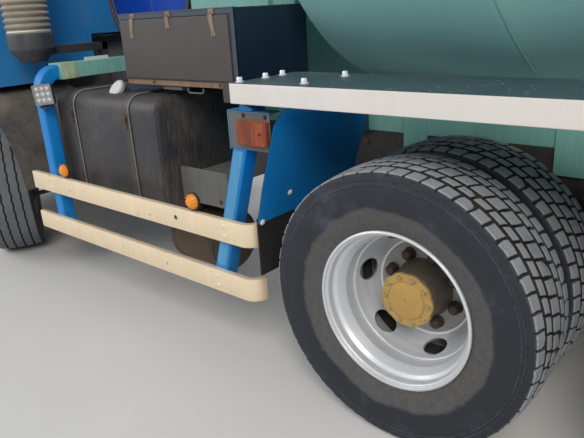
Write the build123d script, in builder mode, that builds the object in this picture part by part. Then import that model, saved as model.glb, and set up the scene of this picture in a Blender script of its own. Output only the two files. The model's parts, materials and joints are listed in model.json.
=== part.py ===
"""Concrete mixer truck, 6x4 with a short forward-control cab.

Millimetres. +X points forward, +Y to the truck's left, +Z up. The origin is on the
ground under the middle of the overall box. Stations along the truck are measured
from the first rear axle, MID_X.
"""

from build123d import *
import os
from math import cos, radians, sin, tan

# Overall stations, from the first rear axle
WHEELBASE = 3300  # first rear axle to front axle
BOGIE_SPACING = 1350  # first to second rear axle
FRONT_REACH = 4750  # first rear axle to the bumper's face
REAR_REACH = 3250  # first rear axle to the chute's rear edge
MID_X = (REAR_REACH - FRONT_REACH) / 2
FRONT_X = MID_X + WHEELBASE
BACK_X = MID_X - BOGIE_SPACING
NOSE_X = MID_X + FRONT_REACH
TAIL_X = MID_X - REAR_REACH
HALF_WIDTH = 1250

# Wheels and tyres, 22.5 inch rims
TYRE_R = 530
TYRE_HALF = 153
TREAD_HALF = 143
SHOULDER_R = 520.5
BEAD_R = 286
BEAD_HALF = 119
RIM_LIP_R = 298.5
RIM_HALF = 132
RIM_WELL_R = 256
RIM_THICK = 10
WALL_R = 410  # radius where the tyre is widest
DUAL_Y = 914  # mounting plane of the two rear discs
DUAL_OFFSET = 175  # mounting plane to a rear wheel's middle plane
HUB_R = 104
HUB_FACE = 196  # mounting plane to the rear hub cap's face
NUT_PCD = 285
NUT_COUNT = 8
NUT_START = 19  # degrees from +X to the first nut
NUT_R = 21
NUT_REACH = 93
SPINDLE_R = 45
RUNNING_GAP = 0.3
DRUM_BRAKE_R = 182

# Steering
KING_Y = 900
KING_R = 22
STEER_REST = -28  # degrees about +Z, wheels turned to the truck's right
STEER_OFFSET = 140  # king pin to the front wheel's middle plane
ARM_REACH = 190  # king pin to the track rod's ball, towards the rear
ARM_Z = 455
ROD_Z = ARM_Z - 42
BALL_PIN_R = 10
TIE_R = 16

# Chassis
RAIL_Y = 425  # outer face of a chassis rail
RAIL_TOP = 990
RAIL_HEIGHT = 270
RAIL_FLANGE = 80
RAIL_WALL = 8
RAIL_REAR_X = MID_X - 2250
RAIL_FRONT_X = MID_X + 4450
SUBFRAME_HEIGHT = 105
SUBFRAME_WIDTH = 80
SUBFRAME_FRONT_X = MID_X + 2650
SUBFRAME_REAR_X = MID_X - 2610
SUBFRAME_TOP = RAIL_TOP + SUBFRAME_HEIGHT

# Drum, along its own axis from the point over the first rear axle, front positive
DRUM_TILT = 13
DRUM_AXIS_Z = 2185
DRUM_WALL = 8
DRUM_R = 1150
DRUM_FRONT_R = 830
DRUM_FRONT_S = 870
DRUM_SEAM_S = -45
DRUM_REAR_S = -950
DRUM_MOUTH_S = -2700
DRUM_MOUTH_R = 590
DRUM_DISH_S = 1010
TRACK_S = -1950  # running ring
TRACK_R = 865
TRACK_HALF = 45
ROLLER_R = 125
ROLLER_HALF = 60
ROLLER_ANGLE = 32  # degrees each side of the drum's lowest line
ROLLER_GAP = 1.0
ROLLER_PIN_R = 30
HOPPER_WALL = 8
DRIVE_R = 170

# Discharge end
FRAME_X = MID_X - 2640
FRAME_Y = 720
FRAME_HALF = 30
FRAME_TOP = 3330
SWIVEL_X = MID_X - 2930
BRACE_X = MID_X - 2905
LADDER_Y = 800
LADDER_FRONT_X = MID_X - 2290

# Deck over the rear wheels
DECK_TOP = 1314
DECK_EDGE = 77
DECK_INNER_Y = 858
DECK_FRONT_X = MID_X + 695
DECK_REAR_X = MID_X - 2050
DECK_SHEET = 6

# Side guards
GUARD_Y = HALF_WIDTH - 15
GUARD_FRONT_X = MID_X + 2520
GUARD_REAR_X = MID_X + 655
GUARD_HEIGHT = 104
GUARD_LEVELS = (372, 625)  # lower edge of each rail
GUARD_THICK = 28
POST_SIZE = 78

# Fuel tank, toolbox and what stands behind the cab
TANK_FACE_Y = 1100
TANK_DEPTH = 600
TANK_REAR_X = MID_X + 1388
TANK_LENGTH = 932
TANK_TOP = 1200
TANK_HEIGHT = 620
TANK_CORNER = 90
BOX_FACE_Y = 1000
BOX_DEPTH = 480
BOX_REAR_X = MID_X + 894
BOX_LENGTH = 826
BOX_BOTTOM = 1274
BOX_HEIGHT = 316
BOX_WALL = 4
LID_THICK = 12
LID_GAP = 6

# Cab
CAB_REAR_X = MID_X + 3050
CAB_HALF = HALF_WIDTH - 110
CAB_FLOOR_Z = 1190
BUMPER_TOP = 1000
BUMPER_BOTTOM = 400
CAB_ROOF_Z = 2900
CAB_WALL = 45
DOOR_FRONT_X = MID_X + 4330
DOOR_REAR_X = MID_X + 3420
DOOR_BOTTOM_Z = 1240
DOOR_TOP_Z = 2720
DOOR_THICK = 40
DOOR_GAP = 6
SILL_Z = 2010  # lower edge of the side windows
GLASS_THICK = 6

drum_cos, drum_sin = cos(radians(DRUM_TILT)), sin(radians(DRUM_TILT))
MIDDLE = Align.CENTER


def block(x_low, x_high, y_low, y_high, z_low, z_high, mode=Mode.ADD):
    """Box between two opposite corners."""
    centre = ((x_low + x_high) / 2, (y_low + y_high) / 2, (z_low + z_high) / 2)
    with Locations(centre):
        return Box(x_high - x_low, y_high - y_low, z_high - z_low, mode=mode)


def rod(start, end, radius, mode=Mode.ADD):
    """Round bar from one point to another."""
    line = Vector(*end) - Vector(*start)
    with Locations(Plane(origin=start, z_dir=line)):
        align = (MIDDLE, MIDDLE, Align.MIN)
        return Cylinder(radius, line.length, align=align, mode=mode)


def drum_point(s, radius=0.0, angle=0.0):
    """Point at station s on the drum's axis, or radius out from it.

    The angle is in degrees from straight down, positive towards the truck's left.
    """
    out = radius * cos(radians(angle))
    side = radius * sin(radians(angle))
    x = MID_X + s * drum_cos - out * drum_sin
    z = DRUM_AXIS_Z - s * drum_sin - out * drum_cos
    return (x, side, z)


# Chassis ladder frame with its cross members and rear underrun bar
CROSS_STATIONS = (-2150, -1700, -350, 500, 1250, 2050, 4420)
CROSS_HEIGHT = 180
UNDERRUN_X = MID_X - 2230
UNDERRUN_Z = 480
UNDERRUN_HALF = HALF_WIDTH - 100
HITCH_PLATE = 15
HITCH_Z = 850
HITCH_PITCH_Y = 160
HITCH_PITCH_Z = 100
HITCH_HOLE_R = 10.5
with BuildPart() as chassis_frame:
    with BuildSketch(Plane.YZ.offset(RAIL_REAR_X)):
        with BuildLine():
            inner_y = RAIL_Y - RAIL_FLANGE
            low_z = RAIL_TOP - RAIL_HEIGHT
            Polyline(
                (inner_y, RAIL_TOP),
                (RAIL_Y, RAIL_TOP),
                (RAIL_Y, low_z),
                (inner_y, low_z),
                (inner_y, low_z + RAIL_WALL),
                (RAIL_Y - RAIL_WALL, low_z + RAIL_WALL),
                (RAIL_Y - RAIL_WALL, RAIL_TOP - RAIL_WALL),
                (inner_y, RAIL_TOP - RAIL_WALL),
                close=True,
            )
        make_face()
        mirror(about=Plane.YZ)
    extrude(amount=RAIL_FRONT_X - RAIL_REAR_X)
    for station in CROSS_STATIONS:
        x = MID_X + station
        reach = RAIL_Y - RAIL_WALL
        cross_low = RAIL_TOP - RAIL_HEIGHT / 2 - CROSS_HEIGHT / 2
        block(x - 4, x + 4, -reach, reach, cross_low, cross_low + CROSS_HEIGHT)
        block(x - 40, x + 4, -reach, reach, cross_low, cross_low + 8)
        block(x - 40, x + 4, -reach, reach, cross_low + CROSS_HEIGHT - 8, cross_low + CROSS_HEIGHT)
    block(UNDERRUN_X - 50, UNDERRUN_X + 50, -UNDERRUN_HALF, UNDERRUN_HALF, UNDERRUN_Z, UNDERRUN_Z + 100)
    reach = RAIL_Y - RAIL_WALL
    block(RAIL_REAR_X, RAIL_REAR_X + HITCH_PLATE, -reach, reach, HITCH_Z - 95, HITCH_Z + 95)
    with Locations(Plane(origin=(RAIL_REAR_X, 0, HITCH_Z), x_dir=(0, 1, 0), z_dir=(-1, 0, 0))):
        with GridLocations(HITCH_PITCH_Y, HITCH_PITCH_Z, 2, 2):
            Cylinder(HITCH_HOLE_R, 4 * HITCH_PLATE, mode=Mode.SUBTRACT)
    for side in (-1, 1):
        y_low, y_high = sorted((side * (RAIL_Y - 12), side * RAIL_Y))
        block(UNDERRUN_X - 40, UNDERRUN_X + 40, y_low, y_high, UNDERRUN_Z + 90, RAIL_TOP - 20)
chassis_frame.part.label = "chassis_frame"

# Mixer subframe on the chassis rails, with its fixing plates
SUBFRAME_CROSSES = (-2200, -1500, -700, 60, 1850, 2600)
PLATE_STATIONS = (-2000, -1200, -330, 350, 1150, 1800)
with BuildPart() as mixer_rails:
    with BuildSketch(Plane.XY.offset(RAIL_TOP)):
        length = SUBFRAME_FRONT_X - SUBFRAME_REAR_X
        middle_x = (SUBFRAME_FRONT_X + SUBFRAME_REAR_X) / 2
        for side in (-1, 1):
            with Locations((middle_x, side * (RAIL_Y - SUBFRAME_WIDTH / 2))):
                Rectangle(length, SUBFRAME_WIDTH)
        for station in SUBFRAME_CROSSES:
            with Locations((MID_X + station, 0)):
                Rectangle(90, 2 * RAIL_Y - SUBFRAME_WIDTH)
    extrude(amount=60)
    for side in (-1, 1):
        with BuildSketch(Plane.XY.offset(RAIL_TOP + 60)):
            with Locations((middle_x, side * (RAIL_Y - SUBFRAME_WIDTH / 2))):
                Rectangle(length, SUBFRAME_WIDTH)
        extrude(amount=SUBFRAME_HEIGHT - 60)
        for station in PLATE_STATIONS:
            x = MID_X + station
            y_low, y_high = sorted((side * RAIL_Y, side * (RAIL_Y + 10)))
            block(x - 60, x + 60, y_low, y_high, RAIL_TOP - 110, SUBFRAME_TOP - 25)

# Front axle: dropped I-beam with king pins, and its leaf springs
BEAM_BOSS_HALF = 48
with BuildPart() as front_axle:
    with BuildSketch(Plane.YZ.offset(FRONT_X - 45)):
        with BuildLine():
            Polyline((0, 500), (560, 500), (740, 575), (KING_Y, 578))
            Line((KING_Y, 578), (KING_Y, 482))
            Polyline((KING_Y, 482), (760, 480), (600, 410), (0, 410), (0, 500))
        make_face()
        mirror(about=Plane.YZ)
    extrude(amount=90)
    for side in (-1, 1):
        with Locations((FRONT_X, side * KING_Y, TYRE_R)):
            Cylinder(48, 2 * BEAM_BOSS_HALF)
            Cylinder(KING_R, 250)
        for face in (-1, 1):
            x_low, x_high = sorted((FRONT_X + face * 45, FRONT_X + face * 20))
            y_low, y_high = sorted((side * 60, side * 520))
            block(x_low, x_high, y_low, y_high, 428, 482, mode=Mode.SUBTRACT)

SPRING_Y = 385
SPRING_WIDTH = 80
SPRING_HALF = 850
with BuildPart() as front_springs:
    for level, half in enumerate((SPRING_HALF, 640, 430)):
        low = 560 - 20 * level
        with BuildSketch(Plane.XZ.offset(-SPRING_Y - SPRING_WIDTH / 2)):
            with BuildLine():
                sag = 95 * (half / SPRING_HALF) ** 2
                rise = low + sag
                ThreePointArc((FRONT_X - half, rise), (FRONT_X, low), (FRONT_X + half, rise))
                Line((FRONT_X + half, rise), (FRONT_X + half, rise + 20))
                top = low + 20
                ThreePointArc((FRONT_X + half, rise + 20), (FRONT_X, top), (FRONT_X - half, rise + 20))
                Line((FRONT_X - half, rise + 20), (FRONT_X - half, rise))
            make_face()
        extrude(amount=SPRING_WIDTH)
    block(FRONT_X - 60, FRONT_X + 60, SPRING_Y - 50, SPRING_Y + 50, 500, 600)
    for end in (-1, 1):
        x = FRONT_X + end * SPRING_HALF
        rod((x, SPRING_Y - 50, 668), (x, SPRING_Y + 50, 668), 30)
        block(x - 35, x + 35, SPRING_Y - 55, SPRING_Y - 42, 650, RAIL_TOP - RAIL_HEIGHT)
        block(x - 35, x + 35, SPRING_Y + 42, SPRING_Y + 55, 650, RAIL_TOP - RAIL_HEIGHT)
        block(x - 35, x + 35, SPRING_Y - 42, SPRING_Y + 42, 700, RAIL_TOP - RAIL_HEIGHT)
    mirror(about=Plane.XZ)

# Rear axles with their differentials, joined by the propeller shafts
SHAFT_Z = 640
GEARBOX_REAR_X = MID_X + 2300
SEAT_Z = 612
BOGIE_Y = 490
with BuildPart() as rear_axles:
    for axle_x in (MID_X, BACK_X):
        with BuildSketch(Plane.XY.offset(TYRE_R)):
            with BuildLine():
                Polyline(
                    (axle_x, 0),
                    (axle_x + 205, 0),
                    (axle_x + 190, 110),
                    (axle_x + 95, 250),
                    (axle_x + 75, 540),
                    (axle_x + 75, 596),
                    (axle_x + 58, 600),
                    (axle_x + 58, DUAL_Y + 60),
                    (axle_x, DUAL_Y + 60),
                    close=True,
                )
            make_face()
            mirror(about=Plane.XZ)
        revolve(axis=Axis((axle_x, 0, TYRE_R), (0, 1, 0)))
        rod((axle_x, 0, SHAFT_Z - 40), (axle_x + 330, 0, SHAFT_Z), 90)
        for side in (-1, 1):
            y_low, y_high = sorted((side * (BOGIE_Y - 40), side * (BOGIE_Y + 40)))
            block(axle_x - 60, axle_x + 60, y_low, y_high, TYRE_R + 30, SEAT_Z)
    rod((BACK_X + 300, 0, SHAFT_Z), (MID_X - 120, 0, SHAFT_Z - 25), 50)
    rod((MID_X + 300, 0, SHAFT_Z), (GEARBOX_REAR_X, 0, 700), 50)

with BuildPart() as axles:
    add(front_axle.part)
    add(rear_axles.part)
axles.part.label = "axles"

# Bogie: trunnion brackets under the rails and inverted leaf packs
BOGIE_X = (MID_X + BACK_X) / 2
with BuildPart() as rear_suspension:
    with BuildSketch(Plane.XZ.offset(-BOGIE_Y - 45)):
        with BuildLine():
            Polyline(
                (BOGIE_X - 640, SEAT_Z),
                (BOGIE_X - 640, 636),
                (BOGIE_X - 300, 690),
                (BOGIE_X - 110, 745),
                (BOGIE_X + 110, 745),
                (BOGIE_X + 300, 690),
                (BOGIE_X + 640, 636),
                (BOGIE_X + 640, SEAT_Z),
                (BOGIE_X, 640),
                close=True,
            )
        make_face()
    extrude(amount=90)
    with BuildSketch(Plane.XZ.offset(-RAIL_Y - 30)):
        with BuildLine():
            Polyline(
                (BOGIE_X - 190, RAIL_TOP - 40),
                (BOGIE_X + 190, RAIL_TOP - 40),
                (BOGIE_X + 110, 590),
                (BOGIE_X - 110, 590),
                close=True,
            )
        make_face()
    extrude(amount=29)
    rod((BOGIE_X, RAIL_Y - 40, 640), (BOGIE_X, BOGIE_Y + 60, 640), 60)
    mirror(about=Plane.XZ)

with BuildPart() as suspension:
    add(front_springs.part)
    add(rear_suspension.part)
suspension.part.label = "suspension"

# Engine and gearbox as one plain block
ENGINE_HALF = 330
ENGINE_TOP = 1450
with BuildPart() as engine:
    with BuildSketch(Plane.XZ.offset(ENGINE_HALF)):
        with BuildLine():
            Polyline(
                (MID_X + 3150, 700),
                (MID_X + 4330, 700),
                (MID_X + 4330, ENGINE_TOP),
                (MID_X + 3250, ENGINE_TOP),
                (MID_X + 3150, 1250),
                close=True,
            )
        make_face()
    extrude(amount=-2 * ENGINE_HALF)
    rod((GEARBOX_REAR_X, 0, 760), (MID_X + 3150, 0, 820), 200)
engine.part.label = "engine"


# Tyre section shared by all ten tyres, in a local frame with its axle along Y
with BuildPart() as tyre_shape:
    with BuildSketch(Plane.XY):
        with BuildLine():
            Line((BEAD_R, -BEAD_HALF + 12), (BEAD_R, -BEAD_HALF))
            Line((BEAD_R, -BEAD_HALF), (RIM_LIP_R + 2, -BEAD_HALF - 2))
            ThreePointArc((RIM_LIP_R + 2, -BEAD_HALF - 2), (WALL_R, -TYRE_HALF), (SHOULDER_R - 22, -TREAD_HALF - 4))
            Line((SHOULDER_R - 22, -TREAD_HALF - 4), (SHOULDER_R, -TREAD_HALF + 6))
            ThreePointArc((SHOULDER_R, -TREAD_HALF + 6), (TYRE_R, 0), (SHOULDER_R, TREAD_HALF - 6))
            Line((SHOULDER_R, TREAD_HALF - 6), (SHOULDER_R - 22, TREAD_HALF + 4))
            ThreePointArc((SHOULDER_R - 22, TREAD_HALF + 4), (WALL_R, TYRE_HALF), (RIM_LIP_R + 2, BEAD_HALF + 2))
            Line((RIM_LIP_R + 2, BEAD_HALF + 2), (BEAD_R, BEAD_HALF))
            Line((BEAD_R, BEAD_HALF), (BEAD_R, BEAD_HALF - 12))
            Line((BEAD_R, BEAD_HALF - 12), (WALL_R, TYRE_HALF - 26))
            Line((WALL_R, TYRE_HALF - 26), (SHOULDER_R - 30, TREAD_HALF - 30))
            Line((SHOULDER_R - 30, TREAD_HALF - 30), (SHOULDER_R - 30, -TREAD_HALF + 30))
            Line((SHOULDER_R - 30, -TREAD_HALF + 30), (WALL_R, -TYRE_HALF + 26))
            Line((WALL_R, -TYRE_HALF + 26), (BEAD_R, -BEAD_HALF + 12))
        make_face()
    revolve(axis=Axis.Y)

# Rim barrel, local frame as the tyre; radius and distance from the middle plane
RIM_OUTLINE = (
    (RIM_LIP_R, RIM_HALF),
    (RIM_LIP_R, BEAD_HALF + 4),
    (BEAD_R - RUNNING_GAP, BEAD_HALF + 1),
    (BEAD_R - RUNNING_GAP, BEAD_HALF - 30),
    (BEAD_R - 14, BEAD_HALF - 42),
    (RIM_WELL_R, 40),
    (RIM_WELL_R, -28),
    (BEAD_R - 14, -BEAD_HALF + 42),
    (BEAD_R - RUNNING_GAP, -BEAD_HALF + 30),
    (BEAD_R - RUNNING_GAP, -BEAD_HALF - 1),
    (RIM_LIP_R, -BEAD_HALF - 4),
    (RIM_LIP_R, -RIM_HALF),
)


def rim_profile(middle):
    """Face of a rim barrel's section around local Y, its middle plane at the given place."""
    outer = [(r, middle + y) for r, y in RIM_OUTLINE]
    inner = [(r - RIM_THICK, middle + y) for r, y in reversed(RIM_OUTLINE[1:-1])]
    with BuildLine() as section:
        Polyline(*outer, *inner, close=True)
    make_face(section.edges())


# Dual wheel: two rims, two discs, hub, brake drum and nuts; local Y points outboard
DISC_THICK = 13
RIM_INNER_R = RIM_WELL_R - RIM_THICK
BOLT_FACE = 56  # mounting plane to the outer disc's bolting face
HAND_HOLES = 6
HAND_HOLE_WIDE = 47  # half the hole along its ring
HAND_HOLE_DEEP = 18  # half the hole across its ring, seen along the axle
HAND_HOLE_PLACE = 227
HAND_HOLE_START = 10


def hand_holes():
    """Ring of oval holes through a disc, drawn on the current sketch plane."""
    with PolarLocations(HAND_HOLE_PLACE, HAND_HOLES, start_angle=HAND_HOLE_START):
        Ellipse(HAND_HOLE_DEEP, HAND_HOLE_WIDE)


with BuildPart() as dual_shape:
    with BuildSketch(Plane.XY):
        for side in (-1, 1):
            rim_profile(side * DUAL_OFFSET)
            face_y = BOLT_FACE if side > 0 else -DISC_THICK
            with BuildLine():
                Polyline(
                    (HUB_R - 10, 0),
                    (HUB_R - 10, face_y),
                    (186, face_y),
                    (212, side * 75),
                    (RIM_INNER_R - 6, side * 142),
                    (RIM_INNER_R - 6, side * 165),
                    (RIM_INNER_R + 1, side * 165),
                    (RIM_INNER_R + 1, side * 124),
                    (224, side * 69),
                    (200, side * 20),
                    (200, 0),
                    close=True,
                )
            make_face()
    revolve(axis=Axis.Y)
    with BuildSketch(Plane.XY):
        with BuildLine():
            Polyline(
                (58.3, -310),
                (DRUM_BRAKE_R, -310),
                (DRUM_BRAKE_R, -40),
                (HUB_R + 20, -20),
                (HUB_R + 20, 30),
                (HUB_R, 40),
                (HUB_R, HUB_FACE - 8),
                (HUB_R - 8, HUB_FACE),
                (0, HUB_FACE),
                (0, 62),
                (58.3, 62),
                close=True,
            )
        make_face()
    revolve(axis=Axis.Y)
    with BuildSketch(Plane.XZ.offset(-BOLT_FACE + 1)):
        with PolarLocations(NUT_PCD / 2, NUT_COUNT, start_angle=NUT_START):
            RegularPolygon(NUT_R, 6)
    extrude(amount=-(NUT_REACH - BOLT_FACE))
    with BuildSketch(Plane.XZ.offset(-250)):
        hand_holes()
    extrude(amount=500, mode=Mode.SUBTRACT)

# Steered wheel: one rim with its disc near the outboard side, hub and nuts
FRONT_DISC_Y = 96
FRONT_HUB_FACE = 175
with BuildPart() as steer_shape:
    with BuildSketch(Plane.XY):
        rim_profile(0)
        with BuildLine():
            Polyline(
                (SPINDLE_R + 20, FRONT_DISC_Y),
                (SPINDLE_R + 20, FRONT_DISC_Y + DISC_THICK),
                (186, FRONT_DISC_Y + DISC_THICK),
                (RIM_INNER_R + 1, 40),
                (RIM_INNER_R + 1, 0),
                (RIM_INNER_R - 12, 0),
                (RIM_INNER_R - 12, 34),
                (180, FRONT_DISC_Y),
                close=True,
            )
        make_face()
        with BuildLine():
            Polyline(
                (SPINDLE_R + RUNNING_GAP, -60),
                (DRUM_BRAKE_R - 20, -60),
                (DRUM_BRAKE_R - 20, 60),
                (HUB_R, 80),
                (HUB_R, 140),
                (HUB_R - 20, FRONT_HUB_FACE),
                (0, FRONT_HUB_FACE),
                (0, 122),
                (SPINDLE_R + RUNNING_GAP, 122),
                close=True,
            )
        make_face()
    revolve(axis=Axis.Y)
    with BuildSketch(Plane.XZ.offset(-FRONT_DISC_Y - DISC_THICK + 1)):
        with PolarLocations(NUT_PCD / 2, NUT_COUNT, start_angle=NUT_START):
            RegularPolygon(NUT_R, 6)
    extrude(amount=-40)
    with BuildSketch(Plane.XZ.offset(-160)):
        hand_holes()
    extrude(amount=160, mode=Mode.SUBTRACT)

# Steering knuckle in a local frame: king pin along Z through the origin, wheel at +Y
KNUCKLE_GAP = 2
with BuildPart() as knuckle_shape:
    for face in (-1, 1):
        low, high = sorted((face * (BEAM_BOSS_HALF + KNUCKLE_GAP), face * 96))
        with BuildSketch(Plane.XY.offset(low)):
            Circle(46)
            with Locations((0, 36)):
                Rectangle(92, 72)
        extrude(amount=high - low)
    block(-46, 46, 52, 72, -96, 96)
    rod((0, 60, 0), (0, STEER_OFFSET + 118, 0), SPINDLE_R)
    Cylinder(KING_R + RUNNING_GAP, 300, mode=Mode.SUBTRACT)

# Knuckles, front wheels and front tyres, placed as steered at rest
STEER_SIDES = (("left", 1), ("right", -1))
steered = []
for side_name, side in STEER_SIDES:
    turn = STEER_REST if side > 0 else STEER_REST + 180
    king = Location((FRONT_X, side * KING_Y, TYRE_R), (0, 0, turn))
    hub = king * Location((0, STEER_OFFSET, 0))
    with BuildPart() as knuckle:
        with Locations(king):
            add(knuckle_shape.part)
            ball = (-side * ARM_REACH, 0, ARM_Z - TYRE_R)
            rod((-side * 20, 0, ARM_Z - TYRE_R), ball, 17)
            with Locations(ball):
                Cylinder(28, 38)
                with Locations((0, 0, ROD_Z - ARM_Z)):
                    Cylinder(BALL_PIN_R, 90)
            Cylinder(KING_R + RUNNING_GAP, 300, mode=Mode.SUBTRACT)
    knuckle.part.label = f"knuckle_{side_name}"
    with BuildPart() as front_wheel:
        with Locations(hub):
            add(steer_shape.part)
    front_wheel.part.label = f"front_wheel_{side_name}"
    with BuildPart() as front_tyre:
        with Locations(hub):
            add(tyre_shape.part)
    front_tyre.part.label = f"front_tyre_{side_name}"
    steered += [knuckle, front_wheel, front_tyre]

# Track rod between the two steering arms
ball_x = FRONT_X - ARM_REACH * cos(radians(STEER_REST))
ball_shift = -ARM_REACH * sin(radians(STEER_REST))
with BuildPart() as track_rod:
    rod((ball_x, ball_shift - KING_Y, ROD_Z), (ball_x, ball_shift + KING_Y, ROD_Z), TIE_R)
    with Locations([(ball_x, ball_shift + side * KING_Y, ROD_Z) for side in (-1, 1)]):
        Cylinder(26, 40)
        Cylinder(BALL_PIN_R + RUNNING_GAP, 40, mode=Mode.SUBTRACT)
track_rod.part.label = "track_rod"

# Rear dual wheels and their tyres
DUAL_PLACES = (
    ("front_left", MID_X, 1),
    ("front_right", MID_X, -1),
    ("back_left", BACK_X, 1),
    ("back_right", BACK_X, -1),
)
duals = []
for place_name, x, side in DUAL_PLACES:
    place = Location((x, side * DUAL_Y, TYRE_R), (0, 0, 0 if side > 0 else 180))
    with BuildPart() as dual_wheel:
        with Locations(place):
            add(dual_shape.part)
    dual_wheel.part.label = f"dual_wheel_{place_name}"
    with BuildPart() as dual_tyres:
        for step_y in (-DUAL_OFFSET, DUAL_OFFSET):
            with Locations(place * Location((0, step_y, 0))):
                add(tyre_shape.part)
    dual_tyres.part.label = f"dual_tyres_{place_name}"
    duals += [dual_wheel, dual_tyres]

# Drum: a revolved shell with a dished front end, a running ring and a rolled mouth
drum_plane = Plane(origin=drum_point(0), x_dir=(drum_cos, 0, -drum_sin), z_dir=(0, -1, 0))
drum_axis = Axis(drum_point(0), (drum_cos, 0, -drum_sin))
DISH_KNUCKLE = 0.62  # where the dish's arc is pinned, as a share of the rim radius
FLANGE_R = 190
with BuildPart() as drum_whole:
    with BuildSketch(drum_plane):
        with BuildLine():
            dish = DRUM_DISH_S - DRUM_FRONT_S
            knuckle_r = DISH_KNUCKLE * DRUM_FRONT_R
            knuckle_s = DRUM_FRONT_S + 0.72 * dish
            Line((DRUM_DISH_S + 20, 0), (DRUM_DISH_S + 20, FLANGE_R))
            Line((DRUM_DISH_S + 20, FLANGE_R), (DRUM_DISH_S - 8, FLANGE_R))
            ThreePointArc((DRUM_DISH_S - 8, FLANGE_R), (knuckle_s, knuckle_r), (DRUM_FRONT_S, DRUM_FRONT_R))
            Polyline(
                (DRUM_FRONT_S, DRUM_FRONT_R),
                (DRUM_SEAM_S, DRUM_R),
                (DRUM_REAR_S, DRUM_R),
                (DRUM_MOUTH_S, DRUM_MOUTH_R),
                (DRUM_MOUTH_S, DRUM_MOUTH_R - DRUM_WALL),
                (DRUM_REAR_S, DRUM_R - DRUM_WALL),
                (DRUM_SEAM_S, DRUM_R - DRUM_WALL),
                (DRUM_FRONT_S - DRUM_WALL, DRUM_FRONT_R - DRUM_WALL),
            )
            ThreePointArc(
                (DRUM_FRONT_S - DRUM_WALL, DRUM_FRONT_R - DRUM_WALL),
                (knuckle_s - DRUM_WALL, knuckle_r - DRUM_WALL),
                (DRUM_DISH_S - 8 - DRUM_WALL, FLANGE_R),
            )
            Line((DRUM_DISH_S - 8 - DRUM_WALL, FLANGE_R), (DRUM_DISH_S - 8 - DRUM_WALL, 0))
            Line((DRUM_DISH_S - 8 - DRUM_WALL, 0), (DRUM_DISH_S + 20, 0))
        make_face()
        cone_slope = (DRUM_R - DRUM_MOUTH_R) / (DRUM_REAR_S - DRUM_MOUTH_S)
        ring_seat = DRUM_MOUTH_R + cone_slope * (TRACK_S - TRACK_HALF - DRUM_MOUTH_S) - DRUM_WALL / 2
        with BuildLine():
            Polyline(
                (TRACK_S - TRACK_HALF, ring_seat),
                (TRACK_S + TRACK_HALF, ring_seat + 2 * TRACK_HALF * cone_slope),
                (TRACK_S + TRACK_HALF, TRACK_R),
                (TRACK_S - TRACK_HALF, TRACK_R),
                close=True,
            )
        make_face()
        with Locations((DRUM_MOUTH_S + 12, DRUM_MOUTH_R + 8)):
            Rectangle(24, 28)
    revolve(axis=drum_axis)

# It is welded from a front shell and a rear cone, which meet where the cone starts
weld_plane = Plane(origin=drum_point(DRUM_REAR_S), z_dir=(drum_cos, 0, -drum_sin))
with BuildPart() as drum:
    add(drum_whole.part)
    split(bisect_by=weld_plane, keep=Keep.TOP)
drum.part.label = "drum"
with BuildPart() as drum_cone:
    add(drum_whole.part)
    split(bisect_by=weld_plane, keep=Keep.BOTTOM)
drum_cone.part.label = "drum_cone"

# Two rollers that carry the running ring
rollers = []
for side_name, side in STEER_SIDES:
    centre_r = TRACK_R + ROLLER_GAP + ROLLER_R
    start = drum_point(TRACK_S - ROLLER_HALF, centre_r, side * ROLLER_ANGLE)
    end = drum_point(TRACK_S + ROLLER_HALF, centre_r, side * ROLLER_ANGLE)
    pin_start = drum_point(TRACK_S - ROLLER_HALF - 10, centre_r, side * ROLLER_ANGLE)
    pin_end = drum_point(TRACK_S + ROLLER_HALF + 10, centre_r, side * ROLLER_ANGLE)
    with BuildPart() as roller:
        rod(start, end, ROLLER_R)
        rod(pin_start, pin_end, ROLLER_PIN_R + RUNNING_GAP, mode=Mode.SUBTRACT)
    roller.part.label = f"drum_roller_{side_name}"
    rollers.append(roller)

# Drum drive on the front pedestal: flange, reduction gear and hydraulic motor
DRIVE_START_S = DRUM_DISH_S + 22
with BuildPart() as drum_drive:
    rod(drum_point(DRIVE_START_S), drum_point(DRIVE_START_S + 60), 150)
    rod(drum_point(DRIVE_START_S + 60), drum_point(DRIVE_START_S + 330), DRIVE_R)
    rod(drum_point(DRIVE_START_S + 330), drum_point(DRIVE_START_S + 460), 110)
    rod(drum_point(DRIVE_START_S + 460), drum_point(DRIVE_START_S + 640), 70)
drum_drive.part.label = "drum_drive"

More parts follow.
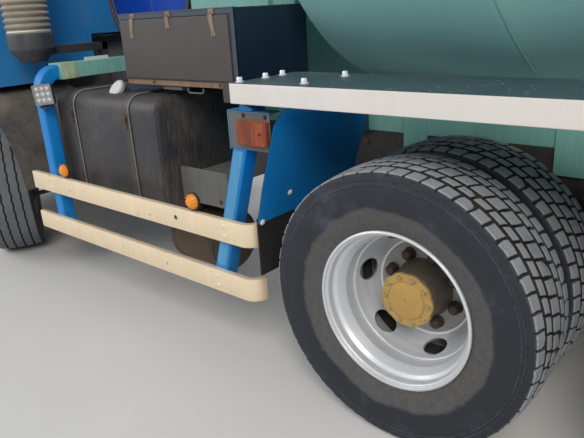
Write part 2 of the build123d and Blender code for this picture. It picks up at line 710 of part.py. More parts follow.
# Front pedestal: two side walls with a folded rear leg and a cradle under the drive
PEDESTAL_Y = 400
PEDESTAL_REAR_X = MID_X + 1045
PEDESTAL_FRONT_X = MID_X + 1860
PEDESTAL_TOP_REAR = 1880
PEDESTAL_TOP_FRONT = 1700
LEG_WIDTH = 190
SHEET = 10
with BuildPart() as front_pedestal:
    with BuildSketch(Plane.XZ.offset(-PEDESTAL_Y)):
        with BuildLine():
            Polyline(
                (PEDESTAL_REAR_X, SUBFRAME_TOP),
                (PEDESTAL_FRONT_X, SUBFRAME_TOP),
                (PEDESTAL_FRONT_X, PEDESTAL_TOP_FRONT),
                (PEDESTAL_REAR_X, PEDESTAL_TOP_REAR),
                close=True,
            )
        make_face()
    extrude(amount=SHEET)
    leg_front = PEDESTAL_REAR_X + LEG_WIDTH
    block(PEDESTAL_REAR_X, PEDESTAL_REAR_X + SHEET, 320, PEDESTAL_Y + 20, SUBFRAME_TOP, PEDESTAL_TOP_REAR - 20)
    block(leg_front - SHEET, leg_front, 320, PEDESTAL_Y + 20, SUBFRAME_TOP, PEDESTAL_TOP_REAR - 60)
    mirror(about=Plane.XZ)
    block(PEDESTAL_REAR_X + 20, PEDESTAL_REAR_X + 30, -PEDESTAL_Y + 5, PEDESTAL_Y - 5, SUBFRAME_TOP, 1500)
    block(PEDESTAL_FRONT_X - 30, PEDESTAL_FRONT_X - 20, -PEDESTAL_Y + 5, PEDESTAL_Y - 5, SUBFRAME_TOP, 1500)
    cradle_start = drum_point(DRIVE_START_S + 80, DRIVE_R)
    cradle_end = drum_point(DRIVE_START_S + 320, DRIVE_R)
    with BuildSketch(Plane.XZ.offset(-PEDESTAL_Y + 5)):
        with BuildLine():
            Polyline(
                (cradle_start[0], cradle_start[2]),
                (cradle_end[0], cradle_end[2]),
                (cradle_end[0], cradle_end[2] - 16),
                (cradle_start[0], cradle_start[2] - 16),
                close=True,
            )
        make_face()
    extrude(amount=2 * PEDESTAL_Y - 10)
front_pedestal.part.label = "front_pedestal"

# Charging hopper with its spout in the drum's mouth, over the collector
HOPPER_TOP = 3700
HOPPER_TOP_HALF = 450
HOPPER_NECK = (MID_X - 3010, MID_X - 2720)
HOPPER_NECK_Z = 3150
LUG_X = MID_X - 2870
COLLECTOR_TOP = 2160
COLLECTOR_REAR_X = MID_X - 3080
COLLECTOR_HALF = 480
OUTLET_Z = 1862


def funnel(top, bottom, wall):
    """Open funnel between two level rectangles, each (x low, x high, half width, z)."""
    for inset, mode in ((0, Mode.ADD), (wall, Mode.SUBTRACT)):
        sections = []
        for x_low, x_high, half, z in (bottom, top):
            with BuildSketch(Plane.XY.offset(z)) as section:
                with Locations(((x_low + x_high) / 2, 0)):
                    Rectangle(x_high - x_low - 2 * inset, 2 * half - 2 * inset)
            sections.append(section.sketch)
        loft(sections=sections, mode=mode)


with BuildPart() as hopper:
    funnel(
        (TAIL_X, MID_X - 2560, HOPPER_TOP_HALF, HOPPER_TOP),
        (*HOPPER_NECK, 220, HOPPER_NECK_Z),
        HOPPER_WALL,
    )
    funnel((*HOPPER_NECK, 220, HOPPER_NECK_Z), (MID_X - 2700, MID_X - 2440, 200, 2860), HOPPER_WALL)
    for side in (-1, 1):
        y_low, y_high = sorted((side * 270, side * 300))
        block(LUG_X - 25, LUG_X + 25, y_low, y_high, FRAME_TOP - 45, FRAME_TOP - 5)
    funnel(
        (COLLECTOR_REAR_X, MID_X - 2700, COLLECTOR_HALF, COLLECTOR_TOP),
        (SWIVEL_X - 130, SWIVEL_X + 130, 170, OUTLET_Z),
        HOPPER_WALL,
    )
    block(COLLECTOR_REAR_X, COLLECTOR_REAR_X + HOPPER_WALL, -COLLECTOR_HALF, COLLECTOR_HALF, COLLECTOR_TOP, 2700)
    for side in (-1, 1):
        y_low, y_high = sorted((side * COLLECTOR_HALF, side * (COLLECTOR_HALF - HOPPER_WALL)))
        block(COLLECTOR_REAR_X, COLLECTOR_REAR_X + 220, y_low, y_high, COLLECTOR_TOP, 2600)
hopper.part.label = "hopper"

# Rear tower: legs, tilted saddles with the roller brackets, and the frame round the mouth
SWIVEL_POST_R = 45
SWIVEL_POST_TOP = 1450
roller_r = TRACK_R + ROLLER_GAP + ROLLER_R
roller_y = roller_r * sin(radians(ROLLER_ANGLE))
roller_drop = roller_r * cos(radians(ROLLER_ANGLE))
saddle_drop = roller_drop + ROLLER_R + 60
tower = drum_point(TRACK_S, saddle_drop)


def across_drum(s):
    """Plane square to the drum's axis at station s: local X is +Y, local Y points up."""
    return Plane(origin=drum_point(s), x_dir=(0, 1, 0), z_dir=(drum_cos, 0, -drum_sin))


with BuildPart() as rear_pedestal:
    with BuildSketch(across_drum(TRACK_S - 130)):
        with Locations((0, -saddle_drop)):
            Rectangle(2 * roller_y + 200, 70)
    extrude(amount=260)
    for face in (-1, 1):
        with BuildSketch(across_drum(TRACK_S + face * (ROLLER_HALF + 4))):
            for side in (-1, 1):
                with Locations((side * roller_y, -roller_drop - 60)):
                    Rectangle(130, 200)
        extrude(amount=16 * face)
    for side in (-1, 1):
        pin_start = drum_point(TRACK_S - ROLLER_HALF - 22, roller_r, side * ROLLER_ANGLE)
        pin_end = drum_point(TRACK_S + ROLLER_HALF + 22, roller_r, side * ROLLER_ANGLE)
        rod(pin_start, pin_end, ROLLER_PIN_R)
        low_y, high_y = sorted((side * (RAIL_Y - SUBFRAME_WIDTH), side * RAIL_Y))
        for leg in (-110, 40):
            block(tower[0] + leg, tower[0] + leg + 70, low_y, high_y, SUBFRAME_TOP, tower[2])
rear_pedestal.part.label = "rear_pedestal"

# Portal that carries the hopper, the collector and the chute
with BuildPart() as hopper_frame:
    for side in (-1, 1):
        with Locations((FRAME_X, side * FRAME_Y, (SUBFRAME_TOP - 95 + FRAME_TOP) / 2)):
            Box(2 * FRAME_HALF, 2 * FRAME_HALF, FRAME_TOP - SUBFRAME_TOP + 95)
    block(FRAME_X - FRAME_HALF, FRAME_X + FRAME_HALF, -FRAME_Y, FRAME_Y, RAIL_TOP + 10, SUBFRAME_TOP - 10)
    block(FRAME_X - FRAME_HALF + 20, FRAME_X + FRAME_HALF, -FRAME_Y, FRAME_Y, FRAME_TOP - 60, FRAME_TOP)
    block(SWIVEL_X - 50, FRAME_X, -60, 60, RAIL_TOP + 20, RAIL_TOP + 80)
    rod((SWIVEL_X, 0, RAIL_TOP + 20), (SWIVEL_X, 0, SWIVEL_POST_TOP), SWIVEL_POST_R)
    for side in (-1, 1):
        arm_y = sorted((side * (FRAME_Y - FRAME_HALF), side * (FRAME_Y + FRAME_HALF)))
        lug_y = sorted((side * (300 + RUNNING_GAP), side * (FRAME_Y + FRAME_HALF)))
        block(LUG_X - 25, FRAME_X, *arm_y, FRAME_TOP - 50, FRAME_TOP)
        block(LUG_X - 25, LUG_X + 25, *lug_y, FRAME_TOP - 50, FRAME_TOP)
        brace_y = sorted((side * (COLLECTOR_HALF + RUNNING_GAP), side * (COLLECTOR_HALF + 20)))
        cross_y = sorted((side * (COLLECTOR_HALF + RUNNING_GAP), side * (FRAME_Y - FRAME_HALF + 5)))
        block(BRACE_X - 25, FRAME_X + FRAME_HALF, *brace_y, COLLECTOR_TOP + 80, COLLECTOR_TOP + 140)
        block(FRAME_X - FRAME_HALF, FRAME_X + FRAME_HALF, *cross_y, COLLECTOR_TOP + 80, COLLECTOR_TOP + 140)
hopper_frame.part.label = "hopper_frame"

with BuildPart() as rear_ladder:
    for stile_x in (FRAME_X, LADDER_FRONT_X):
        rod((stile_x, LADDER_Y, 1150), (stile_x, LADDER_Y, FRAME_TOP - 20), 18)
    for rung in range(8):
        z = 1250 + rung * 280
        rod((FRAME_X, LADDER_Y, z), (LADDER_FRONT_X, LADDER_Y, z), 14)
    for strut_z in (1300, 3100):
        rod((FRAME_X, FRAME_Y + FRAME_HALF, strut_z), (FRAME_X, LADDER_Y, strut_z), 16)
rear_ladder.part.label = "rear_ladder"

# Chute: swivel bracket, main trough and folding extension, stowed to the truck's right
CHUTE_R = 230
CHUTE_WALL = 6
CHUTE_HEAD = 200
CHUTE_LENGTH = 1080
CHUTE_REST = 8  # degrees the trough rises towards its tip at rest
EXTENSION_LENGTH = 560
TILT_Z = 1560
TILT_PIN_R = 15
EAR_HALF = 26
EAR_RISE = 22
TROUGH_Z = 1820  # upper edges of the trough over the swivel axis
EDGE_GAP = 6
SLEEVE_R = 62
chute_cos, chute_sin = cos(radians(CHUTE_REST)), sin(radians(CHUTE_REST))


def chute_plane(reach, height=0.0):
    """Plane square to the stowed trough: local Y is up, origin on its edge line."""
    y = height * chute_sin - reach * chute_cos
    z = TROUGH_Z + reach * chute_sin + height * chute_cos
    return Plane(origin=(SWIVEL_X, y, z), x_dir=(1, 0, 0), z_dir=(0, -chute_cos, chute_sin))


def half_pipe(plane, length, flip):
    """Open half-round trough along a plane's normal."""
    with BuildSketch(plane) as profile:
        with BuildLine() as section:
            low = -1 if flip else 1
            outer, inner = CHUTE_R + CHUTE_WALL, CHUTE_R
            ThreePointArc((-outer, 0), (0, -outer * low), (outer, 0))
            Line((outer, 0), (inner, 0))
            ThreePointArc((inner, 0), (0, -inner * low), (-inner, 0))
            Line((-inner, 0), (-outer, 0))
        make_face(section.edges())
    extrude(profile.sketch, amount=length)


with BuildPart() as main_chute:
    half_pipe(chute_plane(-CHUTE_HEAD), CHUTE_HEAD + CHUTE_LENGTH, flip=False)
    with BuildSketch(Plane.XZ.offset(35)):
        for side in (-1, 1):
            with Locations((SWIVEL_X + side * 120, TILT_Z + 25)):
                Rectangle(20, 130)
    extrude(amount=-70)
    rod((SWIVEL_X - 130, 0, TILT_Z), (SWIVEL_X + 130, 0, TILT_Z), TILT_PIN_R)
main_chute.part.label = "main_chute"

with BuildPart() as chute_extension:
    half_pipe(chute_plane(CHUTE_LENGTH - EXTENSION_LENGTH, EDGE_GAP), EXTENSION_LENGTH, flip=True)
chute_extension.part.label = "chute_extension"

with BuildPart() as chute_swivel:
    rod((SWIVEL_X, 0, 1110), (SWIVEL_X, 0, SWIVEL_POST_TOP + 20), SLEEVE_R)
    rod((SWIVEL_X, 0, 1110), (SWIVEL_X, 0, SWIVEL_POST_TOP + 2), SWIVEL_POST_R + RUNNING_GAP, mode=Mode.SUBTRACT)
    block(SWIVEL_X - 100, SWIVEL_X + 100, -50, 50, SWIVEL_POST_TOP + 10, SWIVEL_POST_TOP + 40)
    for side in (-1, 1):
        x_low, x_high = sorted((SWIVEL_X + side * 85, SWIVEL_X + side * 105))
        block(x_low, x_high, -EAR_HALF, EAR_HALF, SWIVEL_POST_TOP + 20, TILT_Z + EAR_RISE)
    rod((SWIVEL_X - 140, 0, TILT_Z), (SWIVEL_X + 140, 0, TILT_Z), TILT_PIN_R + RUNNING_GAP, mode=Mode.SUBTRACT)
chute_swivel.part.label = "chute_swivel"

# Deck over the rear wheels: aluminium edge and dark top with its outriggers, both sides
DECK_ARMS = (-1965, -675, 600)
with BuildPart() as deck_edges:
    block(DECK_REAR_X, DECK_FRONT_X, HALF_WIDTH - 4, HALF_WIDTH, DECK_TOP - DECK_EDGE, DECK_TOP)
    block(DECK_REAR_X, DECK_FRONT_X, HALF_WIDTH - 45, HALF_WIDTH, DECK_TOP - DECK_EDGE, DECK_TOP - DECK_EDGE + 4)
    mirror(about=Plane.XZ)
deck_edges.part.label = "deck_edges"

with BuildPart() as deck_plates:
    block(DECK_REAR_X, DECK_FRONT_X, DECK_INNER_Y, HALF_WIDTH - 4, DECK_TOP - DECK_SHEET, DECK_TOP)
    block(DECK_REAR_X, DECK_FRONT_X, DECK_INNER_Y, DECK_INNER_Y + DECK_SHEET, DECK_TOP - 60, DECK_TOP)
    for station in DECK_ARMS:
        with BuildSketch(Plane.YZ.offset(MID_X + station)):
            with BuildLine():
                Polyline(
                    (RAIL_Y + 11, RAIL_TOP - 20),
                    (RAIL_Y + 11, SUBFRAME_TOP - 30),
                    (620, 1125),
                    (870, DECK_TOP - DECK_SHEET),
                    (HALF_WIDTH - 6, DECK_TOP - DECK_SHEET),
                    (HALF_WIDTH - 6, DECK_TOP - 60),
                    (900, DECK_TOP - 64),
                    (640, 1050),
                    close=True,
                )
            make_face()
        extrude(amount=50)
    mirror(about=Plane.XZ)
deck_plates.part.label = "deck_plates"

# Blue mudguard sheets before and behind the bogie, with rubber flaps below
FLAP_THICK = 8
GUARD_SHEET = 4
GUARD_INNER_Y = 580
GUARD_OUTLINE = ((441, 1227), (492, 1167), (575, 910), (619, 748))
with BuildPart() as rear_mudguards:
    for turn in (1, -1):
        with BuildSketch(Plane.XZ.offset(-GUARD_Y)):
            with BuildLine():
                pivot = BOGIE_X
                outer = [(pivot + turn * (MID_X + x - pivot), z) for x, z in GUARD_OUTLINE]
                inner = [(x - turn * GUARD_SHEET, z) for x, z in reversed(outer)]
                Polyline(*outer, *inner, close=True)
            make_face()
        extrude(amount=GUARD_Y - GUARD_INNER_Y)
    mirror(about=Plane.XZ)
rear_mudguards.part.label = "rear_mudguards"

with BuildPart() as mud_flaps:
    flap_front = MID_X + GUARD_OUTLINE[-1][0]
    block(flap_front, flap_front + FLAP_THICK, GUARD_INNER_Y, GUARD_Y - 5, 516, 770)
    flap_rear = 2 * BOGIE_X - flap_front
    block(flap_rear - FLAP_THICK, flap_rear, GUARD_INNER_Y, GUARD_Y - 5, 260, 770)
    mirror(about=Plane.XZ)
mud_flaps.part.label = "mud_flaps"

# Side guards: aluminium rails on blue posts
RAIL_BEND = 70
with BuildPart() as guard_rails:
    for level in GUARD_LEVELS:
        with BuildSketch(Plane.XY.offset(level)):
            with BuildLine():
                outer_y, inner_y = GUARD_Y, GUARD_Y - 5
                bend_x = GUARD_REAR_X + RAIL_BEND
                Line((GUARD_FRONT_X, outer_y), (bend_x, outer_y))
                RadiusArc((bend_x, outer_y), (GUARD_REAR_X, outer_y - RAIL_BEND), -RAIL_BEND)
                Line((GUARD_REAR_X, outer_y - RAIL_BEND), (GUARD_REAR_X + 5, outer_y - RAIL_BEND))
                RadiusArc((GUARD_REAR_X + 5, outer_y - RAIL_BEND), (bend_x, inner_y), RAIL_BEND - 5)
                Line((bend_x, inner_y), (GUARD_FRONT_X, inner_y))
                Line((GUARD_FRONT_X, inner_y), (GUARD_FRONT_X, outer_y))
            make_face()
        extrude(amount=GUARD_HEIGHT)
        for edge in (level, level + GUARD_HEIGHT - 4):
            block(bend_x, GUARD_FRONT_X, GUARD_Y - GUARD_THICK, GUARD_Y, edge, edge + 4)
    mirror(about=Plane.XZ)
guard_rails.part.label = "guard_rails"

MARKER_Z = 775
MARKER_R = 40
POST_TOP_Z = 1345
POST_FRONT_X = MID_X + 2320
POST_BEND = 95
LEAN_TOP_X = MID_X + 652
LEAN_FOOT_X = MID_X + 930
BEAM_INNER_Y = 436
LAMP_BACK_Y = GUARD_Y - GUARD_THICK
post_y = GUARD_Y - GUARD_THICK - POST_SIZE / 2
with BuildPart() as guard_posts:
    with BuildLine() as bent:
        axis_z = POST_TOP_Z - POST_SIZE / 2
        Line((POST_FRONT_X, post_y, GUARD_LEVELS[0] + 10), (POST_FRONT_X, post_y, axis_z - POST_BEND))
        centre = (POST_FRONT_X, post_y - POST_BEND, axis_z)
        ThreePointArc(
            (POST_FRONT_X, post_y, axis_z - POST_BEND),
            (POST_FRONT_X, post_y - POST_BEND * (1 - 0.7071), axis_z - POST_BEND * (1 - 0.7071)),
            centre,
        )
    with BuildSketch(Plane.XY.offset(GUARD_LEVELS[0] + 10)):
        with Locations((POST_FRONT_X, post_y)):
            RectangleRounded(POST_SIZE, POST_SIZE, 12)
    sweep(path=bent.wires()[0])
    with BuildSketch(Plane.XZ.offset(-post_y - POST_SIZE / 2)):
        with BuildLine():
            Polyline(
                (LEAN_TOP_X - POST_SIZE / 2, DECK_TOP - DECK_EDGE - 1),
                (LEAN_TOP_X + POST_SIZE / 2, DECK_TOP - DECK_EDGE - 1),
                (LEAN_FOOT_X + POST_SIZE / 2, GUARD_LEVELS[0] + 10),
                (LEAN_FOOT_X - POST_SIZE / 2, GUARD_LEVELS[0] + 10),
                close=True,
            )
        make_face()
    extrude(amount=POST_SIZE)
    block(MID_X + 532, MID_X + 760, GUARD_Y - 90, LAMP_BACK_Y, 1050, 1200)
    mirror(about=Plane.XZ)
guard_posts.part.label = "guard_posts"

# Green beams that carry the front posts
with BuildPart() as post_beams:
    beam_outer_y = post_y - POST_BEND - RUNNING_GAP
    block(POST_FRONT_X - 65, POST_FRONT_X + 65, BEAM_INNER_Y, beam_outer_y, POST_TOP_Z - 80, POST_TOP_Z + 4)
    block(POST_FRONT_X - 65, POST_FRONT_X + 65, BEAM_INNER_Y, BEAM_INNER_Y + 40, RAIL_TOP - 80, POST_TOP_Z - 80)
    mirror(about=Plane.XZ)

with BuildPart() as subframe:
    add(mixer_rails.part)
    add(post_beams.part)
subframe.part.label = "subframe"

# Fuel tank with straps, cap and cradle; air tanks; battery tray; toolbox
with BuildPart() as fuel_tank:
    with BuildSketch(Plane.YZ.offset(TANK_REAR_X)):
        with Locations((TANK_FACE_Y - TANK_DEPTH / 2, TANK_TOP - TANK_HEIGHT / 2)):
            RectangleRounded(TANK_DEPTH, TANK_HEIGHT, TANK_CORNER)
    extrude(amount=TANK_LENGTH)
    for strap_x in (TANK_REAR_X + 222, TANK_REAR_X + 742):
        with BuildSketch(Plane.YZ.offset(strap_x)):
            with Locations((TANK_FACE_Y - TANK_DEPTH / 2, TANK_TOP - TANK_HEIGHT / 2)):
                RectangleRounded(TANK_DEPTH + 10, TANK_HEIGHT + 10, TANK_CORNER + 5)
        extrude(amount=45)
        block(strap_x, strap_x + 45, RAIL_Y + 1, 520, 640, 720)
        block(strap_x, strap_x + 45, RAIL_Y + 1, 520, 880, 960)
    rod((TANK_REAR_X + 447, 968, TANK_TOP - 5), (TANK_REAR_X + 447, 968, TANK_TOP + 45), 48)
fuel_tank.part.label = "fuel_tank"

AIR_TANK_R = 165
AIR_TANK_Z = 405
with BuildPart() as air_tanks:
    rod((MID_X + 1190, 800, AIR_TANK_Z), (MID_X + 1620, 800, AIR_TANK_Z), AIR_TANK_R)
    for bracket_x in (MID_X + 1230, MID_X + 1540):
        block(bracket_x, bracket_x + 40, RAIL_Y + 1, RAIL_Y + 21, AIR_TANK_Z - 20, 780)
        block(bracket_x, bracket_x + 40, RAIL_Y + 1, 700, AIR_TANK_Z - 20, AIR_TANK_Z + 20)
    mirror(about=Plane.XZ)
air_tanks.part.label = "air_tanks"

TRAY_REAR_X = MID_X + 1031
TRAY_FRONT_X = MID_X + 1375
with BuildPart() as battery_trays:
    block(TRAY_REAR_X, TRAY_FRONT_X, 994, 1000, 669, 849)
    block(TRAY_REAR_X, TRAY_FRONT_X, 560, 1000, 790, 796)
    block(TRAY_REAR_X, TRAY_FRONT_X, RAIL_Y + 11, 566, 790, 850)
    mirror(about=Plane.XZ)
battery_trays.part.label = "battery_trays"

box_front_x = BOX_REAR_X + BOX_LENGTH
box_inner_y = BOX_FACE_Y - BOX_DEPTH
box_top = BOX_BOTTOM + BOX_HEIGHT
with BuildPart() as toolbox:
    block(BOX_REAR_X, box_front_x, box_inner_y, BOX_FACE_Y, BOX_BOTTOM, box_top)
    block(
        BOX_REAR_X + BOX_WALL,
        box_front_x - BOX_WALL,
        box_inner_y + BOX_WALL,
        BOX_FACE_Y + 1,
        BOX_BOTTOM + BOX_WALL,
        box_top - BOX_WALL,
        mode=Mode.SUBTRACT,
    )
    for arm_x in (BOX_REAR_X + 120, box_front_x - 170):
        with BuildSketch(Plane.YZ.offset(arm_x)):
            with BuildLine():
                Polyline(
                    (RAIL_Y + 11, RAIL_TOP - 20),
                    (RAIL_Y + 11, BOX_BOTTOM),
                    (BOX_FACE_Y - 20, BOX_BOTTOM),
                    (BOX_FACE_Y - 20, BOX_BOTTOM - 30),
                    (box_inner_y, BOX_BOTTOM - 50),
                    (TANK_FACE_Y - TANK_DEPTH - 10, BOX_BOTTOM - 90),
                    (TANK_FACE_Y - TANK_DEPTH - 10, RAIL_TOP - 20),
                    close=True,
                )
            make_face()
        extrude(amount=50)
toolbox.part.label = "toolbox"

LID_MARGIN = 28
with BuildPart() as toolbox_lid:
    lid_low_x, lid_high_x = BOX_REAR_X + LID_MARGIN, box_front_x - LID_MARGIN / 2
    block(lid_low_x, lid_high_x, BOX_FACE_Y + 1, BOX_FACE_Y + 1 + LID_THICK, BOX_BOTTOM + 8, box_top - 28)
toolbox_lid.part.label = "toolbox_lid"

# Water tank across the frame behind the cab, on its green saddle
WATER_X = MID_X + 2320
WATER_R = 430
WATER_Z = 1750
WATER_HALF = 400
with BuildPart() as water_tank:
    rod((WATER_X, -WATER_HALF, WATER_Z), (WATER_X, WATER_HALF, WATER_Z), WATER_R)
    for side in (-1, 1):
        y_low, y_high = sorted((side * (WATER_HALF - 20), side * (WATER_HALF - 55)))
        block(WATER_X - 260, WATER_X + 260, y_low, y_high, SUBFRAME_TOP, WATER_Z - 300)
water_tank.part.label = "water_tank"

# Air intake: canister, bellows and raised head behind the cab's left corner
INTAKE_X = MID_X + 2790
INTAKE_Y = 950
INTAKE_R = 140
BELLOWS_LOW = 1540
BELLOWS_TOP = 1830
with BuildPart() as air_intake:
    with BuildSketch(Plane.XZ.offset(-INTAKE_Y)):
        with BuildLine():
            folds = []
            fold_count = 8
            pitch = (BELLOWS_TOP - BELLOWS_LOW) / fold_count
            for fold in range(fold_count):
                z = BELLOWS_LOW + fold * pitch
                folds += [(INTAKE_X + INTAKE_R - 18, z), (INTAKE_X + INTAKE_R, z + pitch / 2)]
            Polyline(
                (INTAKE_X, 1340),
                (INTAKE_X + 80, 1345),
                (INTAKE_X + INTAKE_R, 1420),
                (INTAKE_X + INTAKE_R, BELLOWS_LOW - 20),
                *folds,
                (INTAKE_X + INTAKE_R - 18, BELLOWS_TOP),
                (INTAKE_X, BELLOWS_TOP),
                close=True,
            )
        make_face()
    revolve(axis=Axis((INTAKE_X, INTAKE_Y, 0), (0, 0, 1)))
    block(INTAKE_X - 110, INTAKE_X + 110, INTAKE_Y - 130, INTAKE_Y + 130, BELLOWS_TOP, 2760)
    block(INTAKE_X - 30, INTAKE_X + 30, RAIL_Y + 1, INTAKE_Y, 1380, 1430)
    block(INTAKE_X - 30, INTAKE_X + 30, RAIL_Y + 1, RAIL_Y + 40, 930, 1430)
air_intake.part.label = "air_intake"

# Cab: a hollow shell with its windows, wheel arches and engine tunnel cut
CAB_OUTLINE = (
    (CAB_REAR_X, CAB_FLOOR_Z),
    (MID_X + 3945, CAB_FLOOR_Z),
    (MID_X + 3945, BUMPER_TOP + 10),
    (NOSE_X - 60, BUMPER_TOP + 10),
    (NOSE_X - 60, 1900),
    (MID_X + 4400, 2800),
    (MID_X + 4200, CAB_ROOF_Z),
    (CAB_REAR_X, CAB_ROOF_Z),
)
HINGE_Y = CAB_HALF + 12
HINGE_LEVELS = (1420, 1900)
TUNNEL_HALF = 360
TUNNEL_TOP = 1480
FLOOR_Z = 1235


def cab_solid(inset, mode=Mode.ADD):
    """Cab body from its side outline, moved inwards by the inset."""
    with BuildSketch(Plane.XZ.offset(CAB_HALF - inset)) as side_view:
        with BuildLine() as outline:
            Polyline(*CAB_OUTLINE, close=True)
        make_face(outline.edges())
        if inset:
            offset(amount=-inset, kind=Kind.INTERSECTION, mode=Mode.REPLACE)
    extrude(side_view.sketch, amount=-2 * (CAB_HALF - inset), mode=mode)


with BuildPart() as cab_shell:
    cab_solid(0)
    cab_solid(CAB_WALL, mode=Mode.SUBTRACT)
    block(CAB_REAR_X + 10, MID_X + 4500, -TUNNEL_HALF - 40, TUNNEL_HALF + 40, CAB_FLOOR_Z, TUNNEL_TOP + 40)
    block(CAB_REAR_X - 10, MID_X + 4450, -TUNNEL_HALF, TUNNEL_HALF, BUMPER_TOP, TUNNEL_TOP, mode=Mode.SUBTRACT)
    block(MID_X + 4300, NOSE_X, -CAB_HALF + 110, CAB_HALF - 110, 1960, 2740, mode=Mode.SUBTRACT)
    block(CAB_REAR_X - 5, CAB_REAR_X + 60, -700, 700, 2150, 2650, mode=Mode.SUBTRACT)
    block(DOOR_REAR_X, DOOR_FRONT_X, -CAB_HALF - 5, CAB_HALF + 5, DOOR_BOTTOM_Z, DOOR_TOP_Z, mode=Mode.SUBTRACT)
    for side in (-1, 1):
        ear_y = sorted((side * (CAB_HALF + 5), side * (HINGE_Y + 13)))
        foot_y = sorted((side * CAB_HALF, side * (CAB_HALF + 6)))
        for hinge_z in HINGE_LEVELS:
            rod((DOOR_FRONT_X, side * HINGE_Y, hinge_z - 20), (DOOR_FRONT_X, side * HINGE_Y, hinge_z + 110), 5)
            for ear_z in (hinge_z - 20, hinge_z + 92):
                block(DOOR_FRONT_X - 9, DOOR_FRONT_X + 40, *ear_y, ear_z, ear_z + 18)
                block(DOOR_FRONT_X + 4, DOOR_FRONT_X + 40, *foot_y, ear_z, ear_z + 18)
cab_shell.part.label = "cab_shell"

with BuildPart() as cab_glass:
    cab_solid(10)
    cab_solid(10 + GLASS_THICK, mode=Mode.SUBTRACT)
    block(MID_X + 4300, NOSE_X, -CAB_HALF + 110, CAB_HALF - 110, 1960, 2740, mode=Mode.INTERSECT)
    block(CAB_REAR_X + 20, CAB_REAR_X + 20 + GLASS_THICK, -700, 700, 2150, 2650)
cab_glass.part.label = "cab_glass"

doors = []
for side_name, side in STEER_SIDES:
    y_outer = side * CAB_HALF
    y_low, y_high = sorted((y_outer, side * (CAB_HALF - DOOR_THICK)))
    window_low_x, window_high_x = DOOR_REAR_X + 90, DOOR_FRONT_X - 90
    with BuildPart() as door:
        block(
            DOOR_REAR_X + DOOR_GAP,
            DOOR_FRONT_X - DOOR_GAP,
            y_low,
            y_high,
            DOOR_BOTTOM_Z + DOOR_GAP,
            DOOR_TOP_Z - DOOR_GAP,
        )
        block(window_low_x, window_high_x, y_low, y_high, SILL_Z, DOOR_TOP_Z - 90, mode=Mode.SUBTRACT)
        for hinge_z in HINGE_LEVELS:
            strap_y = sorted((side * (CAB_HALF - 5), side * (HINGE_Y + 6)))
            block(DOOR_FRONT_X - 34, DOOR_FRONT_X - 6, *strap_y, hinge_z, hinge_z + 90)
            rod((DOOR_FRONT_X, side * HINGE_Y, hinge_z), (DOOR_FRONT_X, side * HINGE_Y, hinge_z + 90), 10)
            pin_top = (DOOR_FRONT_X, side * HINGE_Y, hinge_z + 91)
            rod((DOOR_FRONT_X, side * HINGE_Y, hinge_z - 1), pin_top, 5 + RUNNING_GAP, mode=Mode.SUBTRACT)
    door.part.label = f"door_{side_name}"
    with BuildPart() as door_glass:
        y_low, y_high = sorted((side * (CAB_HALF - 15), side * (CAB_HALF - 15 - GLASS_THICK)))
        block(window_low_x, window_high_x, y_low, y_high, SILL_Z, DOOR_TOP_Z - 90)
    door_glass.part.label = f"door_glass_{side_name}"
    doors += [door, door_glass]

# Cab interior: two seats on their boxes, dashboard and steering wheel
SEAT_Y = 650
SEAT_WIDTH = 480
with BuildPart() as cab_interior:
    for side in (-1, 1):
        with BuildSketch(Plane.XZ.offset(-side * SEAT_Y - SEAT_WIDTH / 2)):
            with BuildLine():
                Polyline(
                    (MID_X + 3300, FLOOR_Z),
                    (MID_X + 3720, FLOOR_Z),
                    (MID_X + 3720, 1560),
                    (MID_X + 3820, 1690),
                    (MID_X + 3400, 1680),
                    (MID_X + 3290, 2420),
                    (MID_X + 3190, 2420),
                    (MID_X + 3240, 1600),
                    (MID_X + 3300, 1560),
                    close=True,
                )
            make_face()
        extrude(amount=SEAT_WIDTH)
    with BuildSketch(Plane.XZ.offset(CAB_HALF - CAB_WALL - 5)):
        with BuildLine():
            Polyline(
                (MID_X + 4250, 1700),
                (MID_X + 4600, 1545),
                (MID_X + 4640, 1880),
                (MID_X + 4300, 1930),
                close=True,
            )
        make_face()
    extrude(amount=-2 * (CAB_HALF - CAB_WALL - 5))
    rod((MID_X + 4300, 620, 1780), (MID_X + 4120, 620, 1900), 35)
    with Locations(Plane(origin=(MID_X + 4110, 620, 1905), z_dir=(-180, 0, 120))):
        Torus(225, 16)
        Cylinder(60, 24)
        Box(430, 40, 14)
cab_interior.part.label = "cab_interior"

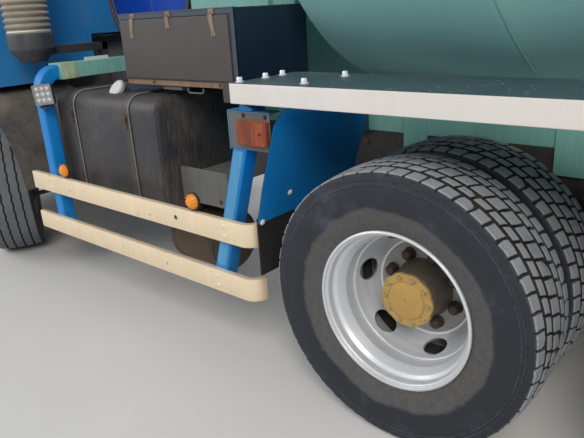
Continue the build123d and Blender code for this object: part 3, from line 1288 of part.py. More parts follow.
# Bumper with entry steps, grille, lamps, mirrors and front mudguards
STEP_REAR_X = MID_X + 3965
STEP_RECESSES = ((480, 690), (740, 940))
LAMP_INNER_Y = 780
LAMP_WIDTH = 330
LAMP_Z = 620
LAMP_HEIGHT = 170
TOW_R = 21
TOW_DEPTH = 70
TOW_Z = 520
with BuildPart() as front_bumper:
    block(NOSE_X - 260, NOSE_X, -HALF_WIDTH, HALF_WIDTH, BUMPER_BOTTOM, BUMPER_TOP)
    vertical = front_bumper.edges().filter_by(Axis.Z).group_by(Axis.X)[-1]
    fillet(vertical, 130)
    for side in (-1, 1):
        y_low, y_high = sorted((side * 560, side * HALF_WIDTH))
        block(STEP_REAR_X, NOSE_X - 200, y_low, y_high, BUMPER_BOTTOM, BUMPER_TOP)
        y_low, y_high = sorted((side * 1000, side * (HALF_WIDTH + 10)))
        for step_low, step_high in STEP_RECESSES:
            block(STEP_REAR_X + 60, MID_X + 4400, y_low, y_high, step_low, step_high, mode=Mode.SUBTRACT)
        y_low, y_high = sorted((side * LAMP_INNER_Y, side * (LAMP_INNER_Y + LAMP_WIDTH)))
        block(NOSE_X - 45, NOSE_X + 5, y_low, y_high, LAMP_Z, LAMP_Z + LAMP_HEIGHT, mode=Mode.SUBTRACT)
    block(NOSE_X - 250, NOSE_X - 12, -520, 520, BUMPER_TOP - 210, BUMPER_TOP - 40, mode=Mode.SUBTRACT)
    rod((NOSE_X - TOW_DEPTH, 0, TOW_Z), (NOSE_X + 1, 0, TOW_Z), TOW_R, mode=Mode.SUBTRACT)
    block(NOSE_X - 350, NOSE_X - 255, -RAIL_Y, RAIL_Y, BUMPER_BOTTOM + 220, RAIL_TOP - RAIL_HEIGHT)
front_bumper.part.label = "front_bumper"

with BuildPart() as grille:
    for row in range(6):
        z = 1060 + row * 120
        block(NOSE_X - 60, NOSE_X - 22, -800, 800, z, z + 75)
    for side in (-1, 0, 1):
        block(NOSE_X - 60, NOSE_X - 40, side * 780 - 10, side * 780 + 10, 1060, 1735)
grille.part.label = "grille"

with BuildPart() as lamps_clear:
    for side in (-1, 1):
        y_low, y_high = sorted((side * (LAMP_INNER_Y + 1), side * (LAMP_INNER_Y + LAMP_WIDTH - 1)))
        block(NOSE_X - 44.7, NOSE_X - 6, y_low, y_high, LAMP_Z + 1, LAMP_Z + LAMP_HEIGHT - 1)
        lamp_y = side * (post_y + POST_SIZE / 2 + 25)
        with Locations((POST_FRONT_X - 95, lamp_y, 1205)):
            Box(112, 45, 112)
        y_low, y_high = sorted((side * (post_y - 10), side * (post_y + POST_SIZE / 2 + 20)))
        block(POST_FRONT_X - 60, POST_FRONT_X - POST_SIZE / 2, y_low, y_high, 1120, 1150)
lamps_clear.part.label = "lamps_clear"

with BuildPart() as lamps_amber:
    for station in (2150, 1035):
        start = (MID_X + station, GUARD_Y - GUARD_THICK, MARKER_Z)
        rod(start, (MID_X + station, GUARD_Y + 14, MARKER_Z), MARKER_R)
        rail_top = GUARD_LEVELS[1] + GUARD_HEIGHT
        block(start[0] - 22, start[0] + 22, start[1], start[1] + 12, rail_top, MARKER_Z - 25)
    block(MID_X + 535, MID_X + 692, LAMP_BACK_Y, GUARD_Y + 14, 1076, 1170)
    mirror(about=Plane.XZ)
lamps_amber.part.label = "lamps_amber"

with BuildPart() as lamps_red:
    block(UNDERRUN_X - 95, UNDERRUN_X - 50, UNDERRUN_HALF - 430, UNDERRUN_HALF - 20, UNDERRUN_Z + 5, UNDERRUN_Z + 95)
    mirror(about=Plane.XZ)
lamps_red.part.label = "lamps_red"

MIRROR_X = MID_X + 4470
MIRROR_OUTER_Y = CAB_HALF + 290
MIRROR_Z = 2330
MIRROR_HEIGHT = 520
MIRROR_BASE_X = DOOR_FRONT_X + 42
with BuildPart() as mirrors:
    with Locations((MIRROR_X, MIRROR_OUTER_Y - 115, MIRROR_Z)):
        Box(90, 230, MIRROR_HEIGHT)
    fillet(mirrors.edges(), 30)
    for arm_z in (MIRROR_Z - 310, MIRROR_Z + 310):
        block(MIRROR_BASE_X, MIRROR_BASE_X + 58, CAB_HALF, CAB_HALF + 12, arm_z - 30, arm_z + 30)
        rod((MIRROR_BASE_X + 28, CAB_HALF + 10, arm_z), (MIRROR_X, MIRROR_OUTER_Y - 115, arm_z), 14)
    rod((MIRROR_X, MIRROR_OUTER_Y - 115, MIRROR_Z - 330), (MIRROR_X, MIRROR_OUTER_Y - 115, MIRROR_Z + 330), 18)
    mirror(about=Plane.XZ)
mirrors.part.label = "mirrors"

ARCH_R = 640
ARCH_INNER_Y = 570
ARCH_SHEET = 5
with BuildPart() as front_mudguards:
    with BuildSketch(Plane.XZ.offset(-GUARD_Y)):
        with Locations((FRONT_X, TYRE_R)):
            Circle(ARCH_R + ARCH_SHEET)
            Circle(ARCH_R, mode=Mode.SUBTRACT)
        with Locations((FRONT_X, TYRE_R - 350)):
            Rectangle(3 * ARCH_R, 800, mode=Mode.SUBTRACT)
    extrude(amount=GUARD_Y - ARCH_INNER_Y)
    block(MID_X + 2745, MID_X + 2775, RAIL_Y + 1, ARCH_INNER_Y + 60, 880, 920)
    mirror(about=Plane.XZ)
front_mudguards.part.label = "front_mudguards"

# Export each finished piece
pieces = [chassis_frame, subframe, axles, suspension, engine]
pieces += steered + [track_rod] + duals
pieces += [drum, drum_cone] + rollers + [drum_drive, front_pedestal, rear_pedestal, hopper_frame, rear_ladder, hopper]
pieces += [main_chute, chute_extension, chute_swivel, deck_edges, deck_plates]
pieces += [rear_mudguards, mud_flaps, guard_rails, guard_posts]
pieces += [fuel_tank, air_tanks, battery_trays, toolbox, toolbox_lid, water_tank, air_intake]
pieces += [cab_shell, cab_glass] + doors + [cab_interior, front_bumper, grille, lamps_clear]
pieces += [lamps_amber, lamps_red, mirrors, front_mudguards]
os.makedirs("parts", exist_ok=True)
for piece in pieces:
    export_step(piece.part, f"parts/{piece.part.label}.step")
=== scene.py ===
"""Looks of a three-axle concrete mixer truck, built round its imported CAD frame.

Metres, in the frame of the CAD model: +X forward, +Y to the truck's left, +Z up, with
the origin on the ground under the middle of the overall box.
"""

import json
import logging
import math
import random
from dataclasses import dataclass, field
from enum import Enum

import bmesh
import bpy
from mathutils import Matrix, Vector

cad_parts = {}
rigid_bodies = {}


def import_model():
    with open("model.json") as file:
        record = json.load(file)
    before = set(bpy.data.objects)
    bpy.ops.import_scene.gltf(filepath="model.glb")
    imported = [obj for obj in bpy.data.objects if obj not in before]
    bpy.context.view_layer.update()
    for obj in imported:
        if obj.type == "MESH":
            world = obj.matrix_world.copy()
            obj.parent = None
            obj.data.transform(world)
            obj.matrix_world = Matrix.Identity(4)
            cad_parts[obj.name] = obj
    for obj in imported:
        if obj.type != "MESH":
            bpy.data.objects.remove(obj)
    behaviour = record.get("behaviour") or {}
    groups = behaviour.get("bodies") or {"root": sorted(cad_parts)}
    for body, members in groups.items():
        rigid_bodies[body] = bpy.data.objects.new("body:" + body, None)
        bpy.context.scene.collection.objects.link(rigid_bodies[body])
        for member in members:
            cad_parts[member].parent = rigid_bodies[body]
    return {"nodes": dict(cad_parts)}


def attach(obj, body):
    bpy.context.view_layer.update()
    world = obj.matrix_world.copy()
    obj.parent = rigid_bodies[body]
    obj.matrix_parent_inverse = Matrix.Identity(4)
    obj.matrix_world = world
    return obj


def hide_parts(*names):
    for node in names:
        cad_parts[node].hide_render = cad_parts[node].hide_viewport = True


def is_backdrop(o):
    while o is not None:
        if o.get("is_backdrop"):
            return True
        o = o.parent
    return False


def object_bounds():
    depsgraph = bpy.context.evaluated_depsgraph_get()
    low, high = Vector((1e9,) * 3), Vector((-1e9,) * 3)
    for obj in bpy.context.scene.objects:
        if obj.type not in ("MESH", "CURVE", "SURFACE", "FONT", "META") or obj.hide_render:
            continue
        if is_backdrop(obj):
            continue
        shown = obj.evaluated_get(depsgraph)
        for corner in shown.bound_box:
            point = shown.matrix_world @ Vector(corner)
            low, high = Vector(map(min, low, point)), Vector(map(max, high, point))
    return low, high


LOG = logging.getLogger("mixer_truck")

Point = tuple[float, float, float]
Pair = tuple[float, float]
Colour = tuple[float, float, float]

# Stations that several sub-assemblies share
MID_X = -0.750
BACK_X = MID_X - 1.350
FRONT_X = MID_X + 3.300
NOSE_X = 4.000
AXLE_Z = 0.530
STEER_REST = math.radians(-28)


def linear(red: int, green: int, blue: int) -> Colour:
    """Turn a screen colour into the linear one that shaders use.

    Args:
        red: Red from 0 to 255.
        green: Green from 0 to 255.
        blue: Blue from 0 to 255.

    Returns:
        The linear colour.
    """

    def channel(value: int) -> float:
        """Linear value of one channel."""
        share = value / 255
        return share / 12.92 if share <= 0.04045 else ((share + 0.055) / 1.055) ** 2.4

    return (channel(red), channel(green), channel(blue))


# --------------------------------------------------------------------------- finishes


class Tree:
    """Small helper that adds and links shader nodes."""

    def __init__(self, tree: bpy.types.NodeTree) -> None:
        """Keep the tree that the nodes go into."""
        self.tree = tree

    def add(self, kind: str, **values: object) -> bpy.types.Node:
        """Add a node.

        Args:
            kind: Blender's name of the node type, without the ShaderNode prefix.
            **values: Properties to set on the node.

        Returns:
            The new node.
        """
        node = self.tree.nodes.new("ShaderNode" + kind)
        for key, value in values.items():
            setattr(node, key, value)
        return node

    def put(self, socket: bpy.types.NodeSocket, value: object) -> None:
        """Link a socket to another one, or set its value.

        Args:
            socket: The input to feed.
            value: An output socket, a number, a colour or a vector.
        """
        if isinstance(value, bpy.types.NodeSocket):
            self.tree.links.new(value, socket)
        elif isinstance(value, tuple) and len(value) == 3 and socket.type == "RGBA":
            socket.default_value = (*value, 1.0)
        else:
            socket.default_value = value

    def math(self, operation: str, *values: object, clamp: bool = False) -> bpy.types.NodeSocket:
        """Combine numbers with a Math node.

        Args:
            operation: Blender's name of the operation.
            *values: Up to three numbers or sockets.
            clamp: Whether the result stays between 0 and 1.

        Returns:
            The result's socket.
        """
        node = self.add("Math", operation=operation, use_clamp=clamp)
        for index, value in enumerate(values):
            self.put(node.inputs[index], value)
        return node.outputs[0]

    def mix(self, share: object, first: object, second: object) -> bpy.types.NodeSocket:
        """Blend two colours.

        Args:
            share: How much of the second colour shows.
            first: The colour below.
            second: The colour on top.

        Returns:
            The blended colour's socket.
        """
        node = self.add("Mix", data_type="RGBA")
        self.put(node.inputs[0], share)
        self.put(node.inputs[6], first)
        self.put(node.inputs[7], second)
        return node.outputs[2]

    def noise(
        self, vector: object, scale: object, detail: float = 4, rough: float = 0.55
    ) -> bpy.types.NodeSocket:
        """Add a noise texture.

        Args:
            vector: Coordinates to read it at.
            scale: Noise scale.
            detail: Number of octaves.
            rough: Roughness of the octaves.

        Returns:
            The noise value's socket.
        """
        node = self.add("TexNoise")
        self.put(node.inputs["Vector"], vector)
        self.put(node.inputs["Scale"], scale)
        node.inputs["Detail"].default_value = detail
        node.inputs["Roughness"].default_value = rough
        return node.outputs["Fac"]

    def ramp(self, value: object, low: object, high: object) -> bpy.types.NodeSocket:
        """Map a value smoothly to 0 below one edge and 1 above the other.

        Args:
            value: The number to map.
            low: Where the result is 0.
            high: Where the result is 1.

        Returns:
            The mapped value's socket.
        """
        node = self.add("MapRange", interpolation_type="SMOOTHSTEP")
        self.put(node.inputs["Value"], value)
        self.put(node.inputs["From Min"], low)
        self.put(node.inputs["From Max"], high)
        return node.outputs["Result"]

    def stretch(self, vector: object, factors: Point) -> bpy.types.NodeSocket:
        """Scale coordinates by a factor along each axis.

        Args:
            vector: Coordinates to scale.
            factors: Factor along X, Y and Z.

        Returns:
            The scaled coordinates' socket.
        """
        node = self.add("VectorMath", operation="MULTIPLY")
        self.put(node.inputs[0], vector)
        node.inputs[1].default_value = factors
        return node.outputs[0]


class Effect(Enum):
    """Surface effects that are shared as node groups."""

    MOTTLE = "Mottle"
    DUST = "Road dust"
    STREAKS = "Running streaks"
    SPOTS = "Cement spots"
    RUST = "Rust bloom"
    WEAR = "Edge wear"
    GRAIN = "Fine relief"


class EffectShelf:
    """Builds each shared node group once and hands it out."""

    def __init__(self) -> None:
        """Start with no group built."""
        self.groups: dict[Effect, bpy.types.NodeTree] = {}

    def get(self, effect: Effect) -> bpy.types.NodeTree:
        """Return an effect's node group, building it at first use.

        Args:
            effect: The effect wanted.

        Returns:
            Its node group.
        """
        if effect not in self.groups:
            makers = {
                Effect.MOTTLE: self._mottle,
                Effect.DUST: self._dust,
                Effect.STREAKS: self._streaks,
                Effect.SPOTS: self._spots,
                Effect.RUST: self._rust,
                Effect.WEAR: self._wear,
                Effect.GRAIN: self._grain,
            }
            self.groups[effect] = makers[effect]()
        return self.groups[effect]

    @staticmethod
    def _start(
        name: str, inputs: list[tuple[str, str, object]], outputs: list[tuple[str, str]]
    ) -> tuple[Tree, bpy.types.Node, bpy.types.Node]:
        """Create a group with its sockets.

        Args:
            name: Name of the group.
            inputs: Name, kind and default of each input.
            outputs: Name and kind of each output.

        Returns:
            The tree helper, the input node and the output node.
        """
        group = bpy.data.node_groups.new(name, "ShaderNodeTree")
        for label, kind, value in inputs:
            socket = group.interface.new_socket(label, in_out="INPUT", socket_type="NodeSocket" + kind)
            socket.default_value = (*value, 1.0) if kind == "Color" else value
        for label, kind in outputs:
            group.interface.new_socket(label, in_out="OUTPUT", socket_type="NodeSocket" + kind)
        tree = Tree(group)
        start = group.nodes.new("NodeGroupInput")
        end = group.nodes.new("NodeGroupOutput")
        return tree, start, end

    def _mottle(self) -> bpy.types.NodeTree:
        """Slow change of tone over a large surface."""
        tree, start, end = self._start(
            Effect.MOTTLE.value,
            [("Color", "Color", (0.5, 0.5, 0.5)), ("Amount", "Float", 0.2), ("Scale", "Float", 2.0)],
            [("Color", "Color")],
        )
        place = tree.add("TexCoord").outputs["Object"]
        slow = tree.noise(place, start.outputs["Scale"], 5, 0.6)
        swing = tree.math("SUBTRACT", slow, 0.5)
        gain = tree.math("MULTIPLY_ADD", swing, tree.math("MULTIPLY", start.outputs["Amount"], 3.0), 1.0)
        node = tree.add("VectorMath", operation="SCALE")
        tree.put(node.inputs[0], start.outputs["Color"])
        tree.put(node.inputs["Scale"], gain)
        tree.put(end.inputs["Color"], node.outputs[0])
        return tree.tree

    def _dust(self) -> bpy.types.NodeTree:
        """Dust that lies on level faces and is thrown up from the road."""
        tree, start, end = self._start(
            Effect.DUST.value,
            [
                ("Color", "Color", (0.5, 0.5, 0.5)),
                ("Dust", "Color", (0.3, 0.27, 0.22)),
                ("Amount", "Float", 0.3),
                ("Splash Height", "Float", 1.0),
                ("Scale", "Float", 6.0),
            ],
            [("Color", "Color"), ("Mask", "Float")],
        )
        place = tree.add("TexCoord").outputs["Object"]
        parts = tree.add("SeparateXYZ")
        tree.put(parts.inputs[0], place)
        facing = tree.add("SeparateXYZ")
        tree.put(facing.inputs[0], tree.add("NewGeometry").outputs["Normal"])
        level = tree.ramp(facing.outputs["Z"], 0.45, 0.98)
        splash = tree.ramp(parts.outputs["Z"], start.outputs["Splash Height"], 0.1)
        cloud = tree.noise(place, start.outputs["Scale"], 6, 0.65)
        fine = tree.noise(place, tree.math("MULTIPLY", start.outputs["Scale"], 14.0), 3, 0.6)
        patchy = tree.ramp(
            tree.math("MULTIPLY_ADD", fine, 0.35, tree.math("MULTIPLY", cloud, 0.75)), 0.3, 0.72
        )
        lying = tree.math("MULTIPLY_ADD", level, 0.8, tree.math("MULTIPLY", splash, 0.75))
        film = tree.math("ADD", lying, 0.18)
        mask = tree.math("MULTIPLY", tree.math("MULTIPLY", film, patchy), start.outputs["Amount"], clamp=True)
        tree.put(end.inputs["Color"], tree.mix(mask, start.outputs["Color"], start.outputs["Dust"]))
        tree.put(end.inputs["Mask"], mask)
        return tree.tree

    def _streaks(self) -> bpy.types.NodeTree:
        """Stains that have run down an upright face."""
        tree, start, end = self._start(
            Effect.STREAKS.value,
            [
                ("Color", "Color", (0.5, 0.5, 0.5)),
                ("Stain", "Color", (0.2, 0.15, 0.1)),
                ("Amount", "Float", 0.3),
                ("Scale", "Float", 18.0),
            ],
            [("Color", "Color"), ("Mask", "Float")],
        )
        place = tree.add("TexCoord").outputs["Object"]
        run = tree.stretch(place, (1.0, 1.0, 0.07))
        lines = tree.noise(run, start.outputs["Scale"], 5, 0.7)
        fade = tree.noise(place, 2.6, 3, 0.5)
        facing = tree.add("SeparateXYZ")
        tree.put(facing.inputs[0], tree.add("NewGeometry").outputs["Normal"])
        upright = tree.ramp(tree.math("ABSOLUTE", facing.outputs["Z"]), 0.9, 0.4)
        drips = tree.ramp(tree.math("MULTIPLY_ADD", fade, 0.5, tree.math("MULTIPLY", lines, 0.8)), 0.58, 0.82)
        mask = tree.math(
            "MULTIPLY", tree.math("MULTIPLY", drips, upright), start.outputs["Amount"], clamp=True
        )
        tree.put(end.inputs["Color"], tree.mix(mask, start.outputs["Color"], start.outputs["Stain"]))
        tree.put(end.inputs["Mask"], mask)
        return tree.tree

    def _spots(self) -> bpy.types.NodeTree:
        """Dried splashes and drops of cement."""
        tree, start, end = self._start(
            Effect.SPOTS.value,
            [
                ("Color", "Color", (0.5, 0.5, 0.5)),
                ("Cement", "Color", (0.45, 0.44, 0.41)),
                ("Amount", "Float", 0.3),
                ("Scale", "Float", 60.0),
            ],
            [("Color", "Color"), ("Mask", "Float")],
        )
        place = tree.add("TexCoord").outputs["Object"]
        cells = tree.add("TexVoronoi", feature="F1")
        tree.put(cells.inputs["Vector"], place)
        tree.put(cells.inputs["Scale"], start.outputs["Scale"])
        chance = tree.add("SeparateColor")
        tree.put(chance.inputs[0], cells.outputs["Color"])
        patch = tree.noise(place, 1.7, 3, 0.5)
        bar = tree.math(
            "SUBTRACT", 1.05,
            tree.math("MULTIPLY", start.outputs["Amount"], tree.math("MULTIPLY", patch, 1.2))
        )
        chosen = tree.math("GREATER_THAN", chance.outputs[0], bar)
        size = tree.math("MULTIPLY_ADD", chance.outputs[1], 0.25, 0.08)
        dot = tree.ramp(cells.outputs["Distance"], size, tree.math("MULTIPLY", size, 0.7))
        mask = tree.math("MULTIPLY", tree.math("MULTIPLY", chosen, dot), 0.85, clamp=True)
        tree.put(end.inputs["Color"], tree.mix(mask, start.outputs["Color"], start.outputs["Cement"]))
        tree.put(end.inputs["Mask"], mask)
        return tree.tree

    def _rust(self) -> bpy.types.NodeTree:
        """Patches of brown rust with a broken edge."""
        tree, start, end = self._start(
            Effect.RUST.value,
            [
                ("Color", "Color", (0.5, 0.5, 0.5)),
                ("Rust", "Color", (0.18, 0.07, 0.03)),
                ("Amount", "Float", 0.3),
                ("Scale", "Float", 12.0),
            ],
            [("Color", "Color"), ("Mask", "Float")],
        )
        place = tree.add("TexCoord").outputs["Object"]
        cloud = tree.noise(place, start.outputs["Scale"], 9, 0.68)
        bar = tree.math("SUBTRACT", 0.78, tree.math("MULTIPLY", start.outputs["Amount"], 0.45))
        mask = tree.ramp(cloud, bar, tree.math("ADD", bar, 0.1))
        shade = tree.noise(place, tree.math("MULTIPLY", start.outputs["Scale"], 5.0), 4, 0.6)
        deep = tree.mix(tree.ramp(shade, 0.3, 0.7), start.outputs["Rust"], (0.05, 0.03, 0.02))
        tree.put(end.inputs["Color"], tree.mix(mask, start.outputs["Color"], deep))
        tree.put(end.inputs["Mask"], mask)
        return tree.tree

    def _wear(self) -> bpy.types.NodeTree:
        """Paint rubbed off along the edges, with the edges softened; on the deck edge strip and the tank
        straps the same mask lays painted highlights.
        """
        tree, start, end = self._start(
            Effect.WEAR.value,
            [
                ("Color", "Color", (0.5, 0.5, 0.5)),
                ("Bare", "Color", (0.3, 0.3, 0.3)),
                ("Amount", "Float", 0.3),
                ("Radius", "Float", 0.004),
            ],
            [("Color", "Color"), ("Mask", "Float"), ("Normal", "Vector")],
        )
        soft = tree.add("Bevel", samples=4)
        tree.put(soft.inputs["Radius"], start.outputs["Radius"])
        dot = tree.add("VectorMath", operation="DOT_PRODUCT")
        tree.put(dot.inputs[0], soft.outputs[0])
        tree.put(dot.inputs[1], tree.add("NewGeometry").outputs["Normal"])
        edge = tree.math("SUBTRACT", 1.0, dot.outputs["Value"])
        place = tree.add("TexCoord").outputs["Object"]
        broken = tree.noise(place, 38.0, 6, 0.7)
        reach = tree.math("MULTIPLY", edge, tree.math("MULTIPLY_ADD", broken, 2.4, -0.35))
        bar = tree.math("SUBTRACT", 0.3, tree.math("MULTIPLY", start.outputs["Amount"], 0.26))
        mask = tree.ramp(reach, bar, tree.math("ADD", bar, 0.03))
        tree.put(end.inputs["Color"], tree.mix(mask, start.outputs["Color"], start.outputs["Bare"]))
        tree.put(end.inputs["Mask"], mask)
        tree.put(end.inputs["Normal"], soft.outputs[0])
        return tree.tree

    def _grain(self) -> bpy.types.NodeTree:
        """Height of a fine uneven skin over a slow dent."""
        tree, start, end = self._start(
            Effect.GRAIN.value,
            [("Scale", "Float", 200.0), ("Dents", "Float", 0.0)],
            [("Height", "Float")],
        )
        place = tree.add("TexCoord").outputs["Object"]
        fine = tree.noise(place, start.outputs["Scale"], 3, 0.6)
        slow = tree.noise(place, 4.5, 2, 0.45)
        tree.put(end.inputs["Height"], tree.math("MULTIPLY_ADD", slow, start.outputs["Dents"], fine))
        return tree.tree


SHELF = EffectShelf()
DUST_COLOUR = linear(150, 138, 120)
MUD_COLOUR = linear(112, 98, 80)
CEMENT_COLOUR = linear(176, 172, 160)
RUST_COLOUR = linear(112, 62, 34)


def new_material(name: str) -> tuple[bpy.types.Material, Tree, bpy.types.Node]:
    """Start a material that is built from nodes.

    Args:
        name: Name of the material.

    Returns:
        The material, its node tree and its shader.
    """
    material = bpy.data.materials.new(name)
    material.use_nodes = True
    return material, Tree(material.node_tree), material.node_tree.nodes["Principled BSDF"]


@dataclass(frozen=True)
class Finish:
    """Opaque surface made of one base colour and shared effects laid over it.

    An effect whose amount is 0 is left out.
    """

    name: str
    slot: str
    colour: Colour
    roughness: float = 0.5
    metallic: float = 0.0
    coat: float = 0.0
    mottle: float = 0.08
    mottle_scale: float = 2.5
    rust: float = 0.0
    rust_scale: float = 14.0
    rust_colour: Colour = RUST_COLOUR
    streaks: float = 0.0
    streak_colour: Colour = MUD_COLOUR
    streak_scale: float = 30.0
    spots: float = 0.0
    wear: float = 0.0
    wear_radius: float = 0.004
    # Colour laid by the edge mask: bare metal, and on the deck edge strip and tank straps a painted
    # highlight.
    bare: Colour = (0.22, 0.21, 0.2)
    dust: float = 0.25
    dust_colour: Colour = DUST_COLOUR
    splash_height: float = 1.1
    grain: float = 0.05
    grain_scale: float = 220.0
    grain_depth: float = 0.002
    dents: float = 0.0

    def material(self) -> bpy.types.Material:
        """Return the finish's material, building it at first use.

        Returns:
            The material.
        """
        found = bpy.data.materials.get(self.name)
        if found:
            return found
        material, tree, shader = new_material(self.name)
        shader.inputs["IOR"].default_value = 1.45
        shader.inputs["Coat Weight"].default_value = self.coat
        shader.inputs["Coat Roughness"].default_value = 0.08
        colour, matt, metal, normal = self._layers(tree)
        tree.put(shader.inputs["Base Color"], colour)
        tree.put(shader.inputs["Roughness"], matt)
        tree.put(shader.inputs["Metallic"], metal)
        if self.grain:
            relief = tree.add("Group")
            relief.node_tree = SHELF.get(Effect.GRAIN)
            relief.inputs["Scale"].default_value = self.grain_scale
            relief.inputs["Dents"].default_value = self.dents
            bump = tree.add("Bump")
            bump.inputs["Strength"].default_value = min(1.0, self.grain)
            bump.inputs["Distance"].default_value = self.grain_depth
            tree.put(bump.inputs["Height"], relief.outputs["Height"])
            if normal is not None:
                tree.put(bump.inputs["Normal"], normal)
            normal = bump.outputs[0]
        if normal is not None:
            tree.put(shader.inputs["Normal"], normal)
        material.diffuse_color = (*self.colour, 1.0)
        return material

    def _layers(self, tree: Tree) -> tuple[object, object, object, object]:
        """Stack the effects from the base colour outwards.

        Args:
            tree: Helper for the material's nodes.

        Returns:
            Colour, roughness, metallic share and normal, each a socket or a value.
        """
        colour: object = self.colour
        matt: object = self.roughness
        metal: object = self.metallic
        normal: object = None
        plan = (
            (Effect.MOTTLE, self.mottle, None, None, {"Scale": self.mottle_scale}, None),
            (Effect.WEAR, self.wear, "Bare", self.bare, {"Radius": self.wear_radius}, 0.45),
            (Effect.RUST, self.rust, "Rust", self.rust_colour, {"Scale": self.rust_scale}, 0.9),
            (Effect.STREAKS, self.streaks, "Stain", self.streak_colour, {"Scale": self.streak_scale}, 0.8),
            (Effect.SPOTS, self.spots, "Cement", CEMENT_COLOUR, {}, 0.95),
            (
                Effect.DUST,
                self.dust,
                "Dust",
                self.dust_colour,
                {"Splash Height": self.splash_height},
                0.95,
            ),
        )
        for effect, amount, label, tint, numbers, worn_matt in plan:
            if not amount:
                continue
            layer = tree.add("Group")
            layer.node_tree = SHELF.get(effect)
            tree.put(layer.inputs["Color"], colour)
            tree.put(layer.inputs["Amount"], amount)
            if label:
                tree.put(layer.inputs[label], tint)
            for key, value in numbers.items():
                layer.inputs[key].default_value = value
            colour = layer.outputs["Color"]
            if worn_matt is not None:
                mask = layer.outputs["Mask"]
                blend = tree.add("Mix", data_type="FLOAT")
                tree.put(blend.inputs[0], mask)
                tree.put(blend.inputs[2], matt)
                tree.put(blend.inputs[3], worn_matt)
                matt = blend.outputs[0]
                if self.metallic and effect is not Effect.WEAR:
                    metal = tree.math("MULTIPLY", metal, tree.math("SUBTRACT", 1.0, mask))
            if effect is Effect.WEAR:
                normal = layer.outputs["Normal"]
        return colour, matt, metal, normal


@dataclass(frozen=True)
class GlassFinish:
    """Clear or tinted glass."""

    name: str
    slot: str
    colour: Colour
    roughness: float = 0.03
    transmission: float = 0.92

    def material(self) -> bpy.types.Material:
        """Return the glass material, building it at first use."""
        found = bpy.data.materials.get(self.name)
        if found:
            return found
        material, tree, shader = new_material(self.name)
        shader.inputs["IOR"].default_value = 1.45
        shader.inputs["Transmission Weight"].default_value = self.transmission
        shader.inputs["Roughness"].default_value = self.roughness
        film = tree.add("Group")
        film.node_tree = SHELF.get(Effect.MOTTLE)
        tree.put(film.inputs["Color"], self.colour)
        film.inputs["Amount"].default_value = 0.04
        tree.put(shader.inputs["Base Color"], film.outputs["Color"])
        material.diffuse_color = (*self.colour, 0.4)
        return material


AnyFinish = Finish | GlassFinish


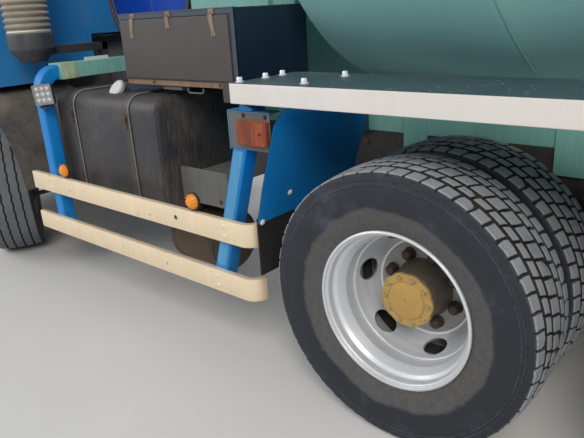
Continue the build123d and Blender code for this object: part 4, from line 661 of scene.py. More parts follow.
class Paintwork:
    """Every finish on the truck, by the place it is used."""

    drum = Finish(
        "drum sage enamel", "drum_green", linear(138, 190, 184), 0.38, coat=0.12, mottle=0.05,
        mottle_scale=1.2, streaks=0.12, streak_colour=linear(150, 168, 160), spots=0.15, dust=0.1,
        splash_height=0.2, grain=0.12, grain_scale=60, dents=1.5, wear=0.1,
    )
    weld = Finish(
        "painted weld bead", "drum_green", linear(112, 160, 150), 0.45, mottle=0.1, dust=0.1, grain=0.5,
        grain_scale=160, splash_height=0.2,
    )
    mixer_green = Finish(
        "mixer frame green", "mixer_green", linear(122, 178, 168), 0.5, mottle=0.1, rust=0.1, streaks=0.22,
        streak_colour=linear(84, 98, 84), spots=0.2, wear=0.22, bare=linear(90, 74, 58), dust=0.2,
        splash_height=1.0,
    )
    hopper_green = Finish(
        "hopper green", "hopper_green", linear(126, 176, 164), 0.55, mottle=0.14, rust=0.18, streaks=0.5,
        streak_colour=linear(168, 164, 150), spots=0.8, wear=0.4, bare=linear(96, 80, 62), dust=0.25,
    )
    chassis = Finish(
        "chassis black", "chassis_black", linear(42, 44, 46), 0.6, mottle=0.2, rust=0.28, rust_scale=9,
        wear=0.25, bare=linear(92, 78, 64), dust=0.75, dust_colour=MUD_COLOUR, splash_height=1.3, grain=0.3,
        grain_scale=90,
    )
    drivetrain = Finish(
        "drivetrain grey", "drivetrain_grey", linear(86, 88, 86), 0.55, mottle=0.2, rust=0.22, wear=0.3,
        dust=0.6, dust_colour=MUD_COLOUR, splash_height=1.5, grain=0.35, grain_scale=120,
    )
    roller = Finish(
        "roller steel", "roller_steel", linear(150, 146, 140), 0.32, 1.0, mottle=0.1, rust=0.12, dust=0.2,
        wear=0.2,
    )
    tread = Finish(
        "tread rubber", "tyre_rubber", linear(134, 139, 143), 0.85, mottle=0.22, mottle_scale=9, rust=0.42,
        rust_scale=55, rust_colour=linear(58, 60, 66), dust=0.45, dust_colour=linear(146, 150, 154),
        splash_height=2.0, grain=0.6, grain_scale=160, grain_depth=0.002,
    )
    tread_side = Finish(
        "tread shoulder rubber", "tyre_rubber", linear(50, 52, 56), 0.9, mottle=0.3, mottle_scale=10,
        rust=0.2, rust_scale=40, rust_colour=linear(34, 34, 36), dust=0.22, dust_colour=linear(116, 112, 106),
        splash_height=2.0, grain=0.6, grain_scale=140,
    )
    rib = Finish(
        "steer tread rubber", "tyre_rubber", linear(94, 98, 102), 0.85, mottle=0.2, mottle_scale=9, rust=0.25,
        rust_scale=55, rust_colour=linear(52, 54, 60), dust=0.3, dust_colour=linear(126, 128, 130),
        splash_height=2.0, grain=0.6, grain_scale=160, grain_depth=0.002,
    )
    groove = Finish(
        "tread groove rubber", "tyre_rubber", linear(34, 32, 30), 0.9, mottle=0.3, mottle_scale=12, dust=0.25,
        dust_colour=linear(90, 80, 68), splash_height=2.0, grain=0.5, grain_scale=120,
    )
    rim = Finish(
        "wheel silver", "wheel_silver", linear(216, 219, 222), 0.36, 0.5, mottle=0.08, mottle_scale=6,
        rust=0.05, rust_scale=34, wear=0.15, wear_radius=0.003, bare=linear(150, 146, 140), dust=0.18,
        dust_colour=linear(150, 142, 130), splash_height=1.2, grain=0.12, grain_scale=240,
    )
    rim_well = Finish(
        "wheel face dusty silver", "wheel_silver", linear(156, 154, 148), 0.5, 0.4, mottle=0.16,
        mottle_scale=8, rust=0.12, rust_scale=30, dust=0.3, dust_colour=linear(134, 126, 114),
        splash_height=1.4, grain=0.15,
    )
    # Painted shade: near-black steel for the disc backs and brake drums, which lie in shade.
    shaded_wheel_back = Finish(
        "wheel back shadowed steel", "wheel_silver", linear(30, 30, 32), 0.85, mottle=0.2, mottle_scale=8,
        rust=0.2, dust=0.12, dust_colour=MUD_COLOUR, grain=0.3, grain_scale=120,
    )
    hub_barrel = Finish(
        "rusted hub barrel", "wheel_silver", linear(92, 82, 74), 0.72, 0.15, mottle=0.25, mottle_scale=12,
        rust=0.45, rust_scale=22, rust_colour=linear(92, 62, 46), wear=0.3, dust=0.3, dust_colour=MUD_COLOUR,
        grain=0.5, grain_scale=120,
    )
    hub_gold = Finish(
        "hub cap gold", "wheel_silver", linear(196, 158, 88), 0.42, 0.55, mottle=0.12, mottle_scale=18,
        rust=0.12, rust_scale=40, rust_colour=linear(120, 92, 54), wear=0.35, wear_radius=0.002,
        bare=linear(176, 168, 150), dust=0.4, dust_colour=linear(150, 128, 92), grain=0.25, grain_scale=300,
    )
    nut = Finish(
        "wheel nut steel", "wheel_silver", linear(96, 78, 64), 0.5, 0.7, mottle=0.2, mottle_scale=30,
        rust=0.4, rust_scale=50, wear=0.6, wear_radius=0.002, bare=linear(150, 142, 130), dust=0.3,
        dust_colour=MUD_COLOUR,
    )
    nut_dark = Finish(
        "wheel nut sleeve", "wheel_silver", linear(52, 44, 40), 0.5, 0.5, mottle=0.2, mottle_scale=30,
        rust=0.3, rust_scale=50, wear=0.5, wear_radius=0.002, bare=linear(112, 96, 82), dust=0.3,
        dust_colour=MUD_COLOUR,
    )
    cap_bolt = Finish(
        "hub cap bolt", "wheel_silver", linear(178, 162, 124), 0.4, 0.8, mottle=0.15, mottle_scale=40,
        rust=0.15, rust_scale=60, wear=0.5, wear_radius=0.0015, bare=linear(196, 188, 168), dust=0.3,
        dust_colour=linear(150, 128, 92), grain=0.1,
    )
    aluminium = Finish(
        "dented aluminium", "guard_aluminium", linear(240, 219, 186), 0.42, 0.35, mottle=0.09, mottle_scale=5,
        rust=0.36, rust_scale=22, rust_colour=linear(172, 146, 112), streaks=0.1,
        streak_colour=linear(176, 152, 122), wear=0.3, wear_radius=0.003, bare=linear(190, 180, 164),
        dust=0.08, splash_height=0.6, grain=0.3, grain_scale=70, dents=2.5, grain_depth=0.004,
    )
    # Painted reflection: the bluish colour that the edge mask lays along the rounded edges stands for sky
    # reflected there.
    edge_strip_sky_glint = Finish(
        "deck edge aluminium", "guard_aluminium", linear(226, 220, 214), 0.4, 0.4, mottle=0.06,
        mottle_scale=4, streaks=0.12, streak_colour=linear(200, 176, 152), wear=0.3, wear_radius=0.003,
        bare=linear(150, 162, 196), dust=0.08, splash_height=0.3, grain=0.2, grain_scale=70, dents=1.5,
        grain_depth=0.003,
    )
    # Painted light: the pale cream-green stands for the sunlit end of the green beam, whose paint is also
    # faded.
    sunlit_beam_end = Finish(
        "sunlit weathered cream beam end", "mixer_green", linear(160, 180, 146), 0.65, mottle=0.3, mottle_scale=14,
        rust=0.3, rust_scale=30, rust_colour=linear(140, 112, 78), streaks=0.4, dust=0.2, wear=0.4,
        bare=linear(150, 130, 100), splash_height=0.3,
    )
    zinc = Finish(
        "zinc plated steel", "guard_aluminium", linear(232, 233, 238), 0.3, 0.35, mottle=0.1, mottle_scale=30,
        rust=0.04, rust_scale=60, dust=0.05, splash_height=0.4, grain=0.1,
    )
    deck = Finish(
        "deck sheet", "deck_dark", linear(42, 72, 80), 0.45, mottle=0.16, mottle_scale=4, rust=0.06,
        streaks=0.1, spots=0.35, wear=0.3, bare=linear(96, 116, 124), dust=0.12, splash_height=0.3, grain=0.2,
    )
    blue = Finish(
        "sky blue paint", "blue_paint", linear(2, 122, 196), 0.42, mottle=0.06, rust=0.02, rust_scale=24,
        streaks=0.12, streak_colour=linear(52, 106, 132), wear=0.4, wear_radius=0.005,
        bare=linear(30, 34, 40), dust=0.07, dust_colour=linear(120, 124, 120), splash_height=0.8, grain=0.1,
        grain_scale=90,
    )
    blue_worn = Finish(
        "chalky blue paint", "blue_paint", linear(72, 146, 194), 0.55, mottle=0.12, rust=0.04, rust_scale=24,
        streaks=0.3, streak_colour=linear(60, 110, 130), wear=0.9, wear_radius=0.007, bare=linear(26, 34, 46),
        dust=0.12, dust_colour=linear(140, 146, 146), splash_height=0.9, grain=0.1, grain_scale=90,
    )
    # Painted shade: this dark royal blue is the tone the tank shows in shade; its sunlit edge looks azure.
    water_blue = Finish(
        "royal blue paint in shade tone", "water_blue", linear(0, 62, 170), 0.45, coat=0.0, mottle=0.06, streaks=0.1,
        streak_colour=linear(40, 84, 150), wear=0.2, bare=linear(40, 40, 42), dust=0.05, splash_height=0.5,
    )
    flap = Finish(
        "flap rubber", "flap_rubber", linear(24, 26, 30), 0.78, mottle=0.2, dust=0.18, dust_colour=MUD_COLOUR,
        splash_height=0.9, grain=0.35, grain_scale=120,
    )
    tank = Finish(
        "fuel tank black", "tank_dark", linear(44, 46, 51), 0.42, mottle=0.16, rust=0.04, rust_scale=16,
        streaks=0.42, streak_scale=150.0, streak_colour=linear(116, 104, 92), wear=0.3,
        bare=linear(104, 92, 78), dust=0.32, dust_colour=linear(116, 104, 92), splash_height=1.15, grain=0.18,
        dents=2.0, grain_scale=80,
    )
    # Painted highlight: the light colour laid along the strap's edges stands for light caught on its
    # shoulders, over real worn paint.
    strap = Finish(
        "tank strap with highlit edges", "tank_dark", linear(66, 62, 58), 0.45, 0.2, mottle=0.3, rust=0.2, rust_scale=30,
        wear=1.0, wear_radius=0.005, bare=linear(168, 160, 150), dust=0.25, splash_height=1.15,
    )
    cap_ring = Finish(
        "filler cap ring", "tank_dark", linear(178, 182, 176), 0.5, mottle=0.15, streaks=0.3, wear=0.4,
        bare=linear(120, 116, 106), dust=0.2, splash_height=0.3, grain=0.1,
    )
    cap = Finish(
        "filler cap plastic", "tank_dark", linear(206, 208, 204), 0.4, mottle=0.08, streaks=0.3, dust=0.3,
        splash_height=0.3, grain=0.1,
    )
    air_tank = Finish(
        "air tank brown", "air_tank_brown", linear(84, 66, 52), 0.6, mottle=0.2, rust=0.35, dust=0.6,
        dust_colour=MUD_COLOUR, splash_height=1.0, wear=0.2,
    )
    tray = Finish(
        "battery tray grey", "tray_grey", linear(96, 98, 98), 0.6, mottle=0.25, mottle_scale=8, rust=0.25,
        rust_scale=9, rust_colour=linear(66, 64, 62), streaks=0.25, streak_colour=linear(80, 70, 60),
        wear=0.4, bare=linear(138, 132, 122), dust=0.3, splash_height=1.1,
    )
    box = Finish(
        "toolbox navy", "box_dark", linear(16, 36, 54), 0.45, mottle=0.12, rust=0.03, streaks=0.12,
        streak_colour=linear(40, 58, 72), spots=0.12, wear=0.4, bare=linear(96, 98, 100), dust=0.05,
        splash_height=0.4,
    )
    box_frame = Finish(
        "toolbox front frame", "box_dark", linear(52, 64, 80), 0.55, mottle=0.14, rust=0.1, streaks=0.25,
        streak_colour=linear(92, 88, 84), wear=0.6, bare=linear(132, 126, 118), dust=0.2, splash_height=0.4,
    )
    box_ledge = Finish(
        "rusty toolbox ledge", "box_dark", linear(120, 92, 70), 0.75, mottle=0.25, mottle_scale=9, rust=0.5,
        rust_scale=20, streaks=0.3, streak_colour=linear(150, 128, 102), wear=0.4, bare=linear(160, 140, 112),
        dust=0.3, splash_height=0.4, grain=0.4,
    )
    latch = Finish(
        "tan rubber latch", "box_lid", linear(132, 116, 98), 0.7, mottle=0.2, mottle_scale=20, rust=0.15,
        wear=0.3, bare=linear(164, 150, 130), dust=0.2, splash_height=0.4, grain=0.3,
    )
    box_lid = Finish(
        "toolbox door", "box_lid", linear(71, 66, 63), 0.6, mottle=0.14, mottle_scale=5, rust=0.04,
        streaks=0.15, streak_colour=linear(62, 58, 58), spots=0.05, wear=0.5, wear_radius=0.004,
        bare=linear(120, 114, 104), dust=0.14, splash_height=0.4, grain=0.15, dents=2.0, grain_scale=60,
    )
    plastic = Finish(
        "moulded black plastic", "intake_plastic", linear(44, 45, 47), 0.6, mottle=0.15, streaks=0.3,
        streak_colour=linear(104, 98, 88), dust=0.55, splash_height=1.3, grain=0.4, grain_scale=380,
    )
    canister = Finish(
        "canister plastic", "intake_plastic", linear(54, 60, 66), 0.45, mottle=0.12, streaks=0.2, dust=0.2,
        splash_height=0.8, grain=0.15,
    )
    bellows = Finish(
        "bellows rubber", "intake_plastic", linear(126, 118, 104), 0.6, mottle=0.15, dust=0.7,
        dust_colour=linear(214, 202, 176), splash_height=0.5, grain=0.2,
    )
    cab = Finish(
        "cab sky blue", "cab_paint", linear(30, 126, 190), 0.3, coat=0.4, mottle=0.04, streaks=0.25,
        streak_colour=linear(96, 116, 128), wear=0.12, wear_radius=0.008, bare=linear(60, 66, 70), dust=0.3,
        splash_height=1.35, grain=0.05, dents=0.8,
    )
    trim = Finish(
        "cab black trim", "cab_trim", linear(40, 41, 43), 0.55, mottle=0.1, dust=0.3, splash_height=1.3,
        grain=0.35, grain_scale=400,
    )
    seat = Finish(
        "seat cloth", "cab_trim", linear(62, 66, 74), 0.9, mottle=0.15, mottle_scale=10, dust=0.15, grain=0.6,
        grain_scale=500,
    )
    seal = Finish(
        "window seal rubber", "cab_trim", linear(24, 24, 25), 0.6, mottle=0.1, dust=0.2, grain=0.2,
    )
    end_cap = Finish(
        "deck end cap", "deck_dark", linear(58, 54, 54), 0.6, mottle=0.2, wear=0.4, bare=linear(96, 92, 88),
        dust=0.15, splash_height=0.3, grain=0.3,
    )
    bumper = Finish(
        "bumper grey", "bumper_grey", linear(74, 78, 82), 0.5, mottle=0.1, streaks=0.35, wear=0.35,
        bare=linear(120, 116, 110), dust=0.6, splash_height=1.1, grain=0.2, grain_scale=300,
    )
    mirror = Finish(
        "mirror face", "cab_trim", linear(210, 214, 216), 0.04, 1.0, mottle=0.02, dust=0.0, grain=0.0
    )
    reflector = Finish(
        "lamp reflector", "lamp_clear", linear(216, 216, 214), 0.12, 1.0, mottle=0.04, dust=0.0, grain=0
    )
    reflector_frame = Finish(
        "lamp face silver", "lamp_clear", linear(150, 150, 152), 0.4, 0.5, mottle=0.05, dust=0.08, grain=0.1,
    )
    led = Finish("led die", "lamp_clear", linear(226, 222, 196), 0.3, mottle=0.05, dust=0.0, grain=0.0)
    amber = Finish(
        "amber lens", "lamp_amber", linear(234, 140, 22), 0.2, coat=0.5, mottle=0.12, mottle_scale=30,
        dust=0.2, splash_height=0.8, grain=0.1,
    )
    amber_dark = Finish(
        "weathered amber lens", "lamp_amber", linear(156, 72, 34), 0.4, mottle=0.3, mottle_scale=24,
        streaks=0.6, streak_colour=linear(70, 40, 26), dust=0.12, splash_height=0.6, grain=0.1,
    )
    red = Finish(
        "red lens", "lamp_red", linear(170, 24, 20), 0.2, coat=0.5, mottle=0.1, mottle_scale=30, dust=0.2
    )
    plate = Finish("blank plate", "mixer_green", linear(206, 206, 196), 0.45, mottle=0.1, dust=0.3, grain=0.1)
    hose = Finish("hose rubber", "chassis_black", linear(34, 34, 35), 0.6, mottle=0.1, dust=0.35, grain=0.2)
    clear = GlassFinish("lamp glass", "lamp_clear", linear(240, 242, 242), 0.02)
    glazing = GlassFinish("cab glazing", "cab_glass", linear(186, 204, 200), 0.02, 0.9)


# ----------------------------------------------------------------------- mesh helpers


def frame_at(origin: Point, axis: Point = (0, 0, 1), across: Point = (1, 0, 0)) -> Matrix:
    """Make a placement from its origin, its Z axis and a hint for its X axis.

    Args:
        origin: Where the placement's zero is.
        axis: Direction of its Z axis.
        across: Direction near which its X axis lies.

    Returns:
        The placement as a matrix.
    """
    z_axis = Vector(axis).normalized()
    y_axis = z_axis.cross(Vector(across)).normalized()
    x_axis = y_axis.cross(z_axis)
    turn = Matrix((x_axis, y_axis, z_axis)).transposed().to_4x4()
    return Matrix.Translation(Vector(origin)) @ turn


def arc(first: Pair, middle: Pair, last: Pair, count: int) -> list[Pair]:
    """Points of the circular arc through three points, both ends included.

    Args:
        first: Where the arc starts.
        middle: A point that it passes.
        last: Where it ends.
        count: Number of spans.

    Returns:
        The points in order.
    """
    (ax, ay), (bx, by), (cx, cy) = first, middle, last
    twice = 2 * (ax * (by - cy) + bx * (cy - ay) + cx * (ay - by))
    a_sq, b_sq, c_sq = ax * ax + ay * ay, bx * bx + by * by, cx * cx + cy * cy
    ux = (a_sq * (by - cy) + b_sq * (cy - ay) + c_sq * (ay - by)) / twice
    uy = (a_sq * (cx - bx) + b_sq * (ax - cx) + c_sq * (bx - ax)) / twice
    radius = math.hypot(ax - ux, ay - uy)
    start, mid, end = (math.atan2(y - uy, x - ux) for x, y in (first, middle, last))
    sweep = (end - start) % math.tau
    if (mid - start) % math.tau > sweep:
        sweep -= math.tau
    turns = [start + sweep * i / count for i in range(count + 1)]
    return [(ux + radius * math.cos(t), uy + radius * math.sin(t)) for t in turns]


def rounded(outline: list[Pair], radius: float, steps: int = 4, closed: bool = False) -> list[Pair]:
    """Round the corners of an outline.

    Args:
        outline: The corners in order.
        radius: Fillet radius, made smaller where a side is short.
        steps: Spans in each fillet.
        closed: Whether the last corner joins the first.

    Returns:
        The outline with rounded corners.
    """
    count = len(outline)
    result: list[Pair] = []
    for index, corner in enumerate(outline):
        if not closed and index in (0, count - 1):
            result.append(corner)
            continue
        here = Vector(corner)
        back, ahead = Vector(outline[index - 1]) - here, Vector(outline[(index + 1) % count]) - here
        if back.length < 1e-9 or ahead.length < 1e-9:
            continue
        bend = back.angle(ahead)
        if bend > math.pi - 0.03:
            result.append(corner)
            continue
        cut = min(radius / math.tan(bend / 2), back.length * 0.48, ahead.length * 0.48)
        start, end = here + back.normalized() * cut, here + ahead.normalized() * cut
        for step in range(steps + 1):
            share = step / steps
            point = start.lerp(here, share).lerp(here.lerp(end, share), share)
            result.append((point.x, point.y))
    return result


def thick(path: list[Pair], wall: float) -> list[Pair]:
    """Give an open line a wall and return it as a closed outline.

    Args:
        path: The line.
        wall: Wall thickness, laid to the left of the line.

    Returns:
        The closed outline.
    """
    far: list[Pair] = []
    for index, point in enumerate(path):
        before, after = path[max(index - 1, 0)], path[min(index + 1, len(path) - 1)]
        along = Vector((after[0] - before[0], after[1] - before[1])).normalized()
        far.append((point[0] - along.y * wall, point[1] + along.x * wall))
    return list(path) + far[::-1]


UPRIGHT = frame_at((0, 0, 0), (0, -1, 0), (1, 0, 0))
LENGTHWAYS = frame_at((0, 0, 0), (1, 0, 0), (0, 1, 0))
SIDES = (("left", 1), ("right", -1))


class Shape:
    """A mesh in the making, drawn face by face with the finish chosen last."""

    def __init__(self, *finishes: AnyFinish) -> None:
        """Start empty.

        Args:
            *finishes: Finishes that faces can take, the first one to begin with.
        """
        self.mesh = bmesh.new()
        self.finishes = list(finishes)
        self.current = 0

    def use(self, finish: AnyFinish) -> "Shape":
        """Give the faces that follow another finish."""
        if finish not in self.finishes:
            self.finishes.append(finish)
        self.current = self.finishes.index(finish)
        return self

    def face(self, verts: list[bmesh.types.BMVert]) -> None:
        """Add a face, leaving out repeated corners.

        Args:
            verts: Its corners in order.
        """
        corners = list(dict.fromkeys(verts))
        if len(corners) < 3:
            return
        try:
            made = self.mesh.faces.new(corners)
        except ValueError:
            return
        made.material_index = self.current
        made.smooth = True

    def point(self, frame: Matrix, place: tuple[float, ...]) -> bmesh.types.BMVert:
        """Add a vertex at a place in a frame."""
        return self.mesh.verts.new(frame @ Vector(place))

    def join(self, first: list[bmesh.types.BMVert], second: list[bmesh.types.BMVert], closed: bool) -> None:
        """Span two rows of vertices with faces.

        Args:
            first: One row.
            second: The other, of the same length.
            closed: Whether each row runs back to its start.
        """
        count = len(first)
        for index in range(count if closed else count - 1):
            following = (index + 1) % count
            self.face([first[index], first[following], second[following], second[index]])

    def stack(self, rows: list[list[bmesh.types.BMVert]]) -> None:
        """Span closed rows one after another and close both ends.

        Args:
            rows: The rows in order, each of the same length.
        """
        for first, second in zip(rows, rows[1:]):
            self.join(first, second, True)
        self.face(rows[0])
        self.face(rows[-1])

    def _span(self, rows: list[list[bmesh.types.BMVert]], closed: bool) -> "Shape":
        """Span the rings along a path.

        Args:
            rows: The rings in order.
            closed: Whether the path runs back to its start.

        Returns:
            This shape.
        """
        for first, second in zip(rows, rows[1:]):
            self.join(first, second, True)
        if closed:
            self.join(rows[-1], rows[0], True)
        else:
            self.face(rows[0][::-1])
            self.face(rows[-1])
        return self

    def lathe(
        self,
        outline: list[Pair],
        frame: Matrix,
        segments: int = 96,
        closed: bool = False,
        start: float = 0.0,
        sweep: float = math.tau,
    ) -> "Shape":
        """Turn an outline of (radius, height) pairs round a frame's Z axis.

        Args:
            outline: The pairs in order.
            frame: Placement of the axis.
            segments: Number of steps round it.
            closed: Whether the outline runs back to its start.
            start: Angle where a partial turn starts.
            sweep: How far it goes.

        Returns:
            This shape.
        """
        whole = sweep > math.tau - 1e-6
        count = segments if whole else segments + 1
        turns = [start + sweep * i / segments for i in range(count)]
        rows = []
        for radius, height in outline:
            if radius < 1e-6:
                rows.append([self.point(frame, (0, 0, height))] * count)
            else:
                rows.append(
                    [self.point(frame, (radius * math.cos(t), radius * math.sin(t), height)) for t in turns]
                )
        for first, second in zip(rows, rows[1:]):
            self.join(first, second, whole)
        if closed:
            self.join(rows[-1], rows[0], whole)
            if not whole:
                self.face([row[0] for row in rows])
                self.face([row[-1] for row in rows])
        return self

    def prism(self, outline: list[Pair], low: float, high: float, frame: Matrix | None = None) -> "Shape":
        """Raise a closed outline along a frame's Z axis.

        Args:
            outline: Corners in the frame's XY plane.
            low: Where it starts along Z.
            high: Where it ends.
            frame: Placement, the truck's own if left out.

        Returns:
            This shape.
        """
        place = frame or Matrix.Identity(4)
        below = [self.point(place, (x, y, low)) for x, y in outline]
        above = [self.point(place, (x, y, high)) for x, y in outline]
        self.join(below, above, True)
        self.face(below[::-1])
        self.face(above)
        return self

    def block(self, low: Point, high: Point, frame: Matrix | None = None, round_by: float = 0.0) -> "Shape":
        """Add a block between two corners, with its Z edges rounded if wanted.

        Args:
            low: Lowest corner.
            high: Highest corner.
            frame: Placement, the truck's own if left out.
            round_by: Fillet radius of the edges along Z.

        Returns:
            This shape.
        """
        corners = [(low[0], low[1]), (high[0], low[1]), (high[0], high[1]), (low[0], high[1])]
        if round_by:
            corners = rounded(corners, round_by, 3, True)
        return self.prism(corners, low[2], high[2], frame)

    def plate(self, outline: list[Pair], near: float, far: float, side: int = 1) -> "Shape":
        """Raise an outline of (x, z) pairs across the truck.

        Args:
            outline: Its corners.
            near: Distance from the truck's middle where it starts.
            far: Distance where it ends.
            side: 1 on the left, -1 on the right.

        Returns:
            This shape.
        """
        low, high = sorted((-near * side, -far * side))
        return self.prism(outline, low, high, UPRIGHT)

    def bar(self, outline: list[Pair], back: float, front: float) -> "Shape":
        """Raise an outline of (y, z) pairs along the truck between two stations."""
        return self.prism(outline, back, front, LENGTHWAYS)

    def rod(
        self, start: Point, end: Point, radius: float, segments: int = 24, chamfer: float = 0.0
    ) -> "Shape":
        """Add a round bar between two points.

        Args:
            start: Middle of one end.
            end: Middle of the other.
            radius: Radius of the bar.
            segments: Steps round it.
            chamfer: Size of the chamfer at both ends.

        Returns:
            This shape.
        """
        along = Vector(end) - Vector(start)
        hint = (0, 0, 1) if abs(along.normalized().z) < 0.9 else (1, 0, 0)
        size, cut = along.length, min(chamfer, radius * 0.6)
        outline = [
            (0, 0), (radius - cut, 0), (radius, cut), (radius, size - cut), (radius - cut, size), (0, size)
        ]
        if not cut:
            outline = [(0, 0), (radius, 0), (radius, size), (0, size)]
        return self.lathe(outline, frame_at(start, tuple(along), hint), segments)

    def sweep(
        self, path: list[Point], section: list[Pair], hint: Point = (0, 0, 1), closed: bool = False
    ) -> "Shape":
        """Carry a closed section along a path.

        Args:
            path: Points that it passes.
            section: Corners as (side, up) pairs; up stays near the hint.
            hint: Direction that the section's up side keeps to.
            closed: Whether the path runs back to its start.

        Returns:
            This shape.
        """
        points = [Vector(p) for p in path]
        rows = []
        for index, point in enumerate(points):
            before = points[index - 1] if index or closed else point
            after = points[(index + 1) % len(points)] if index < len(points) - 1 or closed else point
            incoming, outgoing = (point - before), (after - point)
            along = (
                incoming.normalized() + outgoing.normalized()
                if incoming.length and outgoing.length
                else after - before
            ).normalized()
            side = along.cross(Vector(hint)).normalized()
            up = side.cross(along)
            spread = 1.0
            if incoming.length and outgoing.length:
                spread = 1 / max(0.5, math.cos(incoming.angle(outgoing) / 2))
            bend = (
                outgoing.normalized() - incoming.normalized()
                if incoming.length and outgoing.length
                else Vector()
            )
            row = []
            for across, rise in section:
                offset = side * across + up * rise
                if bend.length > 1e-4:
                    out = bend.normalized()
                    offset += out * offset.dot(out) * (spread - 1)
                row.append(self.mesh.verts.new(point + offset))
            rows.append(row)
        return self._span(rows, closed)

    def tube(self, path: list[Point], radius: float, segments: int = 16, closed: bool = False) -> "Shape":
        """Carry a circle along a path, turning as little as it can.

        Args:
            path: Points that it passes.
            radius: Radius of the tube.
            segments: Steps round it.
            closed: Whether the path runs back to its start.

        Returns:
            This shape.
        """
        points = [Vector(p) for p in path]
        last = len(points) - 1
        tangents = []
        for index in range(len(points)):
            before = points[index - 1] if index or closed else points[0]
            after = points[(index + 1) % len(points)] if index < last or closed else points[last]
            tangents.append((after - before).normalized())
        side = tangents[0].orthogonal().normalized()
        rows = []
        for point, along in zip(points, tangents):
            side = (side - along * side.dot(along)).normalized()
            up = along.cross(side)
            turns = [math.tau * i / segments for i in range(segments)]
            rows.append(
                [self.mesh.verts.new(point + (side * math.cos(t) + up * math.sin(t)) * radius) for t in turns]
            )
        return self._span(rows, closed)

    def bolt(
        self, place: Point, axis: Point, across: float = 0.019, height: float = 0.010, washer: bool = True
    ) -> "Shape":
        """Add a hexagon bolt head with its washer.

        Args:
            place: Where it sits on the face.
            axis: Direction that it stands out.
            across: Width across flats.
            height: Height of the head.
            washer: Whether a washer lies under it.

        Returns:
            This shape.
        """
        hint = (0, 0, 1) if abs(Vector(axis).normalized().z) < 0.9 else (1, 0, 0)
        frame = frame_at(place, axis, hint)
        base = 0.0
        if washer:
            base = height * 0.22
            self.lathe([(0, 0), (across * 0.85, 0), (across * 0.85, base), (0, base)], frame, 20)
        corner = across / math.sqrt(3)
        top = base + height
        outline = [(0, base), (corner, base), (corner, top - height * 0.2), (corner * 0.82, top), (0, top)]
        return self.lathe(outline, frame, 6)

    def cut(self, cutters: "Shape") -> "Shape":
        """Cut another shape's solid out of this one.

        Args:
            cutters: The shape to take away, which is used up.

        Returns:
            This shape.
        """
        pair = []
        for shape, label in ((self, "cut_body"), (cutters, "cut_tool")):
            data = bpy.data.meshes.new(label)
            bmesh.ops.remove_doubles(shape.mesh, verts=shape.mesh.verts[:], dist=1e-5)
            bmesh.ops.recalc_face_normals(shape.mesh, faces=shape.mesh.faces[:])
            shape.mesh.to_mesh(data)
            shape.mesh.free()
            thing = bpy.data.objects.new(label, data)
            bpy.context.scene.collection.objects.link(thing)
            pair.append(thing)
        body, tool = pair
        modifier = body.modifiers.new("Cut", "BOOLEAN")
        modifier.operation = "DIFFERENCE"
        modifier.solver = "EXACT"
        modifier.object = tool
        graph = bpy.context.evaluated_depsgraph_get()
        result = body.evaluated_get(graph).to_mesh()
        self.mesh = bmesh.new()
        self.mesh.from_mesh(result)
        body.evaluated_get(graph).to_mesh_clear()
        for thing in pair:
            data = thing.data
            bpy.data.objects.remove(thing)
            bpy.data.meshes.remove(data)
        return self

    def make(
        self,
        name: str,
        body: str,
        replaces: tuple[str, ...] = (),
        smooth: float = 34.0,
        bevel: float = 0.0,
        steps: int = 2,
    ) -> bpy.types.Object:
        """Turn the shape into a piece of the truck.

        Args:
            name: Name of the piece.
            body: CAD body that it moves with.
            replaces: CAD nodes that it stands for.
            smooth: Edges sharper than this many degrees stay crisp.
            bevel: Width of a bevel along those edges.
            steps: Segments of the bevel.

        Returns:
            The new object.
        """
        bmesh.ops.remove_doubles(self.mesh, verts=self.mesh.verts[:], dist=1e-5)
        bmesh.ops.recalc_face_normals(self.mesh, faces=self.mesh.faces[:])
        data = bpy.data.meshes.new(name)
        self.mesh.to_mesh(data)
        self.mesh.free()
        for finish in self.finishes:
            data.materials.append(finish.material())
        data.shade_smooth()
        data.set_sharp_from_angle(angle=math.radians(smooth))
        piece = bpy.data.objects.new(name, data)
        bpy.context.scene.collection.objects.link(piece)
        if bevel:
            edge = piece.modifiers.new("Edges", "BEVEL")
            edge.width = bevel
            edge.segments = steps
            edge.limit_method = "ANGLE"
            edge.angle_limit = math.radians(smooth)
            edge.harden_normals = True
        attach(piece, body)
        if replaces:
            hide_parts(*replaces)
        LOG.info("piece %s on %s, %d faces", name, body, len(data.polygons))
        return piece


@dataclass
class Frame:
    """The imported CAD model, with ways to dress its own nodes."""

    nodes: dict[str, bpy.types.Object]

    def dress(
        self, node: str, finish: AnyFinish, bevel: float = 0.003, smooth: float = 32.0
    ) -> bpy.types.Object:
        """Give a CAD node its finish and soft edges.

        Args:
            node: Name of the node.
            finish: Its finish.
            bevel: Width of the edge rounding, none if 0.
            smooth: Edges sharper than this many degrees are rounded.

        Returns:
            The node's object.
        """
        thing = self.nodes[node]
        data = thing.data
        data.materials.clear()
        data.materials.append(finish.material())
        custom = data.attributes.get("custom_normal")
        if custom:
            data.attributes.remove(custom)
        data.shade_smooth()
        weld = thing.modifiers.new("Weld", "WELD")
        weld.merge_threshold = 0.00005
        if bevel:
            edge = thing.modifiers.new("Edges", "BEVEL")
            edge.width = bevel
            edge.segments = 2
            edge.limit_method = "ANGLE"
            edge.angle_limit = math.radians(smooth)
        level = thing.modifiers.new("Normals", "WEIGHTED_NORMAL")
        level.keep_sharp = True
        LOG.info("node %s in %s", node, finish.name)
        return thing


# ------------------------------------------------------------------- tyres and wheels


